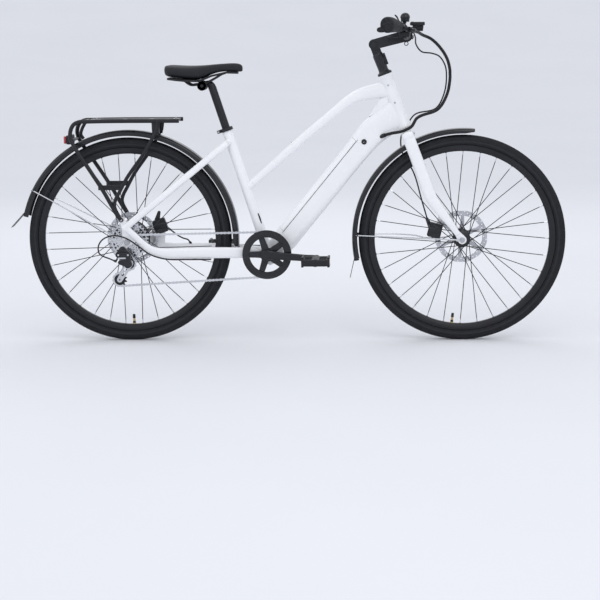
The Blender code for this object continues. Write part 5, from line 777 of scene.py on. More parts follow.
tyre("tyre_front_carcass", FRONT_AXLE, "wheel_front", "tyre_front")
tyre("tyre_rear_carcass", REAR_AXLE, "wheel_rear", "tyre_rear")
FRONT_VALVE = math.radians(-96.4)
REAR_VALVE = math.radians(-89.0)
rim_and_valve("rim_front_hoop", FRONT_AXLE, FRONT_VALVE, "wheel_front", "rim_front")
rim_and_valve("rim_rear_hoop", REAR_AXLE, REAR_VALVE, "wheel_rear", "rim_rear")
laced_spokes("wheel_front", FRONT_AXLE, 0.029, 0.027, -0.027, math.radians(60.0), FRONT_VALVE)
laced_spokes("wheel_rear", REAR_AXLE, 0.064, 0.026, -0.008, math.radians(24.0), REAR_VALVE)
piece("front_hub_shell", spun([(0.009, 0.05), (0.009, 0.045), (0.01, 0.0448), (0.01, 0.039),
    (0.02, 0.039), (0.0206, 0.037), (0.023, 0.032), (0.0284, 0.029), (0.029, 0.0284),
    (0.029, 0.0256), (0.0284, 0.025), (0.021, 0.024), (0.016, 0.0215), (0.014, 0.018),
    (0.0138, 0.0), (0.014, -0.018), (0.016, -0.0215), (0.021, -0.024), (0.0284, -0.025),
    (0.029, -0.0256), (0.029, -0.0284), (0.0284, -0.029), (0.02, -0.0306), (0.014, -0.033),
    (0.012, -0.04), (0.009, -0.044), (0.009, -0.05), (0.0055, -0.05), (0.0055, 0.05)], FRONT_AXLE),
    "wheel_front", forged, "hub_front")
piece("motor_shell", [spun([(0.0125, 0.0675), (0.0125, 0.051), (0.022, 0.051), (0.0226, 0.0446),
    (0.026, 0.0434), (0.0465, 0.041), (0.048, 0.0398), (0.059, 0.035), (0.0618, 0.0336),
    (0.0638, 0.03), (0.064, 0.028), (0.064, 0.024), (0.0622, 0.0232), (0.0622, -0.004),
    (0.064, -0.005), (0.064, -0.011), (0.0628, -0.015), (0.059, -0.0178), (0.04, -0.0215),
    (0.026, -0.0245), (0.015, -0.025), (0.015, -0.0635), (0.01, -0.0635), (0.01, -0.0675),
    (0.0065, -0.0675), (0.0065, 0.0675)], REAR_AXLE, 72),
    *[bar(REAR_AXLE + Vector((0.0535 * math.cos(a), 0.036, 0.0535 * math.sin(a))),
    REAR_AXLE + Vector((0.0535 * math.cos(a), 0.0388, 0.0535 * math.sin(a))), 0.0026, 14, 0.0005)
    for a in around(6, 0.25)]], "wheel_rear", forged, "motor_hub")
vented_disc("disc_front", FRONT_AXLE, 0.0402, 0.0103, "wheel_front", "rotor_front")
vented_disc("disc_rear", REAR_AXLE, 0.0522, 0.0128, "wheel_rear", "rotor_rear")


def axle_and_nuts(name, centre, radius, low, nut, length, body, node):
    """Threaded axle ends with flanged nuts."""
    reach = low + length + 0.0036
    shapes = [bar(centre - LEFT * reach, centre + LEFT * reach, radius, 24, 0.0008)]
    for side in (1, -1):
        shapes.append(bar(centre + LEFT * (side * low), centre + LEFT * (side * (low + 0.0018)),
            nut, 36, 0.0004))
        shapes.append(bar(centre + LEFT * (side * (low + 0.0016)),
            centre + LEFT * (side * (low + length)), nut * 0.92, 6, 0.0008))
    piece(name, shapes, body, steel, node)


axle_and_nuts("axle_front_nuts", FRONT_AXLE, 0.0049, 0.0566, 0.009, 0.008, "steering", "axle_front")
axle_and_nuts("axle_rear_nuts", REAR_AXLE, 0.0059, 0.0741, 0.0105, 0.01, "frame", "axle_rear")

# Sprockets, cranks and chain
CHAIN_PITCH = 0.0127
RING_TEETH = 38
COG_TEETH = (11, 13, 15, 18, 21, 26, 32)
JOCKEY_TEETH = 11
SMALL_COG_Y = -0.06
COG_STEP = 0.0055
COG_HALF = 0.0008
RING_Y = -0.052
RING_BOLT_RADIUS = 0.0635
CHAIN_STEPS = 60


def pitch_radius(teeth):
    """Radius on which the rollers sit round a sprocket."""
    return CHAIN_PITCH / (2 * math.sin(math.pi / teeth))


def tooth_line(centre, teeth):
    """Outline of teeth with round roller seats."""
    radius = pitch_radius(teeth)
    points = []
    for i in range(teeth):
        for share, reach in ((0.0, -0.0038), (0.14, -0.0031), (0.26, -0.0006), (0.38, 0.0022),
                (0.46, 0.0031), (0.54, 0.0031), (0.62, 0.0022), (0.74, -0.0006), (0.86, -0.0031)):
            points.append(polar(centre.x, centre.z, radius + reach, math.tau * (i + share) / teeth))
    return points


def arc_slot(centre, inner, outer, start, end):
    """Closed window between two radii."""
    low = [(inner, start + (end - start) * i / 6) for i in range(7)]
    high = [(outer, end - (end - start) * i / 6) for i in range(7)]
    return [polar(centre.x, centre.z, *spot) for spot in low + high]


def cassette_cogs():
    """Seven toothed cogs, the large ones with windows, and their spacers."""
    shapes = []
    for i, teeth in enumerate(COG_TEETH):
        y = SMALL_COG_Y + COG_STEP * i
        outlines = [tooth_line(REAR_AXLE, teeth), circle(REAR_AXLE.x, REAR_AXLE.z, 0.016, 30)]
        reach = pitch_radius(teeth) - 0.008
        if reach > 0.026:
            for a in around(6):
                end = a + math.tau / 6 - 0.16
                outlines.append(arc_slot(REAR_AXLE, 0.0235, reach, a + 0.16, end))
        shapes.append(sheet_metal(outlines, y - COG_HALF, y + COG_HALF, 0.00015))
        if i:
            shapes.append(spun([(0.016, y - 0.0047), (0.019, y - 0.0047), (0.019, y - 0.0008),
                (0.016, y - 0.0008)], REAR_AXLE, 36))
    return together(*shapes)


piece("cassette_cogs", cassette_cogs(), "cassette", silver, "cassette")
piece("cassette_lockring", spun([(0.0156, SMALL_COG_Y - 0.0022), (0.0168, SMALL_COG_Y - 0.0022),
    (0.0168, SMALL_COG_Y - 0.0008), (0.0156, SMALL_COG_Y - 0.0008)], REAR_AXLE, 36), "cassette",
    steel)
piece("ring_teeth", sheet_metal([tooth_line(CRANK_AXLE, RING_TEETH),
    circle(CRANK_AXLE.x, CRANK_AXLE.z, 0.0652, 72)], RING_Y - COG_HALF, RING_Y + COG_HALF,
    0.00015), "crank", satin, "chainring")
arms = []
caps = []
for k in range(5):
    way = facing(math.radians(36 + 72 * k))
    arms.append(lofted([(*CRANK_AXLE + way * reach + LEFT * y, deep, wide)
        for reach, y, deep, wide in ((0.016, -0.053, 0.026, 0.007),
        (0.034, -0.0535, 0.0225, 0.0068), (0.056, -0.054, 0.0205, 0.0064),
        (0.069, -0.054, 0.018, 0.0056))], 24, 3.2, 3))
    spot = CRANK_AXLE + way * RING_BOLT_RADIUS
    arms.append(bar(spot + LEFT * -0.0592, spot + LEFT * (RING_Y + 0.0036), 0.0056, 24, 0.0005))
    caps.append(bar(spot + LEFT * -0.0604, spot + LEFT * -0.0586, 0.004, 24, 0.0004))
arms.append(spun([(0.0155, -0.0498), (0.023, -0.05), (0.0245, -0.0515), (0.0245, -0.0555),
    (0.0225, -0.0575), (0.0155, -0.0577)], CRANK_AXLE))
piece("ring_spider", arms, "crank", forged, "chainring")
piece("ring_bolts", caps, "crank", satin)
piece("chain_guard", spun([(0.084, -0.058), (0.084, -0.0598), (0.0834, -0.0604), (0.0815, -0.0606),
    (0.08, -0.0598), (0.066, -0.0594), (0.062, -0.0602), (0.0597, -0.0604), (0.0592, -0.0598),
    (0.0592, -0.058), (0.062, -0.0576), (0.082, -0.0576)], CRANK_AXLE, 96), "crank", gloss,
    "chainring")

CRANK_ANGLE = math.radians(-4.3)
CRANK_LENGTH = 0.17


def crank(side):
    """Forged arm with a fluted face, a pedal eye and a dust cap."""
    end = CRANK_AXLE + facing(CRANK_ANGLE) * (-side * CRANK_LENGTH)
    rows = []
    for share, wide, deep, out in ((-0.055, 0.021, 0.011, 0.0004), (-0.02, 0.027, 0.014, 0.0),
            (0.12, 0.029, 0.014, 0.0), (0.3, 0.0262, 0.0132, 0.001),
            (0.55, 0.0238, 0.0122, 0.0028), (0.8, 0.0232, 0.0118, 0.0045),
            (1.0, 0.024, 0.0118, 0.005), (1.055, 0.019, 0.01, 0.005)):
        spot = between(CRANK_AXLE, end, share, 0.0, side * (0.0615 + 0.007 + out))
        rows.append((*spot, wide, deep))
    arm = lofted(rows, power=3.4)
    eye = cross_bar(end, 0.0133, side * 0.067, side * 0.0782, 36, 0.0012)
    disc = cross_bar(CRANK_AXLE, 0.0168, side * 0.0619, side * 0.0765, 40, 0.0012)
    shapes = [arm, eye, disc]
    if side < 0:
        shapes.append(cross_bar(CRANK_AXLE, 0.015, -0.0655, -0.0345, 40))
    name = "left" if side > 0 else "right"
    piece("crank_arm_" + name, shapes, "crank", forged, "crank_" + name)
    caps = [cross_bar(CRANK_AXLE, 0.0105, side * 0.0764, side * 0.0776, 40, 0.0004),
        cross_bar(end, 0.0056, side * 0.07, side * 0.1755, 24, 0.0008)]
    if side > 0:
        caps.append(cross_bar(CRANK_AXLE, 0.0086, -0.0655, 0.0655, soften=0.0004))
    piece("crank_axle_" + name, caps, "crank", forged)
    return end


def pedal(centre, side, node):
    """Caged platform with a barrel, toothed edges and end plates."""
    low = 0.0843
    middle = side * (low - 0.0008 + 0.048)
    spot = Vector((centre.x, middle, centre.z))
    outer = [(0.034, -0.048), (0.0445, -0.04), (0.047, -0.03), (0.047, 0.03), (0.0445, 0.04),
        (0.034, 0.048), (-0.034, 0.048), (-0.0445, 0.04), (-0.047, 0.03), (-0.047, -0.03),
        (-0.0445, -0.04), (-0.034, -0.048)]
    windows = []
    for way in (1, -1):
        for a, b in ((-0.038, -0.0155), (-0.0125, 0.0125), (0.0155, 0.038)):
            windows.append([(way * 0.0125, a), (way * 0.037, a), (way * 0.037, b),
                (way * 0.0125, b)])
    cage = sheet_metal([outer] + windows, -0.011, 0.011, 0.001, Matrix.Translation(spot))
    barrel = cross_bar(centre, 0.0128, side * low, side * (low + 0.0942), 36, 0.0014)
    shapes = [cage, barrel]
    for way in (1, -1):
        shapes.append(block(spot + Vector((way * 0.0435, 0.0, 0.0)), (0.008, 0.059, 0.0336),
            0.0012))
        for i in range(7):
            for up in (1, -1):
                at = spot + Vector((way * 0.0405, (i - 3) * 0.0095, up * 0.0105))
                shapes.append(bar(at, at + UP * (up * 0.0032), 0.0022, 10, 0.0003, 0.0012))
    piece(node + "_platform", shapes, node, moulded, node)
    piece(node + "_reflectors", [block(spot + Vector((way * 0.0474, 0.0, 0.0)),
        (0.001, 0.05, 0.018), 0.0003) for way in (1, -1)], node, amber)


amber = prism_lens("amber_lens", (0.62, 0.2, 0.02), (0.42, 0.12, 0.012), (0.74, 0.28, 0.04),
    1500.0, -0.3, 0.16, 90.0, 0.0004, coat_weight=0.8)
RIGHT_PEDAL = crank(-1)
LEFT_PEDAL = crank(1)
pedal(RIGHT_PEDAL, -1, "pedal_right")
pedal(LEFT_PEDAL, 1, "pedal_left")

GUIDE = REAR_AXLE + Vector((0.0022, 0.0, -0.0753))
TENSION = GUIDE + Vector((-0.0328, 0.0, -0.0553))


def touching(from_at, from_radius, from_side, to_at, to_radius, to_side):
    """Where a belt leaves one wheel and meets the next; side is 1 for a clockwise turn."""
    way = Vector((to_at.x - from_at.x, 0.0, to_at.z - from_at.z))
    swing = math.asin((from_side * from_radius - to_side * to_radius) / way.length)
    turn = math.atan2(way.z, way.x) - swing
    square = Vector((-math.sin(turn), 0.0, math.cos(turn)))
    return from_at + square * (from_side * from_radius), to_at + square * (to_side * to_radius)


def chain_line():
    """Points close together along the middle of the chain, all the way round."""
    wheels = [(CRANK_AXLE + LEFT * RING_Y, pitch_radius(RING_TEETH), 1),
        (TENSION + LEFT * SMALL_COG_Y, pitch_radius(JOCKEY_TEETH), 1),
        (GUIDE + LEFT * SMALL_COG_Y, pitch_radius(JOCKEY_TEETH), -1),
        (REAR_AXLE + LEFT * SMALL_COG_Y, pitch_radius(COG_TEETH[0]), 1)]
    joints = [touching(*wheels[i], *wheels[(i + 1) % 4]) for i in range(4)]
    points = []
    for i in range(4):
        start, end = joints[i]
        points += [start.lerp(end, k / CHAIN_STEPS) for k in range(CHAIN_STEPS)]
        centre, radius, side = wheels[(i + 1) % 4]
        leave = joints[(i + 1) % 4][0]
        a = math.atan2(end.z - centre.z, end.x - centre.x)
        sweep = (math.atan2(leave.z - centre.z, leave.x - centre.x) - a) % math.tau
        sweep -= math.tau if side > 0 else 0.0
        points += [centre + facing(a + sweep * k / CHAIN_STEPS) * radius
            for k in range(CHAIN_STEPS)]
    return points


def chain_links():
    """Every link of the chain: two plates, and a roller on its pin."""
    points = chain_line()
    lengths = [0.0]
    for a, b in zip(points, points[1:] + points[:1]):
        lengths.append(lengths[-1] + (b - a).length)
    count = 2 * round(lengths[-1] / CHAIN_PITCH / 2)
    pins = []
    j = 0
    for i in range(count):
        goal = lengths[-1] * i / count
        while lengths[j + 1] < goal:
            j += 1
        share = (goal - lengths[j]) / max(lengths[j + 1] - lengths[j], 1e-9)
        pins.append(points[j].lerp(points[(j + 1) % len(points)], share))
    half = CHAIN_PITCH / 2
    waist = [(half, 0.0041), (half + 0.0029, 0.0029), (half + 0.0041, 0.0),
        (half + 0.0029, -0.0029), (half, -0.0041), (half * 0.4, -0.003), (0.0, -0.0027),
        (-half * 0.4, -0.003), (-half, -0.0041), (-half - 0.0029, -0.0029), (-half - 0.0041, 0.0),
        (-half - 0.0029, 0.0029), (-half, 0.0041), (-half * 0.4, 0.003), (0.0, 0.0027),
        (half * 0.4, 0.003)]
    kinds = []
    for near, far, reach, radius, sides in ((0.0016, 0.0024, 0.0017, 0.0038, 10),
            (0.0026, 0.0034, 0.0037, 0.0018, 8)):
        shapes = [sheet_metal([waist], *ends, 0.0001) for ends in ((near, far), (-far, -near))]
        for x in (-half, half):
            shapes.append(bar(Vector((x, -reach, 0.0)), Vector((x, reach, 0.0)), radius, sides))
        mesh = bpy.data.meshes.new("link")
        link = together(*shapes)
        link.to_mesh(mesh)
        link.free()
        kinds.append(mesh)
    bm = bmesh.new()
    for i, pin in enumerate(pins):
        after = pins[(i + 1) % count]
        way = (after - pin).normalized()
        lift = Vector((-way.z, 0.0, way.x)).normalized()
        wide = lift.cross(way)
        stand = framed(way, wide, lift, (pin + after) / 2)
        first = len(bm.verts)
        bm.from_mesh(kinds[i % 2])
        bm.verts.ensure_lookup_table()
        bmesh.ops.transform(bm, matrix=stand, verts=bm.verts[first:])
    return bm


piece("chain_links", chain_links(), "frame", silver, "chain")


def jockey(name, centre, node):
    """Toothed pulley with a collar and a steel bush."""
    outlines = [tooth_line(centre, JOCKEY_TEETH), circle(centre.x, centre.z, 0.0075, 24)]
    wheel = sheet_metal(outlines, SMALL_COG_Y - COG_HALF, SMALL_COG_Y + COG_HALF, 0.0002)
    collar = spun([(0.006, SMALL_COG_Y - 0.0037), (0.0088, SMALL_COG_Y - 0.0034),
        (0.009, SMALL_COG_Y - 0.0026), (0.009, SMALL_COG_Y + 0.0026),
        (0.0088, SMALL_COG_Y + 0.0034), (0.006, SMALL_COG_Y + 0.0037)], centre, 30)
    piece(name, [wheel, collar], node, moulded, node)
    bush = spun([(0.0028, SMALL_COG_Y - 0.0036), (0.006, SMALL_COG_Y - 0.0036),
        (0.006, SMALL_COG_Y + 0.0036), (0.0028, SMALL_COG_Y + 0.0036)], centre, 24)
    piece(name + "_bush", bush, node, steel)


jockey("guide_pulley", GUIDE, "jockey_upper")
jockey("tension_pulley", TENSION, "jockey_lower")
cage_way = (TENSION - GUIDE).normalized()
cage_square = Vector((-cage_way.z, 0.0, cage_way.x))
cage_outline = belt((GUIDE.x + 0.003, GUIDE.z + 0.002, 0.0125), (TENSION.x, TENSION.z, 0.0095))
cage_window = [(GUIDE + cage_way * reach + cage_square * out).xz
    for reach, out in ((0.02, -0.0048), (0.02, 0.0048), (0.046, 0.004), (0.049, 0.0),
    (0.046, -0.004))]
piece("cage_plates", [sheet_metal([cage_outline, cage_window], SMALL_COG_Y + low,
    SMALL_COG_Y + high, 0.0002) for low, high in ((-0.0054, -0.004), (0.004, 0.0054))],
    "mech_cage", silver, "derailleur_cage")
piece("cage_bolts", [cross_bar(centre, radius, SMALL_COG_Y + low, SMALL_COG_Y + high, sides,
    0.0003) for centre, radius, low, high, sides in ((GUIDE, 0.0025, -0.0118, 0.0066, 20),
    (TENSION, 0.0025, -0.0066, 0.0066, 20), (TENSION, 0.0046, -0.0066, -0.0054, 6),
    (TENSION, 0.0046, 0.0054, 0.0066, 6))], "mech_cage", steel)
refined("derailleur_link", forged, 0.001)
refined("derailleur_body", forged, 0.001)
link_face = SMALL_COG_Y - 0.0054 - 0.0006 - 0.022 - 0.0003
hanger_at = rear(-0.0153, -0.024)
piece("link_label", [strap(link_face - 0.0044, link_face - 0.0038, (hanger_at.x - 0.013,
    hanger_at.z - 0.029, 0.0026), (hanger_at.x + 0.01, hanger_at.z - 0.0285, 0.0026)),
    *[cross_bar(hanger_at + Vector((x, 0.0, -0.0175)), 0.0032, link_face - 0.0054,
    link_face - 0.0042, 24, 0.0004) for x in (-0.013, 0.02)]], "frame", silver)

# Frame
DOWN_START = CRANK_AXLE + Vector((0.0021, 0.0, -0.024))
DOWN_END = steer(0.4545, -0.0925)
DOWN_WAY = (DOWN_END - DOWN_START).normalized()
DOWN_OUT = Vector((DOWN_WAY.z, 0.0, -DOWN_WAY.x))
DOWN_LENGTH = (DOWN_END - DOWN_START).length
DOWN_TILT = math.atan2(DOWN_WAY.x, DOWN_WAY.z)
BATTERY_LOW = 0.112
BATTERY_HIGH = 0.506
BATTERY_MIDDLE = (BATTERY_LOW + BATTERY_HIGH) / 2
BATTERY_LENGTH = BATTERY_HIGH - BATTERY_LOW
COVER_EDGE = 0.019 - 0.042
COVER_GAP = 0.0003
BATTERY_BACK = 0.084
TUBE_WIDTH = 0.06
HEAD_LOW = 0.421
HEAD_HIGH = 0.61
STAY_REAR_Y = 0.073
PLATE_LOW = 0.0678
PLATE_HIGH = 0.0738
CORNER = (-0.004, 0.05)
STAY_TOP = 0.404
BRIDGE_SHARE = 0.215


def down(reach, out=0.0, left=0.0):
    """Place by the down tube's axis: up along it, out of its lower face and to the left."""
    return DOWN_START + DOWN_WAY * reach + DOWN_OUT * out + LEFT * left


def down_rows():
    """Stations of the down tube, the last one turned to meet the head tube."""
    rows = []
    for reach, top, bottom, width in ((-0.012, 0.012, 0.018, 0.72), (0.01, 0.024, 0.028, 0.8),
            (0.03, 0.034, 0.034, 0.86), (0.09, 0.042, 0.042, 0.97), (0.14, 0.042, 0.042, 1.0),
            (0.3, 0.042, 0.042, 1.0), (DOWN_LENGTH - 0.1, 0.042, 0.042, 1.0),
            (DOWN_LENGTH - 0.02, 0.045, 0.048, 0.93)):
        centre = down(reach, (bottom - top) / 2)
        rows.append((*centre, top + bottom, TUBE_WIDTH * width))
    last = (steer(HEAD_LOW + 0.006) + steer(HEAD_LOW + 0.104)) / 2
    before = Vector(rows[-1][:3])
    rows.append((*before.lerp(last, 0.55), 0.0955, 0.048))
    rows.append((*last, 0.098, 0.04))
    return rows


def weld(centre, way, radius, bulge=0.0016, squeeze=1.0):
    """Smooth weld bead round a tube where it meets another."""
    ring = [(radius + bulge * math.cos(a), bulge * 1.6 * math.sin(a)) for a in around(10)]
    made = spun(ring, Vector((0.0, 0.0, 0.0)), 40, UP)
    bmesh.ops.scale(made, vec=Vector((1.0, squeeze, 1.0)), verts=made.verts)
    bmesh.ops.transform(made, matrix=aimed(centre, way), verts=made.verts)
    return made


TOP_START = seat(0.23)
TOP_END = steer(0.5537)
top_rows = []
for share, rise, deep in ((0.0, 0.0, 0.026), (0.117, 0.009, 0.027), (0.409, 0.0313, 0.0295),
        (0.675, 0.0462, 0.032), (0.74, 0.05, 0.034), (0.79, 0.05, 0.037), (0.839, 0.0452, 0.042),
        (0.8945, 0.0336, 0.048), (0.937, 0.0225, 0.05), (1.0, 0.0, 0.05)):
    top_rows.append((*between(TOP_START, TOP_END, share, rise), deep,
        0.036 * (0.82 if share == 0 else 1.0)))
seatstay_rows = []
for share, left in ((0.0, 0.014), (0.075, 0.028), (0.185, 0.037), (0.47, 0.055),
        (0.76, STAY_REAR_Y - 0.002), (1.02, STAY_REAR_Y)):
    seatstay_rows.append((*between(seat(STAY_TOP), rear(*CORNER), share, 0.0, left), 0.023, 0.016))
chainstay_rows = []
for x, z, left, deep, wide in ((CORNER[0], CORNER[1], 0.073, 0.022, 0.0148),
        (0.02, 0.027, 0.073, 0.022, 0.0152), (0.05, -0.002, 0.073, 0.023, 0.0156),
        (0.08, -0.027, 0.073, 0.029, 0.016), (0.118, -0.039, 0.071, 0.036, 0.016),
        (0.219, -0.04, 0.062, 0.038, 0.017), (0.31, -0.041, 0.047, 0.038, 0.017),
        (0.386, -0.043, 0.0355, 0.036, 0.016), (0.476, -0.047, 0.0245, 0.03, 0.016)):
    chainstay_rows.append((*rear(x, z, left), deep, wide))


def battery_space(edge, length):
    """Block that takes up the battery's space, from its back to edge."""
    size = (BATTERY_BACK + edge, 0.12, length)
    return block(down(BATTERY_MIDDLE, (edge - BATTERY_BACK) / 2), size, 0.0002, 1, DOWN_TILT)


def cut_by(shape, tool, operation="DIFFERENCE"):
    """Boolean of two shapes."""
    objects = []
    for source in (shape, tool):
        bmesh.ops.recalc_face_normals(source, faces=source.faces)
        mesh = bpy.data.meshes.new("work")
        source.to_mesh(mesh)
        source.free()
        made = bpy.data.objects.new("work", mesh)
        bpy.context.scene.collection.objects.link(made)
        objects.append(made)
    step = objects[0].modifiers.new("step", "BOOLEAN")
    step.operation = operation
    step.solver = "EXACT"
    step.object = objects[1]
    made = to_shape(objects[0])
    bpy.data.objects.remove(objects[1], do_unlink=True)
    return made


battery_room = battery_space(COVER_EDGE + COVER_GAP, BATTERY_LENGTH + 0.0006)
piece("down_tube", cut_by(lofted(down_rows(), 40, 3.4, 6), battery_room), "frame", enamel, "frame",
    angle=32.0)
battery_box = battery_space(COVER_EDGE - COVER_GAP, BATTERY_LENGTH - 0.0008)
cover = piece("battery_cover", cut_by(lofted(down_rows(), 40, 3.4, 6), battery_box, "INTERSECT"),
    "battery", enamel, "battery", angle=32.0)
edge_round = cover.modifiers.new("edge_round", "BEVEL")
edge_round.width = 0.0009
edge_round.segments = 3
edge_round.limit_method = "ANGLE"
edge_round.angle_limit = math.radians(50.0)
piece("battery_case", block(down(BATTERY_MIDDLE, COVER_EDGE + 0.018),
    (0.043, 0.043, BATTERY_LENGTH - 0.016), 0.004, tilt=DOWN_TILT), "battery", moulded, "battery")
piece("battery_seam", [block(down(BATTERY_MIDDLE, COVER_EDGE + 0.0012, side * 0.0288),
    (0.0011, 0.0022, BATTERY_LENGTH + 0.012), 0.0002, 2, DOWN_TILT) for side in (1, -1)], "frame",
    moulded)

piece("seat_tube", [bar(seat(-0.006), seat(0.445), 0.01745, 48, 0.0006),
    cross_bar(CRANK_AXLE, 0.021, -0.034, 0.034, 48, 0.0008)], "frame", enamel, "frame")
head = spun([(0.0, HEAD_HIGH), (0.0244, HEAD_HIGH), (0.025, HEAD_HIGH - 0.0006),
    (0.025, HEAD_HIGH - 0.0056), (0.0235, HEAD_HIGH - 0.0085), (0.0231, HEAD_HIGH - 0.05),
    (0.0231, HEAD_LOW + 0.05), (0.0235, HEAD_LOW + 0.01), (0.025, HEAD_LOW + 0.0075),
    (0.025, HEAD_LOW + 0.0006), (0.0244, HEAD_LOW), (0.0, HEAD_LOW)], STEER_FOOT, 56, STEER_UP,
    False)
piece("head_tube", head, "frame", enamel, "frame")

post_room = bar(seat(0.18), seat(0.42), 0.0141, 40)
piece("top_tube", cut_by(lofted(top_rows, 32, 2.7, 6), post_room), "frame", enamel, "frame",
    angle=60.0)
piece("seat_stays", twin(lofted(seatstay_rows, 24, 2.6, 6)), "frame", enamel, "frame", angle=60.0)
gusset = [(0.862, 0.8262), (0.8215, 0.764), (0.89, 0.786), (0.892, 0.834)]
piece("head_gusset", sheet_metal([gusset], -0.0125, 0.0125, 0.005), "frame", enamel)
piece("chain_stays", twin(lofted(chainstay_rows, power=2.8, per=6)), "frame", enamel, "frame",
    angle=60.0)
bridge_at = between(seat(STAY_TOP), rear(*CORNER), BRIDGE_SHARE)
piece("stay_bridges", [cross_bar(bridge_at, 0.006, -0.036, 0.036, 24, 0.0),
    cross_bar(CRANK_AXLE + Vector((-0.078, 0.0, 0.006)), 0.007, -0.032, 0.032, 24, 0.0)], "frame",
    enamel, "frame")
plates = []
base = TYRE_RADIUS
axle_hole = circle(0.0, base, 0.0066, 28)
eye_hole = circle(-0.0177, base + 0.077, 0.003, 18)
for side in (1, -1):
    low, high = sorted((side * PLATE_LOW, side * PLATE_HIGH))
    plates.append(strap(low + 0.0003, high - 0.0003, (CORNER[0], base + 0.053, 0.013),
        (-0.0177, base + 0.077, 0.0085), soften=0.0008, holes=[eye_hole]))
    plates.append(strap(low, high, (CORNER[0], base + 0.05, 0.012), (0.03, base + 0.014, 0.011),
        (0.0, base, 0.0155), soften=0.0008, holes=[axle_hole]))
    if side < 0:
        plates.append(strap(low + 0.0006, high - 0.0006, (0.0, base, 0.012),
            (-0.0153, base - 0.024, 0.0095), soften=0.0008, holes=[axle_hole]))
plates.append(strap(STAY_REAR_Y - 0.0087, STAY_REAR_Y - 0.003, (0.05, TYRE_RADIUS, 0.01),
    (0.1, TYRE_RADIUS - 0.026, 0.01), (0.104, TYRE_RADIUS + 0.034, 0.009), soften=0.0008))
piece("dropouts", plates, "frame", enamel, "frame")
top_way = Vector(top_rows[1][:3]) - Vector(top_rows[0][:3])
beads = [weld(between(TOP_START, TOP_END, 0.055, 0.0045), top_way, 0.0128, 0.0017, 1.25),
    weld(seat(0.03), SEAT_UP, 0.0176, 0.0018),
    weld(steer(HEAD_LOW + 0.108), STEER_UP, 0.023, 0.0009)]
for side in (1, -1):
    top, below = Vector(seatstay_rows[0][:3]), Vector(seatstay_rows[1][:3])
    start = top.lerp(below, 0.3)
    start.y *= side
    way = below - top
    way.y *= side
    beads.append(weld(start, way, 0.0106, 0.0013))
    foot = Vector(chainstay_rows[-1][:3]) - AHEAD * 0.024
    foot.y = side * 0.0285
    beads.append(weld(foot, Vector((-1.0, side * 0.13, 0.05)), 0.009, 0.0014, 1.0))
piece("weld_beads", beads, "frame", enamel)
studs = []
for share in (0.265, 0.368):
    rise = 0.0302 + 0.011 * (share - 0.265) / 0.103
    foot = between(TOP_START, TOP_END, share, rise - 0.004)
    way = (foot - between(TOP_START, TOP_END, share)).normalized()
    studs.append(bar(foot, foot + way * 0.0078, 0.0046, soften=0.0006, end_radius=0.0036))
    studs.append(bar(foot + way * 0.0076, foot + way * 0.0085, 0.0022, 6, 0.0002))
for spot in ((0.8898, 0.8703), (0.9121, 0.8121)):
    at = Vector((spot[0], -0.0212, spot[1]))
    studs.append(bar(at, at - LEFT * 0.0026, 0.0034, soften=0.0006))
piece("frame_screws", studs, "frame", steel)
slot_low, slot_high = seat(0.14, 0.0112, -0.0131), seat(0.103, 0.0112, -0.0131)
piece("cable_slot", lofted([(*slot_low, 0.003, 0.0024),
    (*slot_low.lerp(slot_high, 0.1), 0.005, 0.003), (*slot_low.lerp(slot_high, 0.9), 0.005, 0.003),
    (*slot_high, 0.003, 0.0024)], 20, per=3), "frame", moulded)
LOOP_RADIUS = 0.0052
CABLE_RADIUS = 0.0025
LOOP_PORT_WAY = Vector((0.718, -0.638, 0.279)).normalized()
LOOP_PORT = down(DOWN_LENGTH + 0.0034, 0.0402, -0.034)
HOSE_PORT_WAY = Vector((-0.6, 0.0, 0.8))
HOSE_PORT = rear(0.197, -0.047 + 0.007 + 0.019 + 0.004, 0.062)
piece("cable_ports", [bar(LOOP_PORT - LOOP_PORT_WAY * 0.024, LOOP_PORT, 0.007, 28, 0.001),
    bar(HOSE_PORT - HOSE_PORT_WAY * 0.014, HOSE_PORT, 0.0043, 24, 0.0007)], "frame", moulded)
lock_at = down(BATTERY_HIGH + 0.0145, -0.001, -0.0312)
key_cut = block(lock_at, (0.0014, 0.005, 0.0078), 0.0002, 1, DOWN_TILT)
piece("lock_barrel", cut_by(bar(lock_at, lock_at + LEFT * 0.014, 0.006, 36, 0.0006), key_cut),
    "lock", satin, "battery_lock")
piece("lock_surround", spun([(0.0064, -0.0005), (0.0072, -0.0012), (0.0086, -0.001),
    (0.0092, 0.0006), (0.0064, 0.003)], lock_at + LEFT * 0.0008, 36), "frame", moulded)

# Seat collar, post and saddle
COLLAR_EARS = 0.4436
SADDLE_WIDTH = 0.155
SADDLE_LENGTH = 0.267
SEAT_TILT = SEAT_ANGLE - math.pi / 2
collar = together(spun([(0.0223, 0.449), (0.0223, 0.4385), (0.0218, 0.438), (0.018, 0.438),
    (0.018, 0.4453), (0.0141, 0.4453), (0.0141, 0.4492), (0.0218, 0.4495)], CRANK_AXLE,
    way=SEAT_UP), *[block(seat(COLLAR_EARS, -0.026, side * 0.0058), (0.014, 0.0084, 0.011), 0.002,
    tilt=SEAT_TILT) for side in (1, -1)])
piece("collar_band", collar, "frame", forged, "seat_collar")
ear_bolt = seat(COLLAR_EARS, -0.028)
piece("collar_bolt", [cross_bar(ear_bolt, 0.0026, -0.013, 0.013, 20, 0.0003),
    cross_bar(ear_bolt, 0.0037, 0.01, 0.0135, 24, 0.0005), cross_bar(ear_bolt, 0.0037, -0.0135,
    -0.0105, 6, 0.0004)], "frame", steel)
CLAMP = seat(0.609, -0.029)
post_top = 0.603
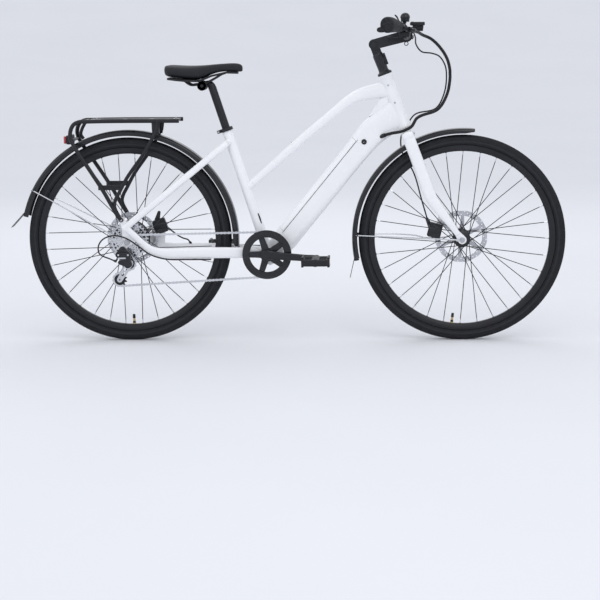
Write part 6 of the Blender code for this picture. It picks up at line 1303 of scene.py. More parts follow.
neck_rows = [(*seat(post_top - 0.02), 0.0268, 0.0268),
    (*seat(post_top - 0.004, -0.001), 0.0258, 0.025),
    (*seat(post_top + 0.0045, -0.006), 0.023, 0.022),
    (*seat(post_top + 0.008, -0.016), 0.02, 0.021)]
piece("seat_post", [bar(seat(0.295), seat(post_top - 0.01), 0.0136, 44, 0.0008),
    lofted(neck_rows, 36), cross_bar(CLAMP, 0.013, -0.014, 0.014, 44, 0.001),
    block((CLAMP + seat(post_top + 0.002)) / 2, (0.034, 0.0196, 0.0136), 0.003, tilt=SEAT_TILT)],
    "post", satin, "seatpost")


def saddle_skin():
    """Cushion from a coarse cage: broad waisted rear, drawn-down skirts, slim nose."""
    origin = CLAMP - AHEAD * 0.1268
    stations = ((0.0, 0.46, 0.065, 0.04), (0.03, 0.78, 0.0725, 0.031), (0.13, 1.0, 0.0715, 0.028),
        (0.22, 1.0, 0.0698, 0.0245), (0.3, 0.96, 0.069, 0.022), (0.38, 0.84, 0.0688, 0.0205),
        (0.45, 0.69, 0.0692, 0.0205), (0.52, 0.54, 0.07, 0.027), (0.58, 0.43, 0.071, 0.036),
        (0.66, 0.36, 0.0726, 0.043), (0.75, 0.32, 0.074, 0.047), (0.83, 0.3, 0.075, 0.0465),
        (0.9, 0.27, 0.075, 0.0455), (0.96, 0.22, 0.072, 0.045), (0.99, 0.14, 0.064, 0.046))
    bm = bmesh.new()
    last = set()
    for i, (share, wide, crown, skirt) in enumerate(stations):
        ends = i in (0, len(stations) - 1)
        made = bmesh.ops.create_circle(bm, cap_ends=ends, segments=20, radius=1.0)["verts"]
        half = SADDLE_WIDTH / 2 * wide
        x = origin.x + SADDLE_LENGTH * share
        for vert in made:
            side, up = vert.co.x, vert.co.y
            rounded = math.copysign(abs(side) ** 0.72, side)
            lift = 0.5 + 0.5 * math.copysign(abs(up) ** 0.8, up)
            pinch = 1.0 - 0.1 * (1.0 - lift) - (0.16 if up > 0.55 else 0.0) * (up - 0.55)
            fade = min(1.0, max(0.0, 1.15 - share))
            dip = 0.0042 * math.exp(-(side / 0.2) ** 2) * max(0.0, up) * fade
            vert.co = (x, half * rounded * pinch, origin.z + skirt + (crown - skirt) * lift - dip)
        loop = {edge for vert in made for edge in vert.link_edges}
        if last:
            bmesh.ops.bridge_loops(bm, edges=list(last | loop))
        last = loop
    return bm


vinyl = saddle_vinyl()
cushion = piece("saddle_cushion", saddle_skin(), "saddle", vinyl, "saddle_pad", angle=180.0)
soft = cushion.modifiers.new("soft", "SUBSURF")
soft.levels = 2
soft.render_levels = 2
half_rail = 0.022
rail_shapes = []
for side in (1, -1):
    route = [(-0.066, 0.0215, 1.4), (-0.06, 0.0185, 1.35), (-0.05, 0.01, 1.15),
        (-0.038, 0.003, 1.0), (-0.02, 0.003, 1.0), (0.004, 0.008, 1.0), (0.02, 0.0125, 0.98),
        (0.048, 0.027, 0.72), (0.066, 0.0375, 0.5), (0.078, 0.041, 0.42)]
    rail_shapes.append(piped([CLAMP + Vector((x, side * half_rail * wide, z))
        for x, z, wide in route], 0.0035))
piece("saddle_rails", rail_shapes, "saddle", satin, "saddle_base")
clamp_shapes = [cross_bar(CLAMP, 0.0165, side * 0.0145, side * 0.0262, 44, 0.0016)
    for side in (1, -1)]
piece("saddle_clamp", clamp_shapes, "saddle", forged)
piece("saddle_clamp_bolt", [cross_bar(CLAMP, 0.004, -0.0296, 0.0296, 24), cross_bar(CLAMP, 0.0062,
    0.0262, 0.029, 6, 0.0005), cross_bar(CLAMP, 0.0062, -0.029, -0.0262, 6, 0.0005)], "saddle",
    satin)
refined("saddle_base", moulded, 0.001)

# Fork
CROWN = 0.393
blade_rows = []
for share, bend, deep, wide, left in ((0.0, 0.001, 0.04, 0.026, 0.043),
        (0.1406, -0.0063, 0.041, 0.025, 0.0465), (0.3412, -0.0161, 0.041, 0.024, 0.051),
        (0.5643, -0.0261, 0.039, 0.021, 0.0545), (0.7011, -0.0195, 0.033, 0.018, 0.056),
        (0.8213, -0.0104, 0.025, 0.014, 0.057), (0.94, -0.0042, 0.018, 0.01, 0.0565)):
    blade_rows.append((*between(steer(CROWN), FRONT_AXLE, share, bend, left), deep, wide))
piece("fork_blades", twin(lofted(blade_rows, 32, 2.3, 7)), "steering", enamel, "fork", angle=60.0)
crown_rows = [(*steer(CROWN, 0.0, left), 0.03 * share, 0.041 * share)
    for left, share in ((-0.0575, 0.55), (-0.055, 0.8), (-0.05, 0.93), (-0.04, 0.99), (0.0, 1.0),
    (0.04, 0.99), (0.05, 0.93), (0.055, 0.8), (0.0575, 0.55))]
piece("fork_crown", lofted(crown_rows, 32, 2.6, 4, STEER_AHEAD), "steering", enamel, "fork",
    angle=60.0)
race = HEAD_LOW - 0.0003
piece("fork_neck", spun([(0.0, race), (0.0215, race), (0.0225, race - 0.0008),
    (0.0225, race - 0.0048), (0.0205, race - 0.008), (0.0195, race - 0.013), (0.0195, CROWN),
    (0.0, CROWN)], STEER_FOOT, way=STEER_UP, ring=False), "steering", enamel, "fork")
tips = []
fx, fz = FRONT_AXLE.x, FRONT_AXLE.z
for low, high in ((0.0503, 0.0563), (-0.0563, -0.0503)):
    tips.append(strap(low, high, (fx, fz, 0.0145), (fx - 0.019, fz + 0.026, 0.0085), soften=0.001,
        holes=[circle(fx, fz, 0.0056, 24)]))
cx, cz = FRONT_AXLE.x - 0.09, FRONT_AXLE.z + 0.021
tips.append(strap(0.059, 0.0635, (cx + 0.012, cz + 0.01, 0.008), (cx + 0.048, cz + 0.034, 0.008),
    (cx + 0.022, cz + 0.052, 0.008), soften=0.0008))
piece("fork_tips", tips, "steering", enamel, "fork")
piece("crown_bolt", [bar(steer(CROWN - 0.001, 0.0175), steer(CROWN - 0.001, 0.0222), 0.006, 32,
    0.001), bar(steer(CROWN - 0.001, 0.0221), steer(CROWN - 0.001, 0.0243), 0.004, 6, 0.0005)],
    "steering", steel, "fork")

# Stem
PIVOT = steer(0.717)
BAR_AT = PIVOT + Vector((0.1084, 0.0, 0.0276))
riser_low = HEAD_HIGH + 0.0003
shoulder = 0.68
neck_tilt = HEAD_ANGLE - math.pi / 2
piece("stem_column", spun([(0.0, shoulder + 0.004), (0.0158, shoulder + 0.004),
    (0.0172, shoulder + 0.001), (0.018, shoulder - 0.004), (0.0176, shoulder - 0.02),
    (0.0166, riser_low + 0.022), (0.0168, riser_low + 0.014), (0.019, riser_low + 0.0098),
    (0.024, riser_low + 0.0072), (0.0247, riser_low + 0.006), (0.0247, riser_low + 0.0008),
    (0.0242, riser_low), (0.0, riser_low)], STEER_FOOT, 56, STEER_UP, False), "steering", forged,
    "stem_riser")
piece("stem_knuckle", [cross_bar(PIVOT, 0.0175, -0.0103, 0.0103, 48, 0.0008),
    block(steer(shoulder + 0.016), (0.0306, 0.02, 0.036), 0.002, tilt=neck_tilt),
    *[block(steer(shoulder - 0.021, 0.0172, side * 0.0052), (0.0126, 0.0076, 0.04), 0.0022,
    tilt=neck_tilt) for side in (1, -1)]], "steering", forged, "stem_riser")
piece("stem_clamp_bolts", [bar(steer(shoulder - 0.021 + up, 0.019, low),
    steer(shoulder - 0.021 + up, 0.019, high), radius, sides, soften) for up in (-0.011, 0.011)
    for low, high, radius, sides, soften in ((-0.0118, 0.0118, 0.0028, 20, 0.0003),
    (-0.012, -0.0088, 0.004, 24, 0.0006))], "steering", satin)
piece("stem_recess", strap(-0.0182, -0.017, (steer(0.632).x, steer(0.632).z, 0.0058),
    (steer(0.649).x, steer(0.649).z, 0.0058), soften=0.0003), "steering", gloss)
refined("stem_arm", forged, 0.0016, 40.0, 3, block(BAR_AT - UP * 0.0339, (0.03, 0.03, 0.0262),
    0.0002, 1))
piece("stem_ring", spun([polar(0.006, 0.0, 0.0014, a) for a in around(12)], BAR_AT - UP * 0.0264,
    36), "bar", forged)
piece("stem_joint_rings",
    [spun([(0.0118, side * 0.0208), (0.0136, side * 0.0208), (0.014, side * 0.0212),
    (0.0136, side * 0.0216), (0.0118, side * 0.0216)], PIVOT, 44) for side in (1, -1)], "bar",
    satin)
piece("stem_joint_bolts", [cross_bar(PIVOT, 0.0052, side * 0.0218, side * 0.0236, 6, 0.0005)
    for side in (1, -1)], "bar", forged)

# Handlebar, grips and levers
half_bar = [(0.9508, 0.034, 1.0337, 1.432), (0.9503, 0.052, 1.0367, 1.1),
    (0.9468, 0.09, 1.0487, 1.0), (0.9428, 0.125, 1.0572, 1.0), (0.9358, 0.16, 1.0627, 1.0),
    (0.9238, 0.195, 1.0642, 1.0), (0.8898, 0.3211, 1.0623, 1.0)]
whole_bar = [(x, -y, z, r) for x, y, z, r in half_bar[::-1]] + half_bar
piece("handlebar_tube", piped([Vector(row[:3]) for row in whole_bar], 0.011, 7,
    radii=[row[3] for row in whole_bar]), "bar", satin, "handlebar")
GRIP_IN = Vector((0.92375, 0.195, 1.06422))
GRIP_OUT = Vector((0.88875, 0.325, 1.06222))
GRIP_WAY = (GRIP_OUT - GRIP_IN).normalized()


def along_grip(rows):
    """Stations along the left grip from (share, depth, width, setback, rise)."""
    return [(*GRIP_IN.lerp(GRIP_OUT, share) + Vector((-back, 0.0, rise)), deep, wide)
        for share, deep, wide, back, rise in rows]


def grip(side):
    """Soft grip with a palm wing, a collar and an end plug."""
    barrel = along_grip(((0.0, 0.032, 0.032, 0.0, 0.0), (0.015, 0.035, 0.035, 0.0, 0.0),
        (0.1, 0.038, 0.037, 0.0, 0.001), (0.45, 0.042, 0.044, 0.0, 0.005),
        (0.7, 0.046, 0.049, 0.001, 0.0075), (0.8, 0.047, 0.05, 0.002, 0.008),
        (0.93, 0.046, 0.05, 0.002, 0.008), (0.975, 0.043, 0.046, 0.002, 0.008),
        (0.995, 0.038, 0.04, 0.002, 0.008)))
    wing = along_grip(((0.45, 0.02, 0.012, 0.014, -0.002), (0.6, 0.026, 0.014, 0.018, -0.004),
        (0.8, 0.03, 0.016, 0.0205, -0.006), (0.95, 0.028, 0.016, 0.0215, -0.007),
        (0.985, 0.021, 0.011, 0.0205, -0.007)))
    sleeve = together(lofted(barrel, 32, 2.2, side=UP), lofted(wing, 24, side=UP))
    collar = bar(GRIP_IN - GRIP_WAY * 0.0055, GRIP_IN + GRIP_WAY * 0.001, 0.015, 36, 0.0008)
    plug = bar(GRIP_OUT - GRIP_WAY * 0.002, GRIP_OUT - GRIP_WAY * 0.0002, 0.011, 32, 0.0005, 0.0095)
    name = "left" if side > 0 else "right"
    shapes = [sleeve, collar, plug]
    if side < 0:
        shapes = [other_side(shape) for shape in shapes]
    centre = Vector((GRIP_IN.x, side * GRIP_IN.y, GRIP_IN.z))
    piece("grip_" + name + "_rubber", shapes[0], "bar", grip_rubber("grip_rubber_" + name, centre),
        "grip_" + name, angle=60.0)
    piece("grip_" + name + "_trim", together(*shapes[1:]), "bar", satin)


grip(1)
grip(-1)
CLAMP_SPOT = Vector((0.92958, 0.178, 1.06349))
CLAMP_WAY = Vector((-0.32406, 0.94517, 0.04051))
LEVER_PIVOT = Vector((0.96258, 0.174, 1.05299))


def brake_lever(side):
    """Two-finger blade with a hooked neck, a hub on its pin and a ball end."""
    p = LEVER_PIVOT
    rows = [(*p + Vector((x, y, 0.0)), deep, thick) for x, y, deep, thick in (
        (0.0, 0.003, 0.012, 0.007), (0.0055, 0.0105, 0.0135, 0.0072), (0.01, 0.018, 0.012, 0.0074),
        (0.013, 0.03, 0.0102, 0.0078), (0.014, 0.045, 0.0094, 0.0078),
        (0.012, 0.064, 0.0088, 0.0077), (0.011, 0.082, 0.0088, 0.0077),
        (0.0103, 0.1, 0.0085, 0.0075), (0.01, 0.117, 0.0078, 0.007))]
    blade = lofted(rows, 24, 2.8, 4, UP)
    ball = bmesh.new()
    bmesh.ops.create_uvsphere(ball, u_segments=24, v_segments=16, radius=0.0064)
    bmesh.ops.translate(ball, verts=ball.verts, vec=p + Vector((0.01, 0.1208, 0.0)))
    hub = bar(p - UP * 0.0039, p + UP * 0.0039, 0.0068, 32, 0.0006)
    pin = [bar(p - UP * 0.01, p + UP * 0.01, 0.0021, 16, 0.0003),
        bar(p + UP * 0.0088, p + UP * 0.0103, 0.004, 6, 0.0004)]
    fitting = [bar(CLAMP_SPOT + Vector((0.006, 0.0, -0.012)) - CLAMP_WAY * 0.0078,
        CLAMP_SPOT + Vector((0.006, 0.0, -0.012)) + CLAMP_WAY * 0.0078, 0.0026, soften=0.0004),
        bar(p + Vector((0.004, -0.024, -0.0013)), p + Vector((0.0058, -0.0352, -0.002)), 0.0054,
        14, 0.0008), bar(p + Vector((0.005, -0.0295, -0.0016)),
        p + Vector((0.0053, -0.031, -0.0017)), 0.006, 14, 0.0003)]
    name = "left" if side > 0 else "right"
    groups = [together(blade, ball, hub), together(*pin), together(*fitting)]
    if side < 0:
        groups = [other_side(shape) for shape in groups]
    piece("lever_blade_" + name, groups[0], "lever_" + name, forged, "brake_lever_" + name,
        angle=50.0)
    piece("lever_pin_" + name, groups[1], "lever_" + name, steel)
    piece("lever_adjuster_" + name, groups[2], "bar", steel)
    refined("brake_bracket_" + name, forged, 0.0012, 30.0, 3)


brake_lever(1)
brake_lever(-1)

# Bell, shifter and display
BELL_AT = Vector((0.94605, -0.141, 1.07973))
BELL_SPOT = Vector((0.93955, -0.141, 1.05973))
BELL_WAY = Vector((-0.19383, -0.96914, 0.1523))
dome = [(0.0, 0.0165), (0.003, 0.0164), (0.0065, 0.0157), (0.01, 0.0139), (0.0129, 0.0108),
    (0.0149, 0.007), (0.0158, 0.0035), (0.016, 0.0012), (0.016, 0.0002), (0.015, 0.0), (0.0, 0.0)]
DOME_AT = BELL_AT + UP * 0.0125
piece("bell_dome", spun(dome, DOME_AT, 56, UP, False), "bar", gloss, "bell", angle=50.0)
piece("bell_mount", [spun([(0.0114, -0.005), (0.014, -0.005), (0.0143, -0.0046), (0.0143, 0.0046),
    (0.014, 0.005), (0.0114, 0.005)], BELL_SPOT, 40, BELL_WAY),
    bar(BELL_SPOT + Vector((0.001, 0.0, 0.011)), BELL_AT + UP * 0.001, 0.0056, 24, 0.0006, 0.006),
    bar(BELL_AT - UP * 0.0005, DOME_AT + UP * 0.0006, 0.0132, 40, 0.002, 0.015),
    block(BELL_SPOT + Vector((-0.015, 0.0, -0.001)), (0.006, 0.008, 0.009), 0.0016)], "bar",
    moulded)
piece("bell_screws", [bar(DOME_AT + UP * 0.016, DOME_AT + UP * 0.0172, 0.0028, 24, 0.0004),
    bar(BELL_SPOT + Vector((-0.015, -0.0056, -0.001)),
    BELL_SPOT + Vector((-0.015, 0.0052, -0.001)), 0.0018, 16, 0.0003)], "bar", steel)
STRIKER = Vector((0.92635, -0.141, 1.08073))
piece("bell_striker", [bar(STRIKER - LEFT * 0.004, STRIKER + LEFT * 0.004, 0.0034, 24, 0.0005),
    lofted([(*STRIKER + Vector((-0.0006, 0.0, 0.0008)), 0.004, 0.0048),
    (*STRIKER + Vector((-0.0036, 0.0, 0.008)), 0.0046, 0.0052),
    (*STRIKER + Vector((-0.0084, 0.0, 0.016)), 0.0054, 0.007),
    (*STRIKER + Vector((-0.014, 0.0, 0.0215)), 0.004, 0.006)], 20, per=4)], "bell_thumb", moulded,
    "bell_lever", angle=60.0)
POD_AT = Vector((0.94255, -0.1585, 1.03959))
THUMB = Vector((0.94255, -0.1585, 1.03029))
refined("shifter", moulded, 0.0024, 28.0, 4)
piece("shifter_adjuster", [bar(POD_AT + Vector((0.0165, 0.0, 0.001)),
    POD_AT + Vector((0.0172, 0.0, 0.001)), 0.006, 24, 0.0003),
    block(POD_AT + Vector((-0.0005, -0.0088, 0.0)), (0.02, 0.0008, 0.009), 0.0003)], "bar", satin)
refined("shifter_lever", moulded, 0.0008, 28.0, 3)
piece("shifter_ribs", [block(THUMB + Vector((-0.0335 + 0.0024 * i, 0.005, -0.0041)),
    (0.001, 0.0086, 0.0007), 0.0002, 2) for i in range(6)], "shift_thumb", satin)
DISPLAY_AT = Vector((0.98775, 0.0, 1.07272))
KEY_X = -0.0165
KEY_SIDES = (-0.01, 0.01)
case = block(DISPLAY_AT, (0.0488, 0.0658, 0.0118), 0.0032, 5)
for y in KEY_SIDES:
    case = cut_by(case, bar(DISPLAY_AT + Vector((KEY_X, y, 0.003)),
        DISPLAY_AT + Vector((KEY_X, y, 0.012)), 0.0043, 32))
mount = [spun([(0.0209, 0.03), (0.0205, 0.0304), (0.0168, 0.0304), (0.0168, 0.0236),
    (0.0205, 0.0236), (0.0209, 0.024)], BAR_AT, 44),
    lofted([(*BAR_AT + Vector((0.0125, 0.0268, 0.017)), 0.011, 0.005),
    (*BAR_AT + Vector((0.024, 0.0268, 0.0262)), 0.009, 0.0054),
    (*BAR_AT + Vector((0.038, 0.0268, 0.035)), 0.008, 0.0052)], 20, 3.0, 3),
    block(BAR_AT + Vector((0.0215, 0.0268, -0.004)), (0.007, 0.0064, 0.009), 0.0014)]
piece("display_case", case, "bar", moulded, "display", angle=40.0)
piece("display_mount", twin(together(*mount)), "bar", moulded, angle=40.0)
piece("display_mount_bolts", twin(bar(BAR_AT + Vector((0.0222, 0.023, -0.004)),
    BAR_AT + Vector((0.0222, 0.0306, -0.004)), 0.002, 16, 0.0003)), "bar", steel)
piece("display_body", [block(DISPLAY_AT + Vector((0.002, 0.0, -0.0105)), (0.036, 0.05, 0.013),
    0.0036, 4), block(DISPLAY_AT + Vector((0.007, 0.0, -0.019)), (0.024, 0.038, 0.011), 0.003, 4)],
    "bar", moulded)
piece("display_glass", block(DISPLAY_AT + Vector((0.006, 0.0, 0.0058)), (0.031, 0.056, 0.001),
    0.0005, 2), "bar", screen_glass())
piece("display_key_rims",
    [spun([(0.0044, -0.0004), (0.0044, 0.0006), (0.0052, 0.0006), (0.0056, 0.0)],
    DISPLAY_AT + Vector((KEY_X, y, 0.0059)), 32, UP) for y in KEY_SIDES], "bar", satin)
for name, y in zip(("key_minus", "key_plus"), KEY_SIDES):
    foot = DISPLAY_AT + Vector((KEY_X, y, 0.0045))
    piece(name + "_cap", spun([(0.0, 0.0), (0.0038, 0.0), (0.0039, 0.0004), (0.0039, 0.0019),
        (0.0036, 0.0024), (0.0024, 0.0026), (0.0, 0.0026)], foot, 32, UP, False), name,
        grip_rubber(name + "_rubber", foot), name)

# Rear rack
rail_points = [(-0.0177, 0.0813, 0.428), (-0.0269, 0.0813, 0.4405), (-0.0764, 0.079, 0.5288),
    (-0.1361, 0.075, 0.623), (-0.1727, 0.069, 0.6804), (-0.1838, 0.065, 0.706),
    (-0.1835, 0.061, 0.729), (-0.173, 0.0575, 0.75), (-0.154, 0.055, 0.759), (-0.13, 0.055, 0.76),
    (0.185, 0.055, 0.76)]
stay_points = [(-0.0215, 0.0813, 0.435), (-0.0385, 0.08, 0.476), (-0.033, 0.0795, 0.499),
    (-0.0216, 0.079, 0.5196), (0.0069, 0.078, 0.5705), (0.0635, 0.074, 0.6485),
    (0.0916, 0.069, 0.6958), (0.106, 0.061, 0.725), (0.112, 0.055, 0.757)]
rack_half = together(piped(rail_points, 0.007, 6), piped(stay_points, 0.0063, 6),
    cross_bar(rear(-0.0177, 0.077), 0.008, 0.0741, 0.0815, 36, 0.001),
    block(rear(-0.051, 0.187, 0.079), (0.082, 0.0034, 0.017), 0.0014),
    lofted([(0.1035, 0.06, 0.712, 0.017, 0.0046), (0.105, 0.0585, 0.728, 0.023, 0.0046),
    (0.1065, 0.0555, 0.758, 0.029, 0.0046)], 24, 4.0, 3), block(rear(0.1835, 0.409, 0.055),
    (0.004, 0.0125, 0.0125), 0.0016))
rack_bars = [cross_bar(Vector((x, 0.0, z)), radius, -half, half, 24, 0.0004)
    for x, z, radius, half in ((-0.118, 0.76, 0.0046, 0.055), (0.02, 0.76, 0.0046, 0.055),
    (0.176, 0.76, 0.0046, 0.055), (-0.1826, 0.697, 0.0051, 0.066), (-0.14, 0.76, 0.0044, 0.055))]
rack_straps = [block(Vector((0.105, y, 0.7365)), (0.0045, 0.016, 0.047), 0.001)
    for y in (-0.018, 0.018)]
lamp_arm = piped(((-0.14, 0.0, 0.76), (-0.156, 0.0, 0.731), (-0.16, 0.0, 0.713),
    (-0.151, 0.0, 0.6985)), 0.0057, 5)
piece("rack_tubes", [twin(rack_half), lamp_arm, *rack_bars, *rack_straps], "frame", satin, "rack",
    angle=50.0)
deck_outline = [(-0.126, -0.03), (-0.1235, -0.034), (-0.118, -0.036), (0.17, -0.036),
    (0.179, -0.0335), (0.183, -0.024), (0.183, 0.024), (0.179, 0.0335), (0.17, 0.036),
    (-0.118, 0.036), (-0.1235, 0.034), (-0.126, 0.03)]
deck_slots = []
for i in range(3):
    low, high = -0.09 + 0.09 * i, -0.01 + 0.09 * i
    deck_slots.append([(low, 0.0), (low + 0.0025, 0.0058), (low + 0.01, 0.009),
        (high - 0.01, 0.009), (high - 0.0025, 0.0058), (high, 0.0), (high - 0.0025, -0.0058),
        (high - 0.01, -0.009), (low + 0.01, -0.009), (low + 0.0025, -0.0058)])
piece("rack_deck", sheet_metal([deck_outline] + deck_slots, -0.0012, 0.0012, 0.0005,
    Matrix.Translation((0.0, 0.0, 0.764))), "frame", satin, "rack")
piece("rack_bolts", [*[cross_bar(rear(-0.0177, 0.077), 0.0048, side * 0.0815, side * 0.0842, 24,
    0.0008) for side in (1, -1)], *[bar(Vector((x, y, 0.765)), Vector((x, y, 0.7668)), 0.0036,
    soften=0.0006) for x in (-0.108, 0.166) for y in (-0.026, 0.026)],
    *[bar(Vector((0.1022, y, 0.725)), Vector((0.101, y, 0.725)), 0.0034, soften=0.0004)
    for y in (-0.018, 0.018)]], "frame", steel)
LAMP_AT = Vector((-0.1966, 0.0, 0.697))
piece("lamp_case", [block(LAMP_AT, (0.0168, 0.0698, 0.0308), 0.0046, 5),
    block(LAMP_AT + Vector((-0.0075, 0.0, 0.0)), (0.0018, 0.068, 0.0288), 0.0006, 2)], "frame",
    moulded, "tail_light")
piece("lamp_lens", block(LAMP_AT + Vector((-0.0132, 0.0, 0.0)), (0.009, 0.066, 0.026), 0.0038, 5),
    "frame", prism_lens("red_lens", (0.5, 0.02, 0.028), (0.34, 0.012, 0.018), (0.62, 0.045, 0.05),
    1100.0, -0.4, 0.12, 80.0, 0.0006, coat_weight=1.0, coat_roughness=0.04), "tail_lens")

# Mudguards
GUARD_HALF = 0.025
TIP_SKIRT = 0.0098
FLAP_WIDTH = 0.046


def guard_section(outer, drop):
    """Section of a crowned blade, (radius, left), with its edges drawn down by drop."""
    half = GUARD_HALF
    crown = [(drop, half - 0.0002), (0.0085, half), (0.004, half - 0.002), (0.0012, half - 0.0065),
        (0.0002, half - 0.012), (0.0, 0.007)]
    under = [(drop + 0.0006, half - 0.001), (drop, half - 0.0016), (0.009, half - 0.0016),
        (0.005, half - 0.0036), (0.0028, half - 0.008), (0.002, half - 0.013), (0.0018, 0.0)]
    left_side = crown[::-1] + under
    return [(outer - fall, -left) for fall, left in crown] + [(outer - fall, left)
        for fall, left in left_side] + [(outer - fall, -left) for fall, left in under[-2::-1]]


def guard_blade(centre, outer, start, sweep, steps, taper, depth):
    """Long crowned blade; its skirts reach depth after the share taper of its length."""
    bm = bmesh.new()
    last = None
    for i in range(steps + 1):
        grown = min(1.0, i / steps / taper)
        section = guard_section(outer, TIP_SKIRT + (depth - TIP_SKIRT) * grown)
        way = facing(start + sweep * i / steps)
        ends = i in (0, steps)
        made = bmesh.ops.create_circle(bm, cap_ends=ends, segments=len(section),
            radius=1.0)["verts"]
        for vert, (radius, left) in zip(made, section):
            vert.co = centre + way * radius + LEFT * left
        loop = {edge for vert in made for edge in vert.link_edges}
        if last:
            bmesh.ops.bridge_loops(bm, edges=list(last | loop))
        last = loop
    return bm


def guard_point(centre, radius, degrees):
    """Place on a mudguard at a radius and an angle about its wheel."""
    return centre + facing(math.radians(degrees)) * radius


def guard_flap(start, end):
    """Soft flap at the end of a mudguard."""
    return lofted([(*start.lerp(end, share), thick, wide) for share, thick, wide in (
        (0.0, 0.0024, FLAP_WIDTH - 0.002), (0.2, 0.0023, FLAP_WIDTH), (0.5, 0.0022, FLAP_WIDTH),
        (0.9, 0.0021, FLAP_WIDTH), (1.0, 0.002, FLAP_WIDTH - 0.006))], 40, 7.0, 3)


def stay_wires(body, name, routes, clip):
    """Bright stay wires, their end eyes and the clips that hold them to the blade."""
    wires = []
    clips = []
    for side, route in zip((1, -1), routes):
        points = [Vector((x, side * y, z)) for x, y, z in route]
        wires.append(piped(points, 0.0024))
        wires.append(cross_bar(points[-1], 0.005, points[-1].y - 0.0024, points[-1].y + 0.0024, 24))
        clips.append(block(points[0] + Vector((0.004, -side * 0.0004, 0.0)), (0.015, 0.005, 0.008),
            0.0014, tilt=clip))
        clips.append(bar(points[0] + Vector((0.004, side * 0.001, 0.0)),
            points[0] + Vector((0.004, side * 0.0034, 0.0)), 0.0026, 6, 0.0003))
    piece(name + "_wires", wires, body, silver, angle=60.0)
    piece(name + "_clips", clips, body, satin)


piece("mudguard_rear_blade", guard_blade(REAR_AXLE, 0.377, math.radians(-3.6), math.radians(170.5),
    96, 0.001, 0.019), "frame", gloss, "mudguard_rear", angle=60.0)
flap_start = guard_point(REAR_AXLE, 0.374, 164.8)
piece("mudguard_rear_flap", guard_flap(flap_start, Vector((-0.4096, 0.0, 0.3968))), "frame", sheath)
low_way = -5.88158
boss_rows = ((0.3722, 44.996, 0.38379, 44.996, 0.007, 28, 0.0008),
    (0.3722, low_way + 3.4, 0.384, low_way, 0.0045, 20, 0.0),
    (0.38, low_way, 0.3928, low_way, 0.006, 24, 0.0006))
piece("mudguard_rear_bosses", [bar(guard_point(REAR_AXLE, inner, inner_way),
    guard_point(REAR_AXLE, outer, outer_way), radius, sides, soften)
    for inner, inner_way, outer, outer_way, radius, sides, soften in boss_rows], "frame", steel)
rear_wire = [(-0.33, 0.0246, 0.525), (-0.2558, 0.039, 0.487), (-0.017, 0.0765, 0.357)]
stay_wires("frame", "mudguard_rear", (rear_wire, rear_wire), -0.48)
piece("mudguard_front_blade", guard_blade(FRONT_AXLE, 0.3735, math.radians(83.4),
    math.radians(108.3), 64, 0.045, 0.0168), "steering", gloss, "mudguard_front", angle=60.0)
piece("mudguard_front_flap", guard_flap(guard_point(FRONT_AXLE, 0.3705, 190.0),
    front(-0.3805, -0.1333)), "steering", sheath)
piece("mudguard_front_boss", bar(guard_point(FRONT_AXLE, 0.3687, 117.835), guard_point(FRONT_AXLE,
    0.3797, 117.835), 0.009, 28, 0.001), "steering", steel)
right_wire = [(0.779, 0.0246, 0.364), (1.1215, 0.059, 0.3515)]
left_wire = [(0.779, 0.0246, 0.364), (0.978, 0.061, 0.353), (1.018, 0.066, 0.343),
    (1.078, 0.064, 0.345), (1.1215, 0.059, 0.3515)]
stay_wires("steering", "mudguard_front", (left_wire, right_wire), 0.05)

# Brake calipers
for name, body, centre, out, tilt in (
        ("caliper_front", "steering", front(-0.09 + 0.004, 0.021 - 0.014), 0.0587, 0.25),
        ("caliper_rear", "frame", rear(0.098 + 0.006, 0.04 - 0.014), 0.064, -0.35)):
    refined(name, forged, 0.0014, 30.0, 3)
    refined(name.replace("caliper", "caliper_arm"), forged, 0.0008, 30.0, 3)
    way = facing(-tilt) * 0.015
    piece(name + "_bolts", [bar(spot + LEFT * (out - 0.0004), spot + LEFT * (out + 0.0022), 0.0034,
        24, 0.0005) for spot in (centre + way, centre - way)], body, steel)


# Cables and hoses
def hose(name, node, points, radius, bodies, finish, ends=None):
    """Cable along its route, riding on the first body; where the ends are given it is taken off its
    body, its place baked into its mesh.
    """
    route = [Vector(row[:3]) - AHEAD * MIDDLE for row in eased(points, 8)]
    shape = piped(points, radius, 5, 8)
    made = piece(name, shape, bodies[0], finish, node, angle=70.0)
    if ends:
        made.parent = None
        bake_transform(made)


def wrapped_sheath(name):
    """Spiral wrap round the bundled cables."""
    made = Finish(name, (0.01, 0.01, 0.012), 0.45, specular_ior_level=0.3)
    x, y, z = made.parts_of(made.place)
    wave = made.sum("SINE", (z * 0.85 - x * 0.25 + y * 0.35) * 900.0)
    relief_and_shade = made.ramp(wave, -0.2, 0.5)
    # Painted shade: the gaps between the wrap's turns are darker in colour and the turns lighter.
    made.feed("Base Color", made.tint(relief_and_shade, (0.005, 0.005, 0.006), (0.016, 0.0165, 0.02)))
    made.feed("Roughness", 0.42 + made.noise(60.0) * 0.14)
    made.relief(relief_and_shade, 0.0007)
    return made.material


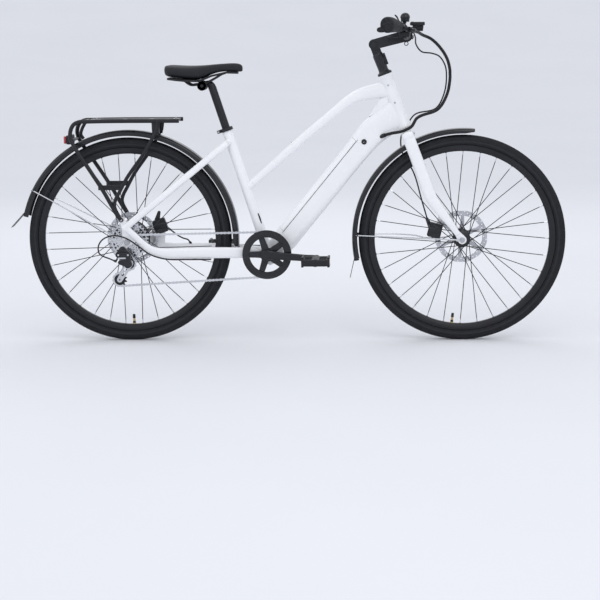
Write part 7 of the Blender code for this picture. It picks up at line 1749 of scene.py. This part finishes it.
upper_points = [(0.9687, -0.1377, 1.051), (0.9717, -0.1285, 1.0502), (0.9898, -0.085, 1.0447),
    (1.0045, -0.05, 1.0357), (1.0325, -0.025, 1.0227), (1.0605, -0.012, 0.9969),
    (1.0863, -0.005, 0.9572), (1.0965, -0.0012, 0.9177), (1.0967, -0.001, 0.9059)]
lower_points = [(1.0968, -0.001, 0.9056), (1.097, -0.0008, 0.8937), (1.0873, -0.006, 0.8395),
    (1.0569, -0.019, 0.7897), (0.9863, -0.033, 0.761), (0.967, -0.0395, 0.7326),
    (0.9493, -0.041, 0.7228), (0.9327, -0.043, 0.7167), (0.9005, -0.0437, 0.7113),
    (0.887, -0.0404, 0.7077), (0.8801, -0.0342, 0.705)]
brake_points = [(0.9687, 0.1377, 1.051), (0.9717, 0.1285, 1.0502), (0.982, 0.09, 1.0277),
    (0.984, 0.052, 1.0037), (1.003, 0.024, 0.9795), (1.037, 0.014, 0.974), (1.0606, 0.01, 0.9645),
    (1.0798, 0.01, 0.9357), (1.0853, 0.011, 0.9057), (1.0778, 0.012, 0.8407),
    (1.0508, 0.02, 0.7907), (0.981, 0.04, 0.7697), (0.9552, 0.06, 0.7357), (0.9337, 0.068, 0.6957),
    (0.9368, 0.068, 0.6383), (0.9752, 0.061, 0.5706), (1.003, 0.056, 0.476),
    (1.0189, 0.0522, 0.4216), (1.0217, 0.0522, 0.4123)]
hose_points = [(0.1322, 0.0585, 0.3758), (0.14, 0.0585, 0.37), (0.156, 0.06, 0.357),
    (0.174, 0.0615, 0.347), (0.1922, 0.062, 0.3404), (0.1968, 0.062, 0.3342)]
shift_points = [(0.285, -0.06, 0.289), (0.26, -0.068, 0.29), (0.21, -0.076, 0.291),
    (0.1295, -0.0868, 0.295), (0.0778, -0.0885, 0.312), (0.0376, -0.089, 0.3416),
    (-0.0034, -0.0935, 0.3684), (-0.045, -0.094, 0.3762), (-0.0798, -0.091, 0.3633),
    (-0.0964, -0.087, 0.3397), (-0.0945, -0.084, 0.3135), (-0.0568, -0.0811, 0.2938),
    (-0.0461, -0.0811, 0.2891)]
hose("control_bundle_upper", "control_loop_upper", upper_points, LOOP_RADIUS, ("steering", "bar"),
    wrapped_sheath("wrap_upper"), (upper_points[-2], upper_points[3]))
hose("control_bundle_lower", "control_loop_lower", lower_points, LOOP_RADIUS,
    ("frame", "steering"), wrapped_sheath("wrap_lower"), (lower_points[-2], lower_points[1]))
hose("brake_cable_sheath", "brake_cable_front", brake_points, CABLE_RADIUS, ("steering", "bar"),
    sheath, (brake_points[8], brake_points[3]))
hose("rear_hose_sheath", "rear_brake_hose", hose_points, CABLE_RADIUS, ("frame",), sheath)
hose("shift_housing_sheath", "shift_housing", shift_points, CABLE_RADIUS, ("frame",), sheath)
